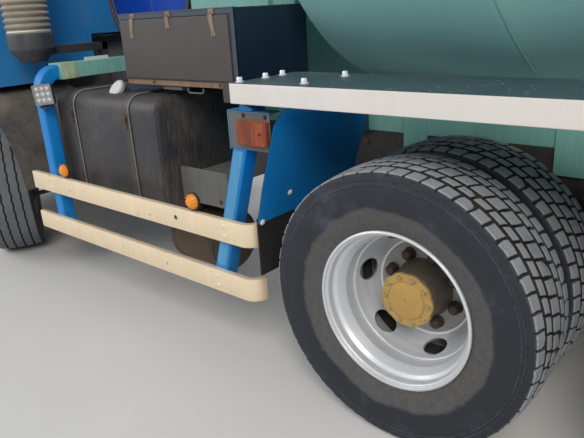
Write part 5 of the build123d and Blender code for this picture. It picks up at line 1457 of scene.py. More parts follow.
@dataclass(frozen=True)
class TyreSide:
    """Tyre rubber whose dirt follows the distance from the wheel's axis."""

    name: str = "tyre side wall"
    slot: str = "tyre_rubber"
    outer: Colour = linear(28, 31, 39)
    inner: Colour = linear(72, 72, 73)
    brown: Colour = linear(86, 83, 79)
    border: float = 0.383

    def material(self) -> bpy.types.Material:
        """Return the rubber's material, building it at first use.

        Returns:
            The material.
        """
        found = bpy.data.materials.get(self.name)
        if found:
            return found
        material, tree, shader = new_material(self.name)
        reach = tree.add("Attribute", attribute_name="reach").outputs["Fac"]
        place = tree.add("TexCoord").outputs["Object"]
        cloud = tree.noise(place, 7.0, 7, 0.62)
        fine = tree.noise(place, 55.0, 5, 0.65)
        ragged = tree.math("MULTIPLY_ADD", tree.math("SUBTRACT", cloud, 0.5), 0.06, reach)
        ragged = tree.math("MULTIPLY_ADD", tree.math("SUBTRACT", fine, 0.5), 0.03, ragged)
        outside = tree.ramp(ragged, self.border - 0.007, self.border + 0.010)
        ring = tree.mix(tree.ramp(fine, 0.35, 0.75), self.inner, self.brown)
        base = tree.mix(outside, ring, self.outer)
        smudge = tree.math("MULTIPLY", tree.ramp(tree.noise(place, 5.2, 6, 0.7), 0.5, 0.8), 0.4)
        base = tree.mix(smudge, base, linear(84, 93, 108))
        spread = tree.add("CombineXYZ")
        tree.put(spread.inputs[0], reach)
        circles = tree.ramp(tree.noise(spread.outputs[0], 420.0, 3, 0.7), 0.56, 0.72)
        faint = tree.math("MULTIPLY", tree.math("MULTIPLY", circles, tree.ramp(cloud, 0.42, 0.6)), outside)
        base = tree.mix(tree.math("MULTIPLY", faint, 0.3), base, linear(84, 92, 106))
        rings = 0.0
        for radius in (0.474, 0.487):
            gap = tree.math("ABSOLUTE", tree.math("SUBTRACT", reach, radius))
            rings = tree.math("ADD", rings, tree.ramp(gap, 0.0016, 0.0004))
        rings = tree.math("MULTIPLY", rings, tree.ramp(fine, 0.4, 0.66), clamp=True)
        base = tree.mix(tree.math("MULTIPLY", rings, 0.45), base, linear(104, 112, 126))
        tree.put(shader.inputs["Base Color"], base)
        tree.put(shader.inputs["Roughness"], tree.math("MULTIPLY_ADD", outside, -0.3, 0.88))
        bump = tree.add("Bump")
        bump.inputs["Strength"].default_value = 0.35
        bump.inputs["Distance"].default_value = 0.002
        tree.put(bump.inputs["Height"], tree.noise(place, 240.0, 4, 0.6))
        tree.put(shader.inputs["Normal"], bump.outputs[0])
        material.diffuse_color = (*self.outer, 1.0)
        return material


TYRE_SIDE = TyreSide()


@dataclass
class TyreSection:
    """Outline that front and rear tyres share."""

    radius: float = 0.530
    bead: float = 0.286
    bead_half: float = 0.119
    half_width: float = 0.1475
    shoulder: float = 0.4985
    tread_half: float = 0.137
    flank: Pair = (0.5105, 0.1448)
    crown_drop: float = 0.0095
    groove: float = 0.0145

    def crown(self, across: float) -> float:
        """Radius of the tread's surface at a distance from the middle plane."""
        return self.radius - self.crown_drop * (across / self.tread_half) ** 2

    def side(self) -> list[Pair]:
        """Side wall from the bead to the shoulder as (radius, height) pairs.

        Returns:
            The pairs, with the raised rings near the shoulder.
        """
        wall = arc((0.3005, 0.121), (0.410, 0.1525), (self.shoulder, self.half_width), 16)
        bead = [(self.bead, self.bead_half - 0.004), (self.bead + 0.004, self.bead_half), (0.2960, 0.1195)]
        raised: list[Pair] = []
        for radius, height in wall:
            raised.append((radius, height))
        ringed = [p for p in raised if p[0] < 0.462]
        ringed += [(0.4700, 0.1517), (0.4715, 0.1530), (0.4765, 0.1528), (0.4780, 0.1512)]
        ringed += [
            (0.4850, 0.1502), (0.4862, 0.1510), (0.4885, 0.1508), (0.4897, 0.1490),
            (self.shoulder, self.half_width)
        ]
        ringed += [(0.5070, 0.1462), self.flank]
        return bead + ringed

    def casing(self, shape: Shape, frame: Matrix) -> None:
        """Draw both side walls and the inside between the beads.

        Args:
            shape: The shape that takes its faces.
            frame: Placement of the tyre, Z along its axis.
        """
        side = self.side()
        inner = [
            (0.30, 0.112), (0.42, 0.138), (0.50, 0.118), (0.505, 0.0), (0.50, -0.118), (0.42, -0.138),
            (0.30, -0.112)
        ]
        shape.use(TYRE_SIDE)
        shape.lathe(side, frame, 144)
        shape.lathe([(r, -h) for r, h in side], frame, 144)
        shape.lathe([side[0], *inner, (side[0][0], -side[0][1])], frame, 72)


@dataclass
class BlockRow:
    """One row of tread blocks."""

    middle: float
    width: float
    phase: float
    slant: float


@dataclass
class DriveTyre:
    """Rear tyre with five rows of slanted blocks."""

    section: TyreSection = field(default_factory=TyreSection)
    pitches: int = 54
    gap: float = 0.0105
    rows: tuple[BlockRow, ...] = (
        BlockRow(0.1195, 0.046, 0.0, 0.16),
        BlockRow(0.0620, 0.031, 0.45, 0.30),
        BlockRow(0.0000, 0.057, 0.05, 0.26),
        BlockRow(-0.0620, 0.031, 0.55, 0.30),
        BlockRow(-0.1195, 0.046, 0.0, 0.16),
    )

    def add(self, shape: Shape, frame: Matrix, seed: int) -> None:
        """Draw one tyre round a frame's Z axis.

        Args:
            shape: The shape that takes its faces.
            frame: Placement of the tyre, Z along its axis.
            seed: Start of its own row of chips and wear.
        """
        cut = self.section
        chance = random.Random(seed)
        cut.casing(shape, frame)
        shape.use(Paintwork.groove)
        floor_line = [cut.flank, (0.5085, 0.1390), (0.5085, 0.128)]
        floor_line += [(cut.crown(y) - cut.groove, y) for y in (0.110, 0.06, 0.0, -0.06, -0.110)]
        floor_line += [(r, -h) for r, h in floor_line[2::-1]]
        shape.lathe(floor_line, frame, 108)
        for row in self.rows:
            for index in range(self.pitches):
                self._block(shape, frame, row, index, chance)

    def _block(self, shape: Shape, frame: Matrix, row: BlockRow, index: int, chance: random.Random) -> None:
        """Draw one tread block.

        Args:
            shape: The shape that takes its faces.
            frame: Placement of the tyre.
            row: The row that it stands in.
            index: Its number in the row.
            chance: Source of its small differences.
        """
        cut = self.section
        pitch = math.tau / self.pitches
        middle = (index + row.phase) * pitch
        half_long = (pitch * cut.radius - self.gap) / 2
        half_wide = row.width / 2
        edge = abs(row.middle) > 0.1
        outward = math.copysign(1.0, row.middle)
        corners = [(-1, -1), (0, -1), (1, -1), (1, 0), (1, 1), (0, 1), (-1, 1), (-1, 0)]
        chipped = chance.choice([0, 2, 4, 6]) if chance.random() < 0.28 else -1
        rings: list[list[bmesh.types.BMVert]] = [[], [], []]
        for number, (along, across) in enumerate(corners):
            wide = across * half_wide + chance.uniform(-0.0012, 0.0012)
            long = along * half_long + chance.uniform(-0.0018, 0.0018)
            pull = 0.80 if number == chipped else 1.0
            sink = chance.uniform(0.002, 0.005) if number == chipped else chance.uniform(0.0, 0.0006)
            outer = edge and across * outward > 0
            for ring, (inset, drop, flare) in enumerate(
                ((0.0, cut.groove + 0.003, 0.0022), (0.0, 0.0022, 0.0), (0.0022, 0.0, 0.0))
            ):
                trim = (half_wide - inset + flare) / half_wide
                reach = (half_long - inset + flare) / half_long
                y = row.middle + wide * trim * pull
                angle = middle + (long * reach * pull + row.slant * wide) / cut.radius
                radius = cut.crown(min(abs(y), cut.tread_half)) - drop - (sink if ring else 0)
                if outer and ring == 0:
                    y, radius = math.copysign(cut.flank[1] + 0.0003, row.middle), cut.flank[0] - 0.001
                elif outer and ring == 1:
                    y = math.copysign(cut.tread_half + 0.0052, row.middle)
                    radius -= 0.0025
                rings[ring].append(
                    shape.point(frame, (radius * math.cos(angle), radius * math.sin(angle), y))
                )
        shape.use(Paintwork.groove)
        if edge:
            shape.use(Paintwork.tread_side)
        shape.join(rings[0], rings[1], True)
        shape.use(Paintwork.tread)
        shape.join(rings[1], rings[2], True)
        angle = middle
        top = cut.crown(row.middle)
        centre = shape.point(frame, (top * math.cos(angle), top * math.sin(angle), row.middle))
        ring = rings[2]
        for number, corner in enumerate(ring):
            shape.face([corner, ring[(number + 1) % len(ring)], centre])


@dataclass
class SteerTyre:
    """Front tyre with five ribs between zigzag grooves."""

    section: TyreSection = field(default_factory=TyreSection)
    grooves: tuple[float, ...] = (-0.088, -0.031, 0.031, 0.088)
    groove_half: float = 0.0055
    swing: float = 0.0028
    teeth: int = 48

    def add(self, shape: Shape, frame: Matrix) -> None:
        """Draw one tyre round a frame's Z axis.

        Args:
            shape: The shape that takes its faces.
            frame: Placement of the tyre, Z along its axis.
        """
        cut = self.section
        cut.casing(shape, frame)
        segments = self.teeth * 4
        shape.use(Paintwork.tread_side)
        for sign in (1, -1):
            flank = [
                (cut.flank[0], cut.flank[1] * sign), (0.516, 0.1425 * sign), (cut.crown(0.137), 0.1370 * sign)
            ]
            shape.lathe(flank, frame, segments)
        edges = [-cut.tread_half]
        for place in self.grooves:
            edges += [place - self.groove_half, place + self.groove_half]
        edges.append(cut.tread_half)
        turns = [math.tau * i / segments for i in range(segments)]

        def row(across: float, depth: float, wave: float) -> list[bmesh.types.BMVert]:
            """Ring of vertices that swings from side to side."""
            verts = []
            for number, turn in enumerate(turns):
                sway = (0, 1, 0, -1)[number % 4] * wave
                radius = cut.crown(across) - depth
                verts.append(
                    shape.point(frame, (radius * math.cos(turn), radius * math.sin(turn), across + sway))
                )
            return verts

        for number in range(0, len(edges), 2):
            start, end = edges[number], edges[number + 1]
            first_wave = 0.0 if number == 0 else self.swing
            last_wave = 0.0 if number == len(edges) - 2 else self.swing
            shape.use(Paintwork.rib)
            rows = [
                row(start, 0, first_wave), row(start + 0.004, -0.0, first_wave), row((start + end) / 2, 0, 0)
            ]
            rows += [row(end - 0.004, 0, last_wave), row(end, 0, last_wave)]
            for first, second in zip(rows, rows[1:]):
                shape.join(first, second, True)
            if number < len(edges) - 2:
                shape.use(Paintwork.groove)
                following = edges[number + 2]
                low = [
                    row(end + 0.001, cut.groove, self.swing), row(following - 0.001, cut.groove, self.swing)
                ]
                shape.join(rows[-1], low[0], True)
                shape.join(low[0], low[1], True)
                shape.join(low[1], row(following, 0, self.swing), True)


def mark_reach(piece: bpy.types.Object, frame: Matrix) -> None:
    """Store each vertex's distance from a wheel's axis for its finish.

    Args:
        piece: The tyre.
        frame: Placement of the wheel, Z along its axis.
    """
    back = frame.inverted()
    values = [(back @ vertex.co).to_2d().length for vertex in piece.data.vertices]
    attribute = piece.data.attributes.new("reach", "FLOAT", "POINT")
    attribute.data.foreach_set("value", values)


@dataclass(frozen=True)
class DiscFace:
    """Pressed face of a disc wheel as (radius, height) pairs, with its row of oval hand holes."""

    line: tuple[Pair, ...]
    hole: Pair
    slope: Pair
    half: Pair
    level_to: float = 0.1905


@dataclass
class Wheel:
    """Steel disc wheel on its hub, for a pair of rear tyres or one front tyre."""

    rim_line: tuple[Pair, ...] = (
        (0.2985, 0.1320), (0.2985, 0.1235), (0.2857, 0.1200), (0.2857, 0.0890), (0.2720, 0.0770),
        (0.2560, 0.0400), (0.2560, -0.0280), (0.2720, -0.0770), (0.2857, -0.0890), (0.2857, -0.1200),
        (0.2985, -0.1235), (0.2985, -0.1320),
    )
    wall: float = 0.009
    spacing: float = 0.175
    holes: int = 6
    first_hole: float = math.radians(-10)
    studs: int = 8
    first_stud: float = math.radians(-19)
    stud_ring: float = 0.1425

    def rim(self, shape: Shape, frame: Matrix) -> None:
        """Draw one rim with its rolled lips.

        Args:
            shape: The shape that takes its faces.
            frame: Placement, Z along the axis at the rim's middle.
        """
        shape.use(Paintwork.rim)
        line = rounded(list(self.rim_line), 0.012, 4)
        shape.lathe(thick(line[::-1], -self.wall * 0.8), frame, 96, True)
        for sign in (1, -1):
            lip = [(0.2985 + 0.0045 * math.cos(t), (0.1300 + 0.0045 * math.sin(t)) * sign) for t in
                   (math.tau * i / 10 for i in range(10))]
            shape.lathe(lip, frame, 96, True)
        bead = [(0.2975, 0.1255), (0.2995, 0.1255), (0.2995, 0.1215), (0.2975, 0.1215)]
        shape.lathe(bead, frame, 96, True)

    def disc(self, face: DiscFace, frame: Matrix) -> Shape:
        """Draw one disc with its hand holes.

        Args:
            face: The disc's outer face and its holes.
            frame: Placement, Z outwards along the axis.

        Returns:
            The disc as a shape of its own.
        """
        line = rounded(list(face.line), 0.006, 4)
        outline = thick(line, -self.wall)
        level = max(index for index, (radius, _) in enumerate(line) if radius <= face.level_to)
        disc = Shape(Paintwork.rim_well, Paintwork.rim)
        disc.lathe(outline[: level + 1], frame, 120)
        disc.use(Paintwork.rim).lathe(outline[level : len(line)], frame, 120)
        # The disc's back face takes the near-black painted shade.
        disc.use(Paintwork.shaded_wheel_back).lathe(outline[len(line) - 1 :] + outline[:1], frame, 120)
        tools = Shape(Paintwork.rim)
        radius, height = face.hole
        up, out = face.slope
        tilt = frame_at((radius, 0, height), (-out, 0, up), (up, 0, out))
        for index in range(self.holes):
            turn = self.first_hole + math.tau * index / self.holes
            spot = frame @ Matrix.Rotation(turn, 4, "Z") @ tilt
            oval = [
                (face.half[0] * math.cos(math.tau * i / 36), face.half[1] * math.sin(math.tau * i / 36))
                for i in range(36)
            ]
            tools.prism(oval, -0.03, 0.03, spot)
        return disc.cut(tools)

    def seam(self, shape: Shape, frame: Matrix, radius: float, height: float) -> None:
        """Draw the weld bead between a disc and its rim.

        Args:
            shape: The shape that takes its faces.
            frame: Placement, Z outwards along the axis.
            radius: Radius of the bead's middle.
            height: Height of the bead's middle.
        """
        shape.use(Paintwork.rim)
        bead = [
            (radius + 0.0048 * math.cos(math.tau * i / 10), height + 0.0048 * math.sin(math.tau * i / 10))
            for i in range(10)
        ]
        shape.lathe(bead, frame, 120, True)

    def nuts(self, shape: Shape, frame: Matrix, base: float) -> None:
        """Draw the ring of sleeve nuts with their stud ends.

        Args:
            shape: The shape that takes their faces.
            frame: Placement, Z outwards along the axis.
            base: Height of the disc face that they press on.
        """
        for index in range(self.studs):
            turn = self.first_stud + math.tau * index / self.studs
            spot = frame @ Matrix.Rotation(turn, 4, "Z") @ Matrix.Translation((self.stud_ring, 0, base))
            shape.use(Paintwork.nut_dark)
            shape.lathe(
                [(0.012, 0), (0.0255, 0), (0.0255, 0.004), (0.022, 0.007), (0.012, 0.007)], spot, 28, True
            )
            sleeve = [
                (0.0, 0.006), (0.0215, 0.006), (0.0215, 0.030), (0.0195, 0.0335), (0.0165, 0.0345),
                (0.0150, 0.033)
            ]
            shape.lathe(sleeve + [(0.0, 0.033)], spot, 28)
            hexagon = [(0.0, 0.006), (0.0240, 0.006), (0.0240, 0.021), (0.0222, 0.0235), (0, 0.0235)]
            shape.lathe(hexagon, spot, 6)
            shape.use(Paintwork.nut)
            shape.lathe(
                [(0.0, 0.033), (0.0132, 0.033), (0.0132, 0.0355), (0.0118, 0.0372), (0, 0.0372)], spot, 20
            )
            shape.lathe([(0.0, 0.0372), (0.0045, 0.0372), (0.0040, 0.0380), (0, 0.0380)], spot, 6)

    def hub(self, shape: Shape, frame: Matrix, face: float, flange: float) -> None:
        """Draw the hub barrel and its bolted cap.

        Args:
            shape: The shape that takes its faces.
            frame: Placement, Z outwards along the axis.
            face: Height of the cap's outer face.
            flange: Height where the barrel stands out of the disc.
        """
        shape.use(Paintwork.hub_barrel)
        barrel = [
            (0, flange - 0.03), (0.119, flange - 0.03), (0.119, flange + 0.003), (0.1155, flange + 0.006)
        ]
        barrel += [
            (0.1095, flange + 0.024), (0.1050, flange + 0.050), (0.1045, face - 0.016), (0.099, face - 0.012)
        ]
        shape.lathe(rounded([*barrel, (0, face - 0.012)], 0.005, 3), frame, 80)
        for index in range(5):
            turn = math.tau * index / 5 + 0.3
            spot = frame @ Matrix.Rotation(turn, 4, "Z") @ Matrix.Translation(
                (0.1045, 0, (flange + face) / 2 + 0.012)
            )
            shape.block((-0.004, -0.010, -0.040), (0.0028, 0.010, 0.040), spot)
        shape.use(Paintwork.hub_gold)
        count = 10
        rim = []
        for step in range(160):
            turn = math.tau * step / 160
            lobe = 0.5 + 0.5 * math.cos(turn * count)
            radius = 0.1040 + 0.0042 * lobe**0.7
            rim.append((radius * math.cos(turn), radius * math.sin(turn)))
        shape.prism(rim, face - 0.012, face - 0.0015, frame)
        inset = [(x * 0.985, y * 0.985) for x, y in rim]
        shape.prism(inset, face - 0.0016, face, frame)
        plate = [
            (0.0, 0.0006), (0.0040, 0.0006), (0.0046, 0.0036), (0.0690, 0.0042), (0.0722, 0.0030),
            (0.0730, 0.0)
        ]
        shape.lathe([(r, face + h) for r, h in plate], frame, 96)
        shape.lathe(
            [
                (0.0752, face - 0.001), (0.0752, face + 0.0016), (0.0768, face + 0.0016),
                (0.0772, face - 0.001)
            ],
            frame, 96
        )
        for index in range(count):
            turn = math.tau * index / count
            spot = frame @ Matrix.Rotation(turn, 4, "Z") @ Matrix.Translation((0.0905, 0, face))
            shape.use(Paintwork.cap_bolt)
            shape.lathe([(0.0, 0.0), (0.0108, 0.0), (0.0108, 0.002), (0.0, 0.002)], spot, 20)
            shape.lathe(
                [(0.0, 0.0018), (0.0088, 0.0018), (0.0088, 0.0070), (0.0075, 0.0086), (0.0, 0.0086)], spot, 6
            )


DISC_DISH = (
    (0.105, 0.056), (0.1840, 0.056), (0.1890, 0.0515), (0.1980, 0.0550), (0.2120, 0.0750), (0.2280, 0.1040),
    (0.2425, 0.1400),
)
DISC_HOLES = ((0.228, 0.103), (0.42, 0.908), (0.0410, 0.0510))


@dataclass
class RearWheels:
    """The four pairs of rear tyres with their wheels and hubs."""

    wheel: Wheel = field(default_factory=Wheel)
    tyre: DriveTyre = field(default_factory=DriveTyre)
    track: float = 0.914
    outer_disc: DiscFace = DiscFace((*DISC_DISH, (0.2480, 0.1600)), *DISC_HOLES)
    inner_disc: DiscFace = DiscFace((*DISC_DISH, (0.2470, 0.1560), (0.2485, 0.1810)), *DISC_HOLES)

    def build(self) -> None:
        """Build every pair."""
        places = (
            ("front_left", MID_X, 1), ("front_right", MID_X, -1), ("back_left", BACK_X, 1),
            ("back_right", BACK_X, -1)
        )
        for number, (name, x, side) in enumerate(places):
            self._pair(name, x, side, number)

    def _pair(self, name: str, x: float, side: int, number: int) -> None:
        """Build one pair of tyres with its wheels.

        Args:
            name: Name of the corner.
            x: Station of the axle.
            side: 1 on the left, -1 on the right.
            number: Number of the pair, which seeds its wear.
        """
        middle = (x, self.track * side, AXLE_Z)
        outward = (0, side, 0)
        frame = frame_at(middle, outward, (1, 0, 0))
        body = "duals_" + name
        tyres = Shape(TYRE_SIDE)
        for index, offset in enumerate((self.wheel.spacing, -self.wheel.spacing)):
            turned = frame @ Matrix.Translation((0, 0, offset)) @ Matrix.Rotation(
                0.37 * number + 1.1 * index, 4, "Z"
            )
            self.tyre.add(tyres, turned, 40 + number * 2 + index)
        piece = tyres.make("tread_tyres_" + name, body, ("dual_tyres_" + name,), 40)
        mark_reach(piece, frame)
        rims = Shape(Paintwork.rim)
        for offset in (self.wheel.spacing, -self.wheel.spacing):
            self.wheel.rim(rims, frame @ Matrix.Translation((0, 0, offset)))
        self.wheel.seam(rims, frame, 0.2518, 0.1625)
        self.wheel.seam(rims, frame, 0.2518, -0.1400)
        rims.make("rims_" + name, body, ("dual_wheel_" + name,), 40)
        for label, placed, face in (
            ("outer", frame, self.outer_disc),
            (
                "inner", frame @ Matrix.Translation((0, 0, 0.043)) @ Matrix.Rotation(math.pi, 4, "X"),
                self.inner_disc
            ),
        ):
            self.wheel.disc(face, placed).make(f"disc_{label}_{name}", body, (), 40)
        hub = Shape(Paintwork.hub_barrel)
        self.wheel.hub(hub, frame, 0.196, 0.056)
        # The brake drum behind the hub is near black: painted shade.
        hub.use(Paintwork.shaded_wheel_back)
        drum = [
            (0.0583, -0.310), (0.182, -0.310), (0.182, -0.040), (0.190, -0.020), (0.190, 0.046),
            (0.0583, 0.046)
        ]
        hub.lathe(rounded(drum, 0.006, 2), frame, 64)
        self.wheel.nuts(hub, frame, 0.056)
        hub.make("hub_" + name, body, (), 38)


@dataclass
class FrontWheels:
    """The two steered wheels with their tyres and hubs."""

    wheel: Wheel = field(default_factory=Wheel)
    tyre: SteerTyre = field(default_factory=SteerTyre)
    king_y: float = 0.900
    offset: float = 0.140
    face: DiscFace = DiscFace(
        (
            (0.105, 0.109), (0.1840, 0.109), (0.1890, 0.1040), (0.2270, 0.0630), (0.2440, 0.0437),
            (0.2490, 0.0380)
        ),
        (0.227, 0.063), (0.66, -0.75), (0.029, 0.045),
    )

    def build(self) -> None:
        """Build both wheels as they stand, steered to the right."""
        for name, side in (("left", 1), ("right", -1)):
            axis = Vector((-math.sin(STEER_REST), math.cos(STEER_REST), 0)) * side
            middle = Vector((FRONT_X, self.king_y * side, AXLE_Z)) + axis * self.offset
            frame = frame_at(tuple(middle), tuple(axis), (1, 0, 0))
            body = "wheel_front_" + name
            tyre = Shape(TYRE_SIDE)
            self.tyre.add(tyre, frame)
            piece = tyre.make("rib_tyre_" + name, body, ("front_tyre_" + name,), 40)
            mark_reach(piece, frame)
            rim = Shape(Paintwork.rim)
            self.wheel.rim(rim, frame)
            self.wheel.seam(rim, frame, 0.2518, 0.0355)
            rim.make("front_rim_" + name, body, ("front_wheel_" + name,), 40)
            disc = self.wheel.disc(self.face, frame)
            disc.make("front_disc_" + name, body, (), 40)
            hub = Shape(Paintwork.hub_barrel)
            hub.use(Paintwork.hub_barrel)
            face = [
                (0.0, 0.150), (0.05, 0.150), (0.078, 0.146), (0.084, 0.140), (0.088, 0.120), (0.114, 0.114),
                (0.118, 0.100)
            ]
            hub.lathe(rounded(face + [(0.0, 0.100)], 0.006, 3), frame, 72)
            hub.use(Paintwork.cap_bolt)
            for index in range(6):
                turn = math.tau * index / 6
                spot = frame @ Matrix.Rotation(turn, 4, "Z") @ Vector((0.066, 0, 0.148))
                hub.bolt(tuple(spot), tuple(axis), 0.013, 0.007)
            self.wheel.nuts(hub, frame, 0.109)
            # The brake drum behind the hub is near black: painted shade.
            hub.use(Paintwork.shaded_wheel_back)
            brake = [(0.040, -0.100), (0.182, -0.100), (0.182, 0.060), (0.182, 0.099), (0.040, 0.099)]
            hub.lathe(rounded(brake, 0.008, 2), frame, 64)
            hub.make("front_hub_" + name, body, (), 38)


# ---------------------------------------------------------------------- mixer drum


@dataclass
class MixerDrum:
    """The tilted drum with its weld seams, running ring, drive and rollers."""

    middle: Point = (MID_X, 0.0, 2.185)
    tilt: float = math.radians(13)
    shell: tuple[Pair, ...] = ((-0.045, 1.150), (-0.950, 1.150), (-2.700, 0.590))
    wall: float = 0.008
    ring_place: float = -1.950
    ring_radius: float = 0.865
    roller_radius: float = 0.125
    roller_reach: float = 0.991
    roller_angle: float = math.radians(32)

    def frame(self) -> Matrix:
        """Placement with Z along the drum's axis towards the cab."""
        return frame_at(self.middle, (math.cos(self.tilt), 0, -math.sin(self.tilt)), (0, 1, 0))

    def build(self) -> None:
        """Build the drum, what turns it and what carries it."""
        self._shell()
        self._seams()
        self._ring()
        self._drive()
        self._rollers()

    def _outline(self) -> list[Pair]:
        """Outer face as (radius, place along the axis) pairs, from the front to the mouth."""
        head = [(0.0, 1.030), (0.190, 1.030), (0.190, 1.002)]
        dome = arc((0.190, 1.002), (0.5146, 0.9708), (0.830, 0.870), 14)
        body = [(0.830, 0.870), *((r, s) for s, r in self.shell)]
        return head[:2] + dome + rounded(body, 0.09, 6)[1:]

    def _shell(self) -> None:
        """Draw the shell with the mixing blades inside."""
        shape = Shape(Paintwork.drum)
        outline = self._outline()
        inner = [
            (max(0.0, r - self.wall), s - (self.wall if r < 0.84 and s > 0.5 else 0))
            for r, s in outline
        ]
        shape.lathe(outline, self.frame(), 160)
        shape.lathe([outline[-1], inner[-1]], self.frame(), 160)
        shape.lathe(inner[1:], self.frame(), 160)
        for start in (0.0, math.pi):
            self._blade(shape, start)
        shape.make("drum_shell", "drum_body", ("drum", "drum_cone"), 30)

    def _blade(self, shape: Shape, start: float) -> None:
        """Draw one spiral mixing blade.

        Args:
            shape: The shape that takes its faces.
            start: Angle where it starts at the mouth.
        """
        outer, inner = [], []
        frame = self.frame()
        steps = 150
        for step in range(steps + 1):
            share = step / steps
            place = -2.640 + 2.2 * share
            wall = self._radius_at(place) - self.wall - 0.001
            depth = 0.10 + 0.16 * min(1.0, share * 4)
            turn = start + share * 3.6 * math.pi
            for row, radius in ((outer, wall), (inner, wall - depth)):
                row.append(shape.point(frame, (radius * math.cos(turn), radius * math.sin(turn), place)))
        shape.join(outer, inner, False)

    def _radius_at(self, place: float) -> float:
        """Outer radius at a place along the axis."""
        (end_s, end_r), (cone_s, cone_r) = self.shell[2], self.shell[1]
        if place >= cone_s:
            return cone_r
        return end_r + (place - end_s) / (cone_s - end_s) * (cone_r - end_r)

    def _seams(self) -> None:
        """Draw the ring and lengthways weld beads and the mouth's rim."""
        shape = Shape(Paintwork.weld)
        frame = self.frame()
        bead = [(0.0045 * math.cos(math.tau * i / 8), 0.0045 * math.sin(math.tau * i / 8)) for i in range(8)]
        for place in (-0.06, -0.94, 0.868, -1.80):
            radius = self._radius_at(place) if place < 0.5 else 0.8305
            if place == -0.06:
                radius = 1.1485
            shape.lathe([(radius + x, place + y) for x, y in bead], frame, 160, True)
        for start, end, turn in (
            ((-0.06, 1.1485), (-0.94, 1.1485), 36), ((-0.94, 1.148), (-2.68, 0.5965), 45),
            ((0.862, 0.834), (-0.03, 1.1455), 20)
        ):
            for extra in (0, 180):
                angle = math.radians(180 + turn + extra)
                path = []
                for step in range(9):
                    share = step / 8
                    place = start[0] + (end[0] - start[0]) * share
                    radius = start[1] + (end[1] - start[1]) * share
                    path.append(
                        tuple(frame @ Vector((radius * math.cos(angle), radius * math.sin(angle), place)))
                    )
                shape.tube(path, 0.0045, 8)
        shape.use(Paintwork.drum)
        rim = rounded([(0.584, -2.700), (0.612, -2.700), (0.612, -2.676), (0.584, -2.676)], 0.006, 2, True)
        shape.lathe(rim, frame, 144, True)
        for index in range(3):
            turn = math.tau * index / 3 + 0.5
            spot = frame @ Matrix.Rotation(turn, 4, "Z") @ Matrix.Translation((1.150, 0, -0.5))
            shape.block((-0.004, -0.13, -0.17), (0.008, 0.13, 0.17), spot)
            for across in (-0.1, 0.1):
                for along in (-0.14, 0.0, 0.14):
                    place = spot @ Vector((0.008, across, along))
                    outward = spot.to_3x3() @ Vector((1, 0, 0))
                    shape.bolt(tuple(place), tuple(outward), 0.024, 0.010)
        shape.make("drum_seams", "drum_body", (), 35)

    def _ring(self) -> None:
        """Draw the running ring that the rollers carry."""
        shape = Shape(Paintwork.roller)
        outline = rounded(
            [(0.838, -0.045), (self.ring_radius, -0.045), (self.ring_radius, 0.045), (0.838, 0.045)], 0.006,
            3, True
        )
        shape.lathe([(r, s + self.ring_place) for r, s in outline], self.frame(), 160, True)
        shape.use(Paintwork.drum)
        for index in range(24):
            turn = math.tau * index / 24
            spot = self.frame() @ Matrix.Rotation(turn, 4, "Z") @ Matrix.Translation(
                (0.836, 0, self.ring_place)
            )
            shape.block((-0.012, -0.006, -0.09), (0.004, 0.006, -0.046), spot)
            shape.block((-0.022, -0.006, 0.046), (0.004, 0.006, 0.07), spot)
        shape.make("running_ring", "drum_body", (), 35)

    def _drive(self) -> None:
        """Draw the flange, gearbox and motor in front of the drum."""
        frame = self.frame()
        shape = Shape(Paintwork.drivetrain)
        outline = [
            (0.0, 1.034), (0.150, 1.034), (0.150, 1.092), (0.170, 1.094), (0.170, 1.200), (0.160, 1.206),
            (0.160, 1.235), (0.170, 1.240), (0.170, 1.355), (0.150, 1.362), (0.110, 1.364), (0.110, 1.480),
            (0.098, 1.492), (0.070, 1.494), (0.070, 1.660), (0.060, 1.672), (0.0, 1.672),
        ]
        shape.lathe(rounded(outline, 0.006, 2), frame, 72)
        for radius, place, count, size in (
            (0.157, 1.100, 16, 0.022), (0.125, 1.370, 12, 0.018), (0.080, 1.500, 8, 0.016)
        ):
            for index in range(count):
                turn = math.tau * index / count
                spot = frame @ Vector((radius * math.cos(turn), radius * math.sin(turn), place - 0.008))
                axis = frame.to_3x3() @ Vector((0, 0, 1))
                shape.bolt(tuple(spot), tuple(axis), size, 0.009, False)
        for index in range(18):
            spot = frame @ Matrix.Rotation(
                math.tau * index / 18, 4, "Z"
            ) @ Matrix.Translation((0.1655, 0, 1.3))
            shape.block((0.0, -0.004, -0.05), (0.0045, 0.004, 0.05), spot)
        shape.make("drum_gearbox", "truck", ("drum_drive",), 35)

    def _rollers(self) -> None:
        """Draw the two rollers under the running ring."""
        frame = self.frame()
        for name, side in (("left", 1), ("right", -1)):
            down = frame.to_3x3().inverted() @ Vector((0, 0, -1))
            across = frame.to_3x3().inverted() @ Vector((0, side, 0))
            aim = down.xy.normalized() * math.cos(
                self.roller_angle
            ) + across.xy.normalized() * math.sin(self.roller_angle)
            middle = frame @ Vector((aim.x * self.roller_reach, aim.y * self.roller_reach, self.ring_place))
            spot = Matrix.Translation(middle) @ frame.to_3x3().to_4x4()
            shape = Shape(Paintwork.roller)
            half = 0.060
            outline = [
                (0.032, -half), (0.118, -half), (self.roller_radius, -half + 0.008),
                (self.roller_radius, half - 0.008)
            ]
            outline += [
                (0.118, half), (0.096, half), (0.090, half - 0.014), (0.052, half - 0.014), (0.046, half),
                (0.032, half)
            ]
            shape.lathe(rounded(outline, 0.003, 2), spot, 72)
            shape.lathe([(0.032, -half), (0.032, half)], spot, 72)
            shape.make("ring_roller_" + name, "roller_" + name, ("drum_roller_" + name,), 35)


# ------------------------------------------------------------- side guards and lamps


def box_corners(low: Pair, high: Pair) -> list[Pair]:
    """Corners of a rectangle between its lowest and highest corner."""
    return [low, (high[0], low[1]), high, (low[0], high[1])]


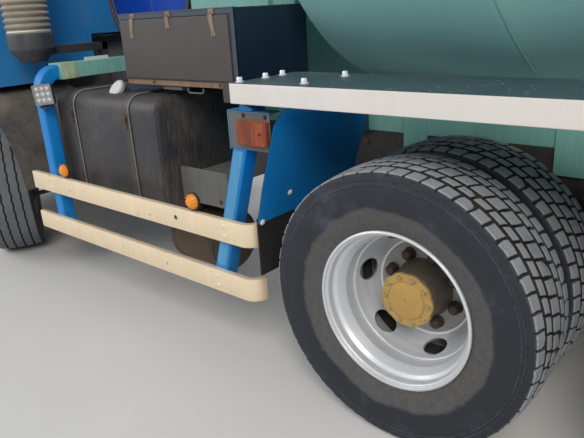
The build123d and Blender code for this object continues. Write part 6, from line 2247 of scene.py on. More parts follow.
@dataclass
class SideGuard:
    """Side guards with their aluminium rails, blue posts, lamps and brackets."""

    levels: Pair = (0.372, 0.625)
    height: float = 0.104
    face: float = 1.235
    front_x: float = 1.770
    bend_x: float = -0.025
    bend: float = 0.070
    post_x: float = 1.570
    post_y: float = 1.168
    post_half: float = 0.039
    marker_x: Pair = (1.400, 0.285)

    def build(self) -> None:
        """Build the guards of both sides."""
        rails = Shape(Paintwork.aluminium)
        posts = Shape(Paintwork.blue)
        amber = Shape(Paintwork.amber)
        for _, side in SIDES:
            self._rails(rails, side)
            self._front_post(posts, side)
            self._leaning_post(posts, side)
            self._bracket(posts, side)
            self._markers(amber, side)
            self._box_lamp(amber, side)
        rails.make("side_guard_rails", "truck", ("guard_rails",), 34)
        posts.make("side_guard_posts", "truck", ("guard_posts",), 34)
        amber.make("side_amber_lamps", "truck", ("lamps_amber",), 18)

    def _rails(self, shape: Shape, side: int) -> None:
        """Draw the two folded rails with their curved rear ends.

        Args:
            shape: The shape that takes their faces.
            side: 1 on the left, -1 on the right.
        """
        shape.use(Paintwork.aluminium)
        top, lip = self.height, 0.100
        section = [
            (0, 0), (0, top), (-0.028, top), (-0.028, lip), (-0.005, lip), (-0.005, 0.004), (-0.028, 0.004),
            (-0.028, 0)
        ]
        section = rounded([(across * side, up) for across, up in section], 0.0022, 2, True)
        for level in self.levels:
            span = self.front_x - self.bend_x
            path = [(self.front_x - span * i / 24, self.face * side, level) for i in range(25)]
            for step in range(1, 11):
                turn = math.pi / 2 * step / 10
                x = self.bend_x - self.bend * math.sin(turn)
                path.append((x, (self.face - self.bend + self.bend * math.cos(turn)) * side, level))
            shape.use(Paintwork.aluminium).sweep(path, section)
            for x in (self.post_x, 0.147 if level < 0.5 else 0.075):
                for up in (0.030, 0.074):
                    shape.use(Paintwork.aluminium)
                    shape.lathe(
                        [(0, 0), (0.011, 0), (0.0098, 0.0022), (0.006, 0.0036), (0, 0.004)],
                        frame_at((x, self.face * side, level + up), (0, side, 0), (1, 0, 0)), 20,
                    )
        hole = frame_at((0.4017, (self.face + 0.0002) * side, 0.6822), (0, side, 0), (1, 0, 0))
        shape.lathe([(0.0105, 0), (0.0155, 0), (0.0150, 0.0012), (0.0115, 0.0012)], hole, 28, True)
        shape.use(Paintwork.seal).lathe(
            [(0, 0.0002), (0.0107, 0.0002), (0.0107, 0.0006), (0, 0.0006)], hole, 28
        )

    def _front_post(self, shape: Shape, side: int) -> None:
        """Draw the square post that bends in over the fuel tank.

        Args:
            shape: The shape that takes its faces.
            side: 1 on the left, -1 on the right.
        """
        half, bend = self.post_half, 0.095
        path = [(self.post_x, self.post_y * side, 0.382 + (1.211 - 0.382) * i / 10) for i in range(11)]
        for step in range(1, 13):
            turn = math.pi / 2 * step / 12
            y = self.post_y - bend + bend * math.cos(turn)
            path.append((self.post_x, y * side, 1.211 + bend * math.sin(turn)))
        section = rounded(box_corners((-half, -half), (half, half)), 0.012, 4, True)
        shape.use(Paintwork.blue).sweep(path, section, (1, 0, 0))
        # The beam's end block in pale cream-green: painted sunlight on faded paint.
        shape.use(Paintwork.sunlit_beam_end)
        low, high = sorted((0.968 * side, 1.0722 * side))
        shape.block((1.5032, low, 1.2632), (1.6368, high, 1.3508))
        shape.use(Paintwork.plate)
        shape.block(
            (1.566, min(0.716 * side, 0.878 * side), 1.349), (1.571, max(0.716 * side, 0.878 * side), 1.3680)
        )

    def _leaning_post(self, shape: Shape, side: int) -> None:
        """Draw the leaning post in front of the mudguard.

        Args:
            shape: The shape that takes its faces.
            side: 1 on the left, -1 on the right.
        """
        foot, head = (0.1758, 0.395), (-0.0944, 1.225)
        path = [
            (
                foot[0] + (head[0] - foot[0]) * i / 8, self.post_y * side,
                foot[1] + (head[1] - foot[1]) * i / 8
            ) for i in range(9)
        ]
        section = rounded(box_corners((-0.039, -0.0371), (0.039, 0.0371)), 0.010, 4, True)
        shape.use(Paintwork.blue).sweep(path, section, (1, 0, 0))
        shape.use(Paintwork.blue_worn)
        skin = []
        for share, across in ((0.12, -0.028), (0.775, -0.028), (0.775, 0.030), (0.12, 0.030)):
            skin.append(
                (foot[0] + (head[0] - foot[0]) * share + across, foot[1] + (head[1] - foot[1]) * share)
            )
        shape.plate(rounded(skin, 0.006, 3, True), 1.2066, 1.2078, side)

    def _bracket(self, shape: Shape, side: int) -> None:
        """Draw the folded bracket that the box lamp hangs in.

        Args:
            shape: The shape that takes its faces.
            side: 1 on the left, -1 on the right.
        """
        shape.use(Paintwork.blue_worn)
        cheek = [(0.0100, 1.200), (0.0045, 1.200), (0.0045, 1.052), (0.0100, 1.040)]
        shape.plate(cheek, 1.150, 1.2120, side)
        shape.plate([(0.010, 1.204), (-0.218, 1.204), (-0.218, 1.1995), (0.010, 1.1995)], 1.150, 1.2120, side)
        shape.use(Paintwork.tray)
        back = rounded([(0.006, 1.200), (-0.218, 1.200), (-0.218, 1.050), (0.006, 1.050)], 0.006, 3, True)
        shape.plate(back, 1.2075, 1.2105, side)
        for x in (-0.080, -0.196):
            shape.use(Paintwork.nut_dark).bolt((x, 1.2105 * side, 1.187), (0, side, 0), 0.011, 0.004)

    def _markers(self, shape: Shape, side: int) -> None:
        """Draw the two faceted marker lamps on the upper rail.

        Args:
            shape: The shape that takes their faces.
            side: 1 on the left, -1 on the right.
        """
        for x in self.marker_x:
            spot = frame_at((x, 1.207 * side, 0.775), (0, side, 0), (1, 0, 0))
            shape.use(Paintwork.seal)
            base = [
                (0, 0), (0.0400, 0), (0.0402, 0.006), (0.0392, 0.011), (0.0368, 0.0125), (0.0368, 0.010),
                (0, 0.010)
            ]
            shape.lathe(base, spot, 48)
            shape.block(
                (x - 0.022, min(1.207 * side, 1.219 * side), 0.729),
                (x + 0.022, max(1.207 * side, 1.219 * side), 0.750)
            )
            shape.use(Paintwork.amber)
            lens = [
                (0.0365, 0.010), (0.0358, 0.017), (0.0270, 0.0300), (0.0160, 0.0395), (0.0080, 0.0420),
                (0.0, 0.0420)
            ]
            shape.lathe(lens, spot, 12)
            for index in range(12):
                turned = spot @ Matrix.Rotation(math.tau * index / 12, 4, "Z")
                shape.prism(
                    [(0.0355, -0.0010), (0.0260, -0.0010), (0.0260, 0.0010), (0.0355, 0.0010)], 0.016, 0.0275,
                    turned
                )

    def _box_lamp(self, shape: Shape, side: int) -> None:
        """Draw the ribbed box lamp with its bowed lens.

        Args:
            shape: The shape that takes its faces.
            side: 1 on the left, -1 on the right.
        """
        rear, front = -0.215, -0.058
        bow = [(front, 1.2106), (front, 1.2300), (front - 0.007, 1.2385)]
        ribs = 15
        for step in range(ribs * 3 + 1):
            share = step / (ribs * 3)
            x = front - 0.009 + (rear + 0.010 - front + 0.009) * share
            swell = 0.0050 * math.sin(math.pi * share)
            bow.append((x, 1.2400 + swell + (0.0012 if step % 3 == 1 else 0.0)))
        bow += [(rear, 1.2330), (rear, 1.2106)]
        shape.use(Paintwork.amber_dark).prism([(x, y * side) for x, y in bow], 1.080, 1.166)
        inner = [(x * 0.985 - 0.002, 1.2106 + (y - 1.2106) * 0.90) for x, y in bow]
        shape.prism([(x, y * side) for x, y in inner], 1.0765, 1.1695)
        screw = frame_at((-0.190, 1.2440 * side, 1.1255), (0, side, 0), (1, 0, 0))
        shape.use(Paintwork.seal).lathe(
            [(0, 0.0012), (0.0045, 0.0012), (0.0052, -0.002), (0, -0.002)], screw, 18
        )


@dataclass
class Lamps:
    """Work lamps on the front posts and headlamps."""

    work: Point = (1.468, 1.219, 1.201)
    head_y: Pair = (0.781, 1.109)
    head_z: Pair = (0.621, 0.789)

    def build(self) -> None:
        """Build the lamps of both sides."""
        shape = Shape(Paintwork.trim)
        for _, side in SIDES:
            self._work_lamp(shape, side)
            self._headlamp(shape, side)
        shape.make("work_lamps_and_headlamps", "truck", ("lamps_clear",), 34)

    def _work_lamp(self, shape: Shape, side: int) -> None:
        """Draw a square lamp with nine small reflectors and its bracket.

        Args:
            shape: The shape that takes its faces.
            side: 1 on the left, -1 on the right.
        """
        x, y, z = self.work
        frame = frame_at(
            (x, y * side, z), (-0.56, 0.83 * side, 0.0), (0, 0, 1)
        ) @ Matrix.Rotation(math.radians(4 * side), 4, "Z")
        half = 0.055
        shape.use(Paintwork.trim)
        shape.prism(rounded(box_corners((-half, -half), (half, half)), 0.008, 3, True), -0.010, 0.010, frame)
        for fin in range(7):
            place = -0.042 + 0.014 * fin
            shape.block((place - 0.002, -0.046, -0.022), (place + 0.002, 0.046, -0.009), frame)
        shape.use(Paintwork.reflector_frame)
        outer = rounded(box_corners((-half, -half), (half, half)), 0.008, 3, True)
        inner = [(a * 0.90, b * 0.90) for a, b in outer]
        rows = [
            [shape.point(frame, (a, b, h)) for a, b in line]
            for line, h in ((outer, 0.010), (outer, 0.0155), (inner, 0.0155), (inner, 0.0120))
        ]
        for first, second in zip(rows, rows[1:]):
            shape.join(first, second, True)
        shape.face(rows[-1])
        for row in (-1, 0, 1):
            for column in (-1, 0, 1):
                spot = frame @ Matrix.Translation((column * 0.031, row * 0.031, 0.0122))
                shape.use(Paintwork.reflector)
                shape.lathe(
                    [(0.0145, 0.0), (0.0145, 0.0024), (0.0135, 0.0026), (0.0045, 0.0002), (0, 0.0002)], spot,
                    24
                )
                shape.use(Paintwork.led)
                shape.lathe([(0.0046, 0.0002), (0.0038, 0.0018), (0.0020, 0.0028), (0, 0.0031)], spot, 12)
        shape.use(Paintwork.trim)
        loop = []
        for step in range(13):
            turn = math.pi * step / 12
            loop.append(
                tuple(frame @ Vector((-0.052 - 0.022 * math.sin(turn), 0.028 * math.cos(turn), -0.002)))
            )
        shape.tube(loop, 0.0042, 10)
        shape.block(
            (1.510, min(1.158 * side, 1.227 * side), 1.122), (1.531, max(1.158 * side, 1.227 * side), 1.134)
        )

    def _headlamp(self, shape: Shape, side: int) -> None:
        """Draw a headlamp with two reflectors behind glass.

        Args:
            shape: The shape that takes its faces.
            side: 1 on the left, -1 on the right.
        """
        (near, far), (low, high) = self.head_y, self.head_z
        corners = box_corners((near, low), (far, high))
        outer = rounded([(y * side, z) for y, z in corners], 0.020, 4, True)
        middle = ((near + far) / 2 * side, (low + high) / 2)
        inner = [(middle[0] + (y - middle[0]) * 0.94, middle[1] + (z - middle[1]) * 0.90) for y, z in outer]
        shape.use(Paintwork.trim)
        plan = (
            (outer, NOSE_X - 0.0447), (outer, NOSE_X - 0.010), (inner, NOSE_X - 0.007),
            (inner, NOSE_X - 0.038)
        )
        rows = [[shape.point(LENGTHWAYS, (y, z, x)) for y, z in line] for line, x in plan]
        shape.stack(rows)
        for place in (0.25, 0.75):
            y = (near + (far - near) * place) * side
            spot = frame_at((NOSE_X - 0.038, y, middle[1]), (1, 0, 0), (0, 1, 0))
            shape.use(Paintwork.reflector)
            shape.lathe(
                [(0.068, 0.022), (0.066, 0.024), (0.060, 0.018), (0.040, 0.006), (0.014, 0.001), (0, 0.001)],
                spot, 40
            )
            shape.use(Paintwork.led).lathe(
                [(0.012, 0.001), (0.011, 0.012), (0.006, 0.017), (0, 0.018)], spot, 16
            )
        shape.use(Paintwork.clear)
        shape.bar(inner, NOSE_X - 0.0115, NOSE_X - 0.0085)


# ------------------------------------------------------------ tanks, boxes and trays


@dataclass
class FuelTank:
    """Fuel tank with rounded corners, its straps, cradle and filler cap."""

    back: float = 0.638
    front: float = 1.570
    inner: float = 0.500
    outer: float = 1.100
    low: float = 0.580
    high: float = 1.200
    corner: float = 0.090
    strap_x: Pair = (0.860, 1.380)
    strap_width: float = 0.045
    cap: Pair = (1.085, 0.968)

    def _outline(self, out: float) -> list[Pair]:
        """Outline as (y, z) pairs, grown by a margin."""
        corners = box_corners((self.inner - out, self.low - out), (self.outer + out, self.high + out))
        return rounded(corners, self.corner + out, 10, True)

    def build(self) -> None:
        """Build the tank."""
        shape = Shape(Paintwork.tank)
        plan = (
            (-0.030, self.back + 0.0), (-0.012, self.back + 0.002), (-0.003, self.back + 0.008),
            (0.0, self.back + 0.016)
        )
        rings = [*plan, *((0.0, self.back + (self.front - self.back) * i / 8) for i in range(1, 8))]
        rings += [(out, self.back + self.front - x) for out, x in plan[::-1]]
        rows = [[shape.point(LENGTHWAYS, (y, z, x)) for y, z in self._outline(out)] for out, x in rings]
        shape.stack(rows)
        for seam in (self.back + 0.012, self.front - 0.012):
            path = [(seam, y, z) for y, z in self._outline(0.0005)]
            shape.tube(path, 0.0028, 8, True)
        for x in self.strap_x:
            self._strap(shape, x)
        self._cap(shape)
        shape.make("fuel_tank_body", "truck", ("fuel_tank",), 34)

    def _strap(self, shape: Shape, x: float) -> None:
        """Draw one strap on its dark rubber strip, whose margins also paint the strap's shadow line, with the
        clamp and the cradle arms.

        Args:
            shape: The shape that takes its faces.
            x: Station of the strap's rear edge.
        """
        width = self.strap_width
        # Dark rubber strip 10 mm wider than the strap on each side: a rubber pad, and its margins are painted
        # shadow beside the strap.
        for finish, out, start, end in (
            (Paintwork.seal, 0.0030, x - 0.010, x + width + 0.010), (Paintwork.strap, 0.0080, x, x + width)
        ):
            shape.use(finish)
            plan = (
                (0.0002, start), (out - 0.0008, start), (out, start + 0.003), (out, end - 0.003),
                (out - 0.0008, end), (0.0002, end)
            )
            rows = [
                [shape.point(LENGTHWAYS, (y, z, place)) for y, z in self._outline(grow)]
                for grow, place in plan
            ]
            for first, second in zip(rows, rows[1:]):
                shape.join(first, second, True)
        middle = x + width / 2
        shape.use(Paintwork.nut)
        face = self.outer + 0.008
        shape.rod((middle, face + 0.006, 1.045), (middle, face + 0.006, 1.105), 0.005, 12)
        for z in (1.045, 1.098):
            shape.block((middle - 0.014, face - 0.001, z - 0.006), (middle + 0.014, face + 0.013, z + 0.006))
        shape.bolt((middle, face + 0.006, 1.104), (0, 0, 1), 0.015, 0.008)
        shape.use(Paintwork.chassis)
        for low, high in ((0.640, 0.720), (0.880, 0.960)):
            shape.block((x, 0.426, low), (x + width, 0.506, high))

    def _cap(self, shape: Shape) -> None:
        """Draw the tilted filler cap on its neck.

        Args:
            shape: The shape that takes its faces.
        """
        x, y = self.cap
        lean = Vector((0.06, 0.76, 0.65)).normalized()
        base = Vector((x - 0.004, y, self.high - 0.014))
        shape.use(Paintwork.tank)
        shape.lathe(
            [(0.044, -0.030), (0.044, 0.020), (0.040, 0.026), (0.040, 0.040)],
            frame_at(tuple(base), tuple(lean)), 40
        )
        lid = frame_at(tuple(base + lean * 0.036), tuple(lean), (1, 0, 0))
        shape.use(Paintwork.cap_ring)
        shape.lathe(
            [
                (0, -0.004), (0.0520, -0.004), (0.0535, 0.000), (0.0535, 0.016), (0.0505, 0.020),
                (0.0440, 0.0205)
            ],
            lid, 56
        )
        shape.use(Paintwork.cap)
        shape.lathe([(0.0445, 0.0205), (0.0430, 0.0222), (0.020, 0.0226), (0, 0.0226)], lid, 56)
        for index in range(24):
            spot = lid @ Matrix.Rotation(
                math.tau * index / 24, 4, "Z"
            ) @ Matrix.Translation((0.0535, 0, 0.007))
            shape.use(Paintwork.cap_ring).block((-0.001, -0.002, -0.006), (0.0016, 0.002, 0.006), spot)


@dataclass
class Toolbox:
    """Toolbox on its arms with the drop door and three rubber latches."""

    back: float = 0.144
    front: float = 0.970
    inner: float = 0.520
    face: float = 1.000
    low: float = 1.274
    high: float = 1.590
    latches: tuple[float, ...] = (0.851, 0.574, 0.276)

    def build(self) -> None:
        """Build the box, its door and the trim."""
        self._box()
        self._door()

    def _box(self) -> None:
        """Draw the open box, its front frame, ledge and arms."""
        shape = Shape(Paintwork.box)
        wall = 0.004
        outer = rounded(box_corners((self.back, self.low), (self.front, self.high)), 0.006, 3, True)
        inner = [
            (
                min(max(x, self.back + wall), self.front - wall),
                min(max(z, self.low + wall), self.high - wall)
            ) for x, z in outer
        ]
        plan = ((outer, self.inner), (outer, self.face), (inner, self.face), (inner, self.inner + wall))
        rows = [[shape.point(UPRIGHT, (x, z, -y)) for x, z in line] for line, y in plan]
        shape.join(rows[0], rows[1], True)
        shape.use(Paintwork.box_frame).join(rows[1], rows[2], True)
        shape.use(Paintwork.box).join(rows[2], rows[3], True)
        shape.face(rows[0])
        shape.face(rows[3])
        shape.use(Paintwork.box_frame)
        lip = self.face
        for low, high in (
            ((self.back, 1.564), (self.front, self.high)),
            ((self.back, self.low), (self.back + 0.027, 1.564)),
            ((self.front - 0.013, self.low), (self.front, 1.564)),
        ):
            shape.plate(box_corners(low, high), lip - 0.006, lip + 0.004, 1)
        shape.plate(
            box_corners((self.back - 0.002, self.high - 0.003), (self.front + 0.002, self.high + 0.002)),
            0.990, 1.006, 1
        )
        shape.use(Paintwork.box_ledge)
        ledge = [
            (self.back + 0.004, 1.2800), (self.back + 0.004, 1.2490), (self.front, 1.2490),
            (self.front, 1.2800)
        ]
        shape.plate(ledge, 0.984, 0.9995, 1)
        shape.use(Paintwork.seal)
        for x in (0.752, 0.267):
            spot = frame_at((x, 0.9996, 1.262), (0, 1, 0), (1, 0, 0))
            shape.lathe([(0, 0.0008), (0.008, 0.0008), (0.009, 0), (0, -0.001)], spot, 18)
        shape.use(Paintwork.chassis)
        for start in (0.264, 0.800):
            arm = [
                (0.436, 0.970), (0.436, self.low), (0.980, self.low), (0.980, 1.244), (0.520, 1.224),
                (0.490, 1.184), (0.490, 0.970)
            ]
            shape.bar(arm, start, start + 0.050)
        shape.use(Paintwork.tray)
        shape.bar([(0.935, 1.244), (0.985, 1.244), (0.985, 1.228), (0.935, 1.222)], 0.560, 0.700)
        shape.use(Paintwork.tray)
        shape.tube(
            [
                (0.40, 0.985, 1.246), (0.40, 0.986, 1.226), (0.41, 0.987, 1.219), (0.50, 0.987, 1.219),
                (0.51, 0.986, 1.226), (0.51, 0.985, 1.246)
            ],
            0.004, 8
        )
        for x in self.latches:
            shape.use(Paintwork.latch)
            shape.block((x - 0.015, self.face + 0.004, 1.566), (x + 0.015, self.face + 0.010, 1.588))
            shape.bolt((x, self.face + 0.010, 1.577), (0, 1, 0), 0.009, 0.004)
        shape.make("toolbox_shell", "truck", ("toolbox",), 34, 0.0012)

    def _door(self) -> None:
        """Draw the drop door with its latch straps and folded edges."""
        shape = Shape(Paintwork.box_lid)
        low, high = (0.172, 1.282), (0.956, 1.562)
        outline = rounded(box_corners(low, high), 0.008, 4, True)
        middle = ((low[0] + high[0]) / 2, (low[1] + high[1]) / 2)
        inset = [
            (middle[0] + (x - middle[0]) * 0.985, middle[1] + (z - middle[1]) * 0.96)
            for x, z in outline
        ]
        plan = ((outline, 1.0012), (outline, 1.0112), (inset, 1.0130))
        rows = [[shape.point(UPRIGHT, (x, z, -y)) for x, z in line] for line, y in plan]
        shape.stack(rows)
        for number, x in enumerate(self.latches):
            lean = (0.010, 0.0, -0.012)[number]
            shape.use(Paintwork.latch)
            foot = (1.492, 1.530, 1.492)[number]
            strap = [
                (x - 0.013, 1.566), (x + 0.013, 1.566), (x + 0.009 + lean, foot), (x - 0.009 + lean, foot)
            ]
            shape.plate(rounded(strap, 0.004, 3, True), 1.0128, 1.0182, 1)
            end = rounded(
                box_corners((x - 0.013 + lean, foot - 0.018), (x + 0.013 + lean, foot + 0.002)), 0.004, 3,
                True
            )
            shape.plate(end, 1.0128, 1.0165, 1)
            shape.bolt((x + lean, 1.0165, foot - 0.009), (0, 1, 0), 0.008, 0.003)
        shape.make("toolbox_door", "box_lid", ("toolbox_lid",), 34)


@dataclass
class AirTanks:
    """Air tanks low on both sides, with the battery trays in front of them."""

    radius: float = 0.165
    back: float = 0.440
    front: float = 0.870
    centre: Pair = (0.800, 0.405)
    tray: tuple[float, ...] = (0.281, 0.625, 0.669, 0.849)

    def build(self) -> None:
        """Build the tanks and the trays."""
        tanks = Shape(Paintwork.air_tank)
        trays = Shape(Paintwork.tray)
        for _, side in SIDES:
            self._tank(tanks, side)
            self._tray(trays, side)
        tanks.make("brown_air_tanks", "truck", ("air_tanks",), 34)
        trays.make("battery_tray_plates", "truck", ("battery_trays",), 34, 0.001)

    def _tank(self, shape: Shape, side: int) -> None:
        """Draw one tank with domed ends, bands and its drain.

        Args:
            shape: The shape that takes its faces.
            side: 1 on the left, -1 on the right.
        """
        y, z = self.centre
        frame = frame_at((self.back, y * side, z), (1, 0, 0), (0, 1, 0))
        size, radius = self.front - self.back, self.radius
        dome = [
            (0.0, 0.0), (0.060, 0.002), (0.110, 0.011), (0.144, 0.026), (0.159, 0.042),
            (radius - 0.002, 0.056)
        ]
        outline = dome + [(radius - 0.002, size - 0.052)] + [(r, size - h) for r, h in dome[-2::-1]]
        shape.use(Paintwork.air_tank).lathe(outline, frame, 64)
        for place in (0.060, size - 0.060):
            shape.lathe(
                [(radius - 0.003, place - 0.004), (radius, place), (radius - 0.003, place + 0.004)], frame, 64
            )
        shape.use(Paintwork.chassis)
        for start in (0.480, 0.790):
            spot = frame @ Matrix.Translation((0, 0, start - self.back))
            shape.lathe(
                [
                    (radius - 0.003, 0.004), (radius - 0.0003, 0.004), (radius - 0.0003, 0.036),
                    (radius - 0.003, 0.036)
                ],
                spot, 64
            )
            low, high = sorted((0.426 * side, 0.446 * side))
            shape.block((start, low, z - 0.020), (start + 0.040, high, 0.780))
            low, high = sorted((0.426 * side, 0.700 * side))
            shape.block((start, low, z - 0.020), (start + 0.040, high, z + 0.020))
        shape.use(Paintwork.zinc)
        shape.bolt(((self.back + self.front) / 2, y * side, z - radius + 0.003), (0, 0, -1), 0.022, 0.012)

    def _tray(self, shape: Shape, side: int) -> None:
        """Draw one battery tray with its rounded face plate.

        Args:
            shape: The shape that takes its faces.
            side: 1 on the left, -1 on the right.
        """
        back, front, low, high = self.tray
        shape.use(Paintwork.tray)
        face = rounded(box_corners((back, low), (front, high)), 0.018, 5, True)
        shape.plate(face, 0.9945, 1.0000, side)
        near, far = sorted((0.560 * side, 0.9945 * side))
        shape.block((back, near, 0.790), (front, far, 0.796))
        near, far = sorted((0.436 * side, 0.566 * side))
        shape.block((back, near, 0.790), (front, far, 0.796))
        near, far = sorted((0.560 * side, 0.566 * side))
        shape.block((back, near, 0.790), (front, far, 0.850))
        shape.use(Paintwork.chassis)
        for x in (back + 0.06, front - 0.06):
            shape.bolt((x, 1.0 * side, 0.700), (0, side, 0), 0.014, 0.006)


@dataclass
class WaterTank:
    """Round water tank across the frame behind the cab."""

    x: float = 1.570
    z: float = 1.750
    radius: float = 0.430
    half: float = 0.400

    def build(self) -> None:
        """Build the tank, its bands, saddles, filler and gauge."""
        # The tank is drawn in its shaded blue tone: painted shade.
        shape = Shape(Paintwork.water_blue)
        frame = frame_at((self.x, 0, self.z), (0, 1, 0), (1, 0, 0))
        half, radius = self.half, self.radius
        dome = [
            (0.0, -half), (0.16, -half + 0.003), (0.29, -half + 0.014), (0.38, -half + 0.032),
            (0.418, -half + 0.050), (radius - 0.001, -half + 0.072)
        ]
        outline = dome + [(r, -h) for r, h in dome[::-1]]
        shape.lathe(outline, frame, 120)
        for place in (-half + 0.078, half - 0.078):
            shape.lathe(
                [(radius - 0.003, place - 0.005), (radius + 0.0004, place), (radius - 0.003, place + 0.005)],
                frame, 120
            )
        # Bands in the strap finish, whose light edges are partly painted highlight.
        shape.use(Paintwork.strap)
        for place in (-0.3625, 0.3625):
            shape.lathe(
                [
                    (0.405, place - 0.0172), (0.424, place - 0.0172), (0.424, place + 0.0172),
                    (0.405, place + 0.0172)
                ],
                frame, 120, True
            )
        shape.use(Paintwork.mixer_green)
        for _, side in SIDES:
            saddle = [(self.x - 0.26, 1.1205), (self.x + 0.26, 1.1205), (self.x + 0.26, 1.450)]
            for step in range(13):
                turn = math.radians(-49 - 82 * step / 12)
                saddle.append(
                    (self.x + (radius - 0.001) * math.cos(turn), self.z + (radius - 0.001) * math.sin(turn))
                )
            saddle.append((self.x - 0.26, 1.450))
            shape.plate(saddle, 0.345, 0.380, side)
        shape.use(Paintwork.cap)
        neck = frame_at((self.x - 0.05, 0.12, self.z + radius - 0.010), (0, 0, 1), (1, 0, 0))
        shape.lathe([(0.050, 0), (0.050, 0.007), (0.058, 0.007), (0.058, 0.0096), (0.0, 0.0098)], neck, 40)
        shape.use(Paintwork.clear)
        shape.rod((self.x - 0.08, half - 0.004, 1.46), (self.x - 0.08, half - 0.004, 2.02), 0.004, 12)
        shape.make("water_tank_body", "truck", ("water_tank",), 34)


@dataclass
class AirIntake:
    """Raised air intake with a canister, bellows and a hood."""

    x: float = 2.040
    y: float = 0.950

    def build(self) -> None:
        """Build the intake from the canister up."""
        shape = Shape(Paintwork.canister)
        frame = frame_at((self.x, self.y, 0))
        body = [(0.0, 1.340), (0.080, 1.345), (0.132, 1.412), (0.140, 1.425), (0.140, 1.514), (0.134, 1.520)]
        shape.lathe(rounded(body, 0.008, 3), frame, 72)
        shape.lathe([(0.0, 1.3395), (0.030, 1.3395), (0.030, 1.3460)], frame, 32)
        shape.use(Paintwork.bellows)
        folds: list[Pair] = [(0.134, 1.520), (0.130, 1.534)]
        count, low, high = 8, 1.540, 1.830
        pitch = (high - low) / count
        for fold in range(count * 6 + 1):
            share = fold / 6
            swell = 0.5 - 0.5 * math.cos(math.tau * share)
            folds.append((0.1225 + 0.0172 * swell**0.7, low + pitch * share))
        shape.lathe(folds + [(0.10, high)], frame, 72)
        shape.use(Paintwork.zinc)
        for z in (1.528, 1.822):
            shape.lathe(
                [(0.1295, z - 0.007), (0.1315, z - 0.007), (0.1315, z + 0.007), (0.1295, z + 0.007)], frame,
                72, True
            )
        shape.use(Paintwork.plastic)
        duct = rounded(
            box_corners((self.x - 0.110, self.y - 0.130), (self.x + 0.110, self.y + 0.130)), 0.030, 5, True
        )
        shape.prism(duct, high, 2.700)
        hood = rounded(
            box_corners((self.x - 0.1095, self.y - 0.1295), (self.x + 0.1095, self.y + 0.1295)), 0.020, 4,
            True
        )
        inset = [(self.x + (a - self.x) * 0.9, self.y + (b - self.y) * 0.9) for a, b in duct]
        shape.prism(inset, 2.700, 2.714)
        shape.prism(hood, 2.714, 2.760)
        for fin in range(12):
            z = 2.440 + fin * 0.020
            shape.block((self.x + 0.060, self.y - 0.1300, z), (self.x + 0.1100, self.y + 0.1300, z + 0.006))
        shape.use(Paintwork.chassis)
        shape.block((self.x - 0.030, 0.426, 1.380), (self.x + 0.030, 0.900, 1.430))
        shape.block((self.x - 0.030, 0.426, 0.930), (self.x + 0.030, 0.465, 1.430))
        shape.make("raised_air_intake", "truck", ("air_intake",), 34)


@dataclass
class DeckTrim:
    """Bolts and end caps of the side decks, and mudguard bolts."""

    arms: tuple[float, ...] = (MID_X - 1.965, MID_X - 0.675, MID_X + 0.600)
    level: float = 1.314

    def build(self) -> None:
        """Build the small trim."""
        bolts = Shape(Paintwork.zinc)
        caps = Shape(Paintwork.end_cap)
        for _, side in SIDES:
            for arm in self.arms:
                for shift, y in (
                    (0.076, 1.208), (0.067, 1.071), (0.063, 0.973), (-0.221, 1.178), (-0.236, 0.950)
                ):
                    self._bolt(bolts, (arm + shift, y * side, self.level))
            for x, y, z in ((0.594, 1.053, 0.843), (0.6168, 1.208, 0.752)):
                for flip in (1, -1):
                    place = (-1.425 + flip * (x + 0.675 - 0.004), y * side, z)
                    bolts.bolt(place, (-0.965 * flip, 0, -0.262), 0.017, 0.006)
            low, high = sorted((1.192 * side, 1.2495 * side))
            caps.block((-0.0548, low, 1.2390), (-0.0180, high, 1.3125))
        bolts.make("deck_bolts", "truck", (), 30)
        caps.make("deck_end_caps", "truck", (), 30, 0.0015)

    @staticmethod
    def _bolt(shape: Shape, place: Point) -> None:
        """Draw one bright bolt head with its washer.

        Args:
            shape: The shape that takes its faces.
            place: Where it sits.
        """
        shape.bolt(place, (0, 0, 1), 0.020, 0.016)


@dataclass
class FrameBolts:
    """Rows of bolts along the chassis rails."""

    rail_y: float = 0.425
    levels: Pair = (0.790, 0.930)

    def build(self) -> None:
        """Build the bolts of both rails."""
        shape = Shape(Paintwork.nut)
        for _, side in SIDES:
            for index in range(18):
                x = -2.85 + index * 0.34
                for z in self.levels:
                    shape.bolt((x, self.rail_y * side, z), (0, side, 0), 0.024, 0.012)
        shape.make("chassis_bolts", "truck", (), 30)


@dataclass
class CabTrim:
    """Handles, wipers, seals and mirror faces of the cab."""

    half: float = 1.140

    def build(self) -> None:
        """Build what hangs on the cab."""
        shape = Shape(Paintwork.trim)
        for side in (1, -1):
            foot = (NOSE_X - 0.052, 0.52 * side, 1.925)
            tip = (NOSE_X - 0.072, -0.16 * side + 0.0, 2.18)
            shape.tube([foot, ((foot[0] + tip[0]) / 2 - 0.004, (foot[1] + tip[1]) / 2, 2.05), tip], 0.007, 8)
        shape.make("wipers", "truck", (), 34)
        for name, side in SIDES:
            door = Shape(Paintwork.trim)
            x = MID_X + 3.560
            low, high = sorted(((self.half - 0.002) * side, (self.half + 0.012) * side))
            door.block((x - 0.075, low, 1.846), (x + 0.075, high, 1.888))
            door.use(Paintwork.seal)
            low, high = sorted(((self.half - 0.002) * side, (self.half + 0.006) * side))
            door.block((x - 0.110, low, 1.828), (x + 0.100, high, 1.906))
            door.make("door_handle_" + name, "cab_door_" + name, (), 30, 0.003)
        glass = Shape(Paintwork.mirror)
        for _, side in SIDES:
            middle = (3.6742, 1.315 * side, 2.330)
            face = frame_at(middle, (-1, 0, 0), (0, 1, 0))
            glass.prism(
                rounded(box_corners((-0.100, -0.240), (0.100, 0.240)), 0.030, 5, True), 0.0, 0.0014, face
            )
        glass.make("mirror_faces", "truck", (), 34)


# ----------------------------------------------------------------------- the studio


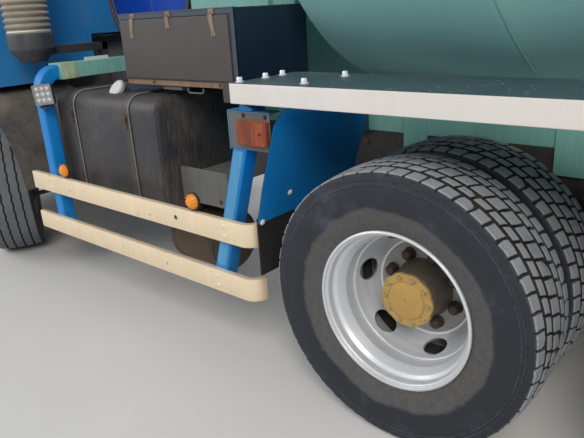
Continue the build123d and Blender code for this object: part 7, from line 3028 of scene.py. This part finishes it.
@dataclass
class Studio:
    """Pale floor, soft light and the camera."""

    eye: Point = (-1.745, 2.8318, 1.5676)
    forward: Point = (0.6266, -0.7040, -0.3343)
    roll: float = math.radians(-3.478)
    focal: float = 591.3
    width: float = 584.0
    floor_size: float = 60.0

    def build(self) -> None:
        """Build the floor, the lamps and the camera."""
        self._floor()
        self._world()
        self._lamps()
        self._camera()

    def _floor(self) -> None:
        """Lay a pale floor with a faint grain."""
        mesh = bmesh.new()
        half, cells = self.floor_size / 2, 24
        rows = [
            [
                mesh.verts.new((-half + self.floor_size * i / cells, -half + self.floor_size * j / cells, 0))
                for i in range(cells + 1)
            ]
            for j in range(cells + 1)
        ]
        for below, above in zip(rows, rows[1:]):
            for index in range(cells):
                mesh.faces.new((below[index], below[index + 1], above[index + 1], above[index]))
        data = bpy.data.meshes.new("studio_floor")
        mesh.to_mesh(data)
        mesh.free()
        floor = bpy.data.objects.new("studio_floor", data)
        bpy.context.scene.collection.objects.link(floor)
        material = bpy.data.materials.new("studio floor")
        material.use_nodes = True
        tree = Tree(material.node_tree)
        shader = material.node_tree.nodes["Principled BSDF"]
        place = tree.add("TexCoord").outputs["Object"]
        shade = tree.noise(place, 0.8, 5, 0.6)
        tree.put(
            shader.inputs["Base Color"],
            tree.mix(tree.ramp(shade, 0.2, 0.8), linear(206, 204, 200), linear(214, 212, 208))
        )
        shader.inputs["Roughness"].default_value = 0.85
        data.materials.append(material)
        floor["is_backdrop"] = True

    @staticmethod
    def _world() -> None:
        """Fill the room with soft light and show a pale background."""
        world = bpy.data.worlds.new("studio room")
        bpy.context.scene.world = world
        world.use_nodes = True
        tree = Tree(world.node_tree)
        nodes = world.node_tree.nodes
        back = nodes["Background"]
        back.inputs["Color"].default_value = (0.86, 0.90, 1.0, 1.0)
        back.inputs["Strength"].default_value = 0.55
        pale = tree.add("Background")
        pale.inputs["Color"].default_value = (0.80, 0.81, 0.83, 1.0)
        pale.inputs["Strength"].default_value = 1.0
        path = tree.add("LightPath")
        seen = tree.math("MAXIMUM", path.outputs["Is Camera Ray"], path.outputs["Is Transmission Ray"])
        mix = tree.add("MixShader")
        tree.put(mix.inputs[0], seen)
        tree.put(mix.inputs[1], back.outputs[0])
        tree.put(mix.inputs[2], pale.outputs[0])
        tree.put(nodes["World Output"].inputs["Surface"], mix.outputs[0])

    @staticmethod
    def _lamps() -> None:
        """Hang the large soft lamps."""
        plan = (
            ("key", (-6.5, 8.5, 8.5), 5.5, 900, (1.0, 0.96, 0.90)),
            ("fill", (7.5, 7.0, 5.0), 6.0, 320, (0.92, 0.96, 1.0)),
            ("rear", (-9.0, -7.0, 7.0), 6.0, 420, (0.95, 0.97, 1.0)),
            ("right", (5.0, -9.0, 6.5), 6.0, 420, (0.97, 0.98, 1.0)),
        )
        for name, place, size, power, tint in plan:
            light = bpy.data.lights.new(name, "AREA")
            light.shape = "DISK"
            light.size = size
            light.energy = power
            light.color = tint
            lamp = bpy.data.objects.new(name, light)
            bpy.context.scene.collection.objects.link(lamp)
            lamp.location = place
            aim = Vector((0, 0, 1.0)) - Vector(place)
            lamp.rotation_euler = aim.to_track_quat("-Z", "Y").to_euler()

    def _camera(self) -> None:
        """Set the camera at the photograph's view."""
        ahead = Vector(self.forward).normalized()
        right = ahead.cross(Vector((0, 0, 1))).normalized()
        up = right.cross(ahead)
        rolled_right = right * math.cos(self.roll) + up * math.sin(self.roll)
        rolled_up = up * math.cos(self.roll) - right * math.sin(self.roll)
        camera = bpy.data.cameras.new("camera")
        camera.sensor_fit = "HORIZONTAL"
        camera.sensor_width = 36.0
        camera.lens = self.focal / self.width * 36.0
        camera.clip_start = 0.05
        camera.clip_end = 200.0
        holder = bpy.data.objects.new("camera", camera)
        bpy.context.scene.collection.objects.link(holder)
        turn = Matrix((rolled_right, rolled_up, -ahead)).transposed().to_4x4()
        holder.matrix_world = Matrix.Translation(Vector(self.eye)) @ turn
        bpy.context.scene.camera = holder


# ------------------------------------------------------------------------- the truck


def plain_nodes(frame: Frame) -> None:
    """Dress the CAD nodes that keep their own shape.

    Args:
        frame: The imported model.
    """
    works = Paintwork
    plan: dict[str, AnyFinish] = {
        "chassis_frame": works.chassis, "axles": works.chassis, "suspension": works.chassis,
        "engine": works.drivetrain, "knuckle_left": works.chassis, "knuckle_right": works.chassis,
        "track_rod": works.chassis, "hopper_frame": works.mixer_green, "rear_ladder": works.mixer_green,
        "subframe": works.mixer_green, "front_pedestal": works.mixer_green,
        "rear_pedestal": works.mixer_green, "hopper": works.hopper_green, "main_chute": works.hopper_green,
        "chute_extension": works.hopper_green, "chute_swivel": works.hopper_green,
        # The deck edges' finish carries a painted sky reflection along its edges.
        "deck_edges": works.edge_strip_sky_glint, "deck_plates": works.deck, "rear_mudguards": works.blue,
        "mud_flaps": works.flap, "front_mudguards": works.plastic, "cab_shell": works.cab,
        "door_left": works.cab, "door_right": works.cab, "cab_interior": works.seat, "grille": works.trim,
        "mirrors": works.trim, "front_bumper": works.bumper, "lamps_red": works.red,
    }
    wide = {"cab_shell": 0.03, "door_left": 0.006, "door_right": 0.006, "front_bumper": 0.012}
    for node, finish in plan.items():
        frame.dress(node, finish, wide.get(node, 0.003))
    for node in ("cab_glass", "door_glass_left", "door_glass_right"):
        frame.dress(node, works.glazing, 0.0)


def sizes(label: str, box: object) -> list[list[float]]:
    """Report a box and return its two corners as plain lists.

    Args:
        label: What the box is of.
        box: Lowest and highest corner.

    Returns:
        The corners.
    """
    corners = [[float(value) for value in corner] for corner in box]
    LOG.info("%s box %s", label, corners)
    return corners


def main() -> None:
    """Build the truck's looks piece by piece."""
    logging.basicConfig(level=logging.INFO, format="%(name)s: %(message)s")
    for thing in list(bpy.data.objects):
        bpy.data.objects.remove(thing)
    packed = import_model()
    cad_box = sizes("CAD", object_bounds())
    frame = Frame(packed["nodes"])
    bpy.context.scene.view_settings.view_transform = "Standard"
    plain_nodes(frame)
    parts = (
        RearWheels(), FrontWheels(), MixerDrum(), SideGuard(), Lamps(), FuelTank(), Toolbox(), AirTanks(),
        WaterTank(), AirIntake(), DeckTrim(), FrameBolts(), CabTrim(), Studio(),
    )
    for part in parts:
        part.build()
        LOG.info("built %s", type(part).__name__)
    {"cad": cad_box, "visual": sizes("visual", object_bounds())}


if __name__ == "__main__":
    main()
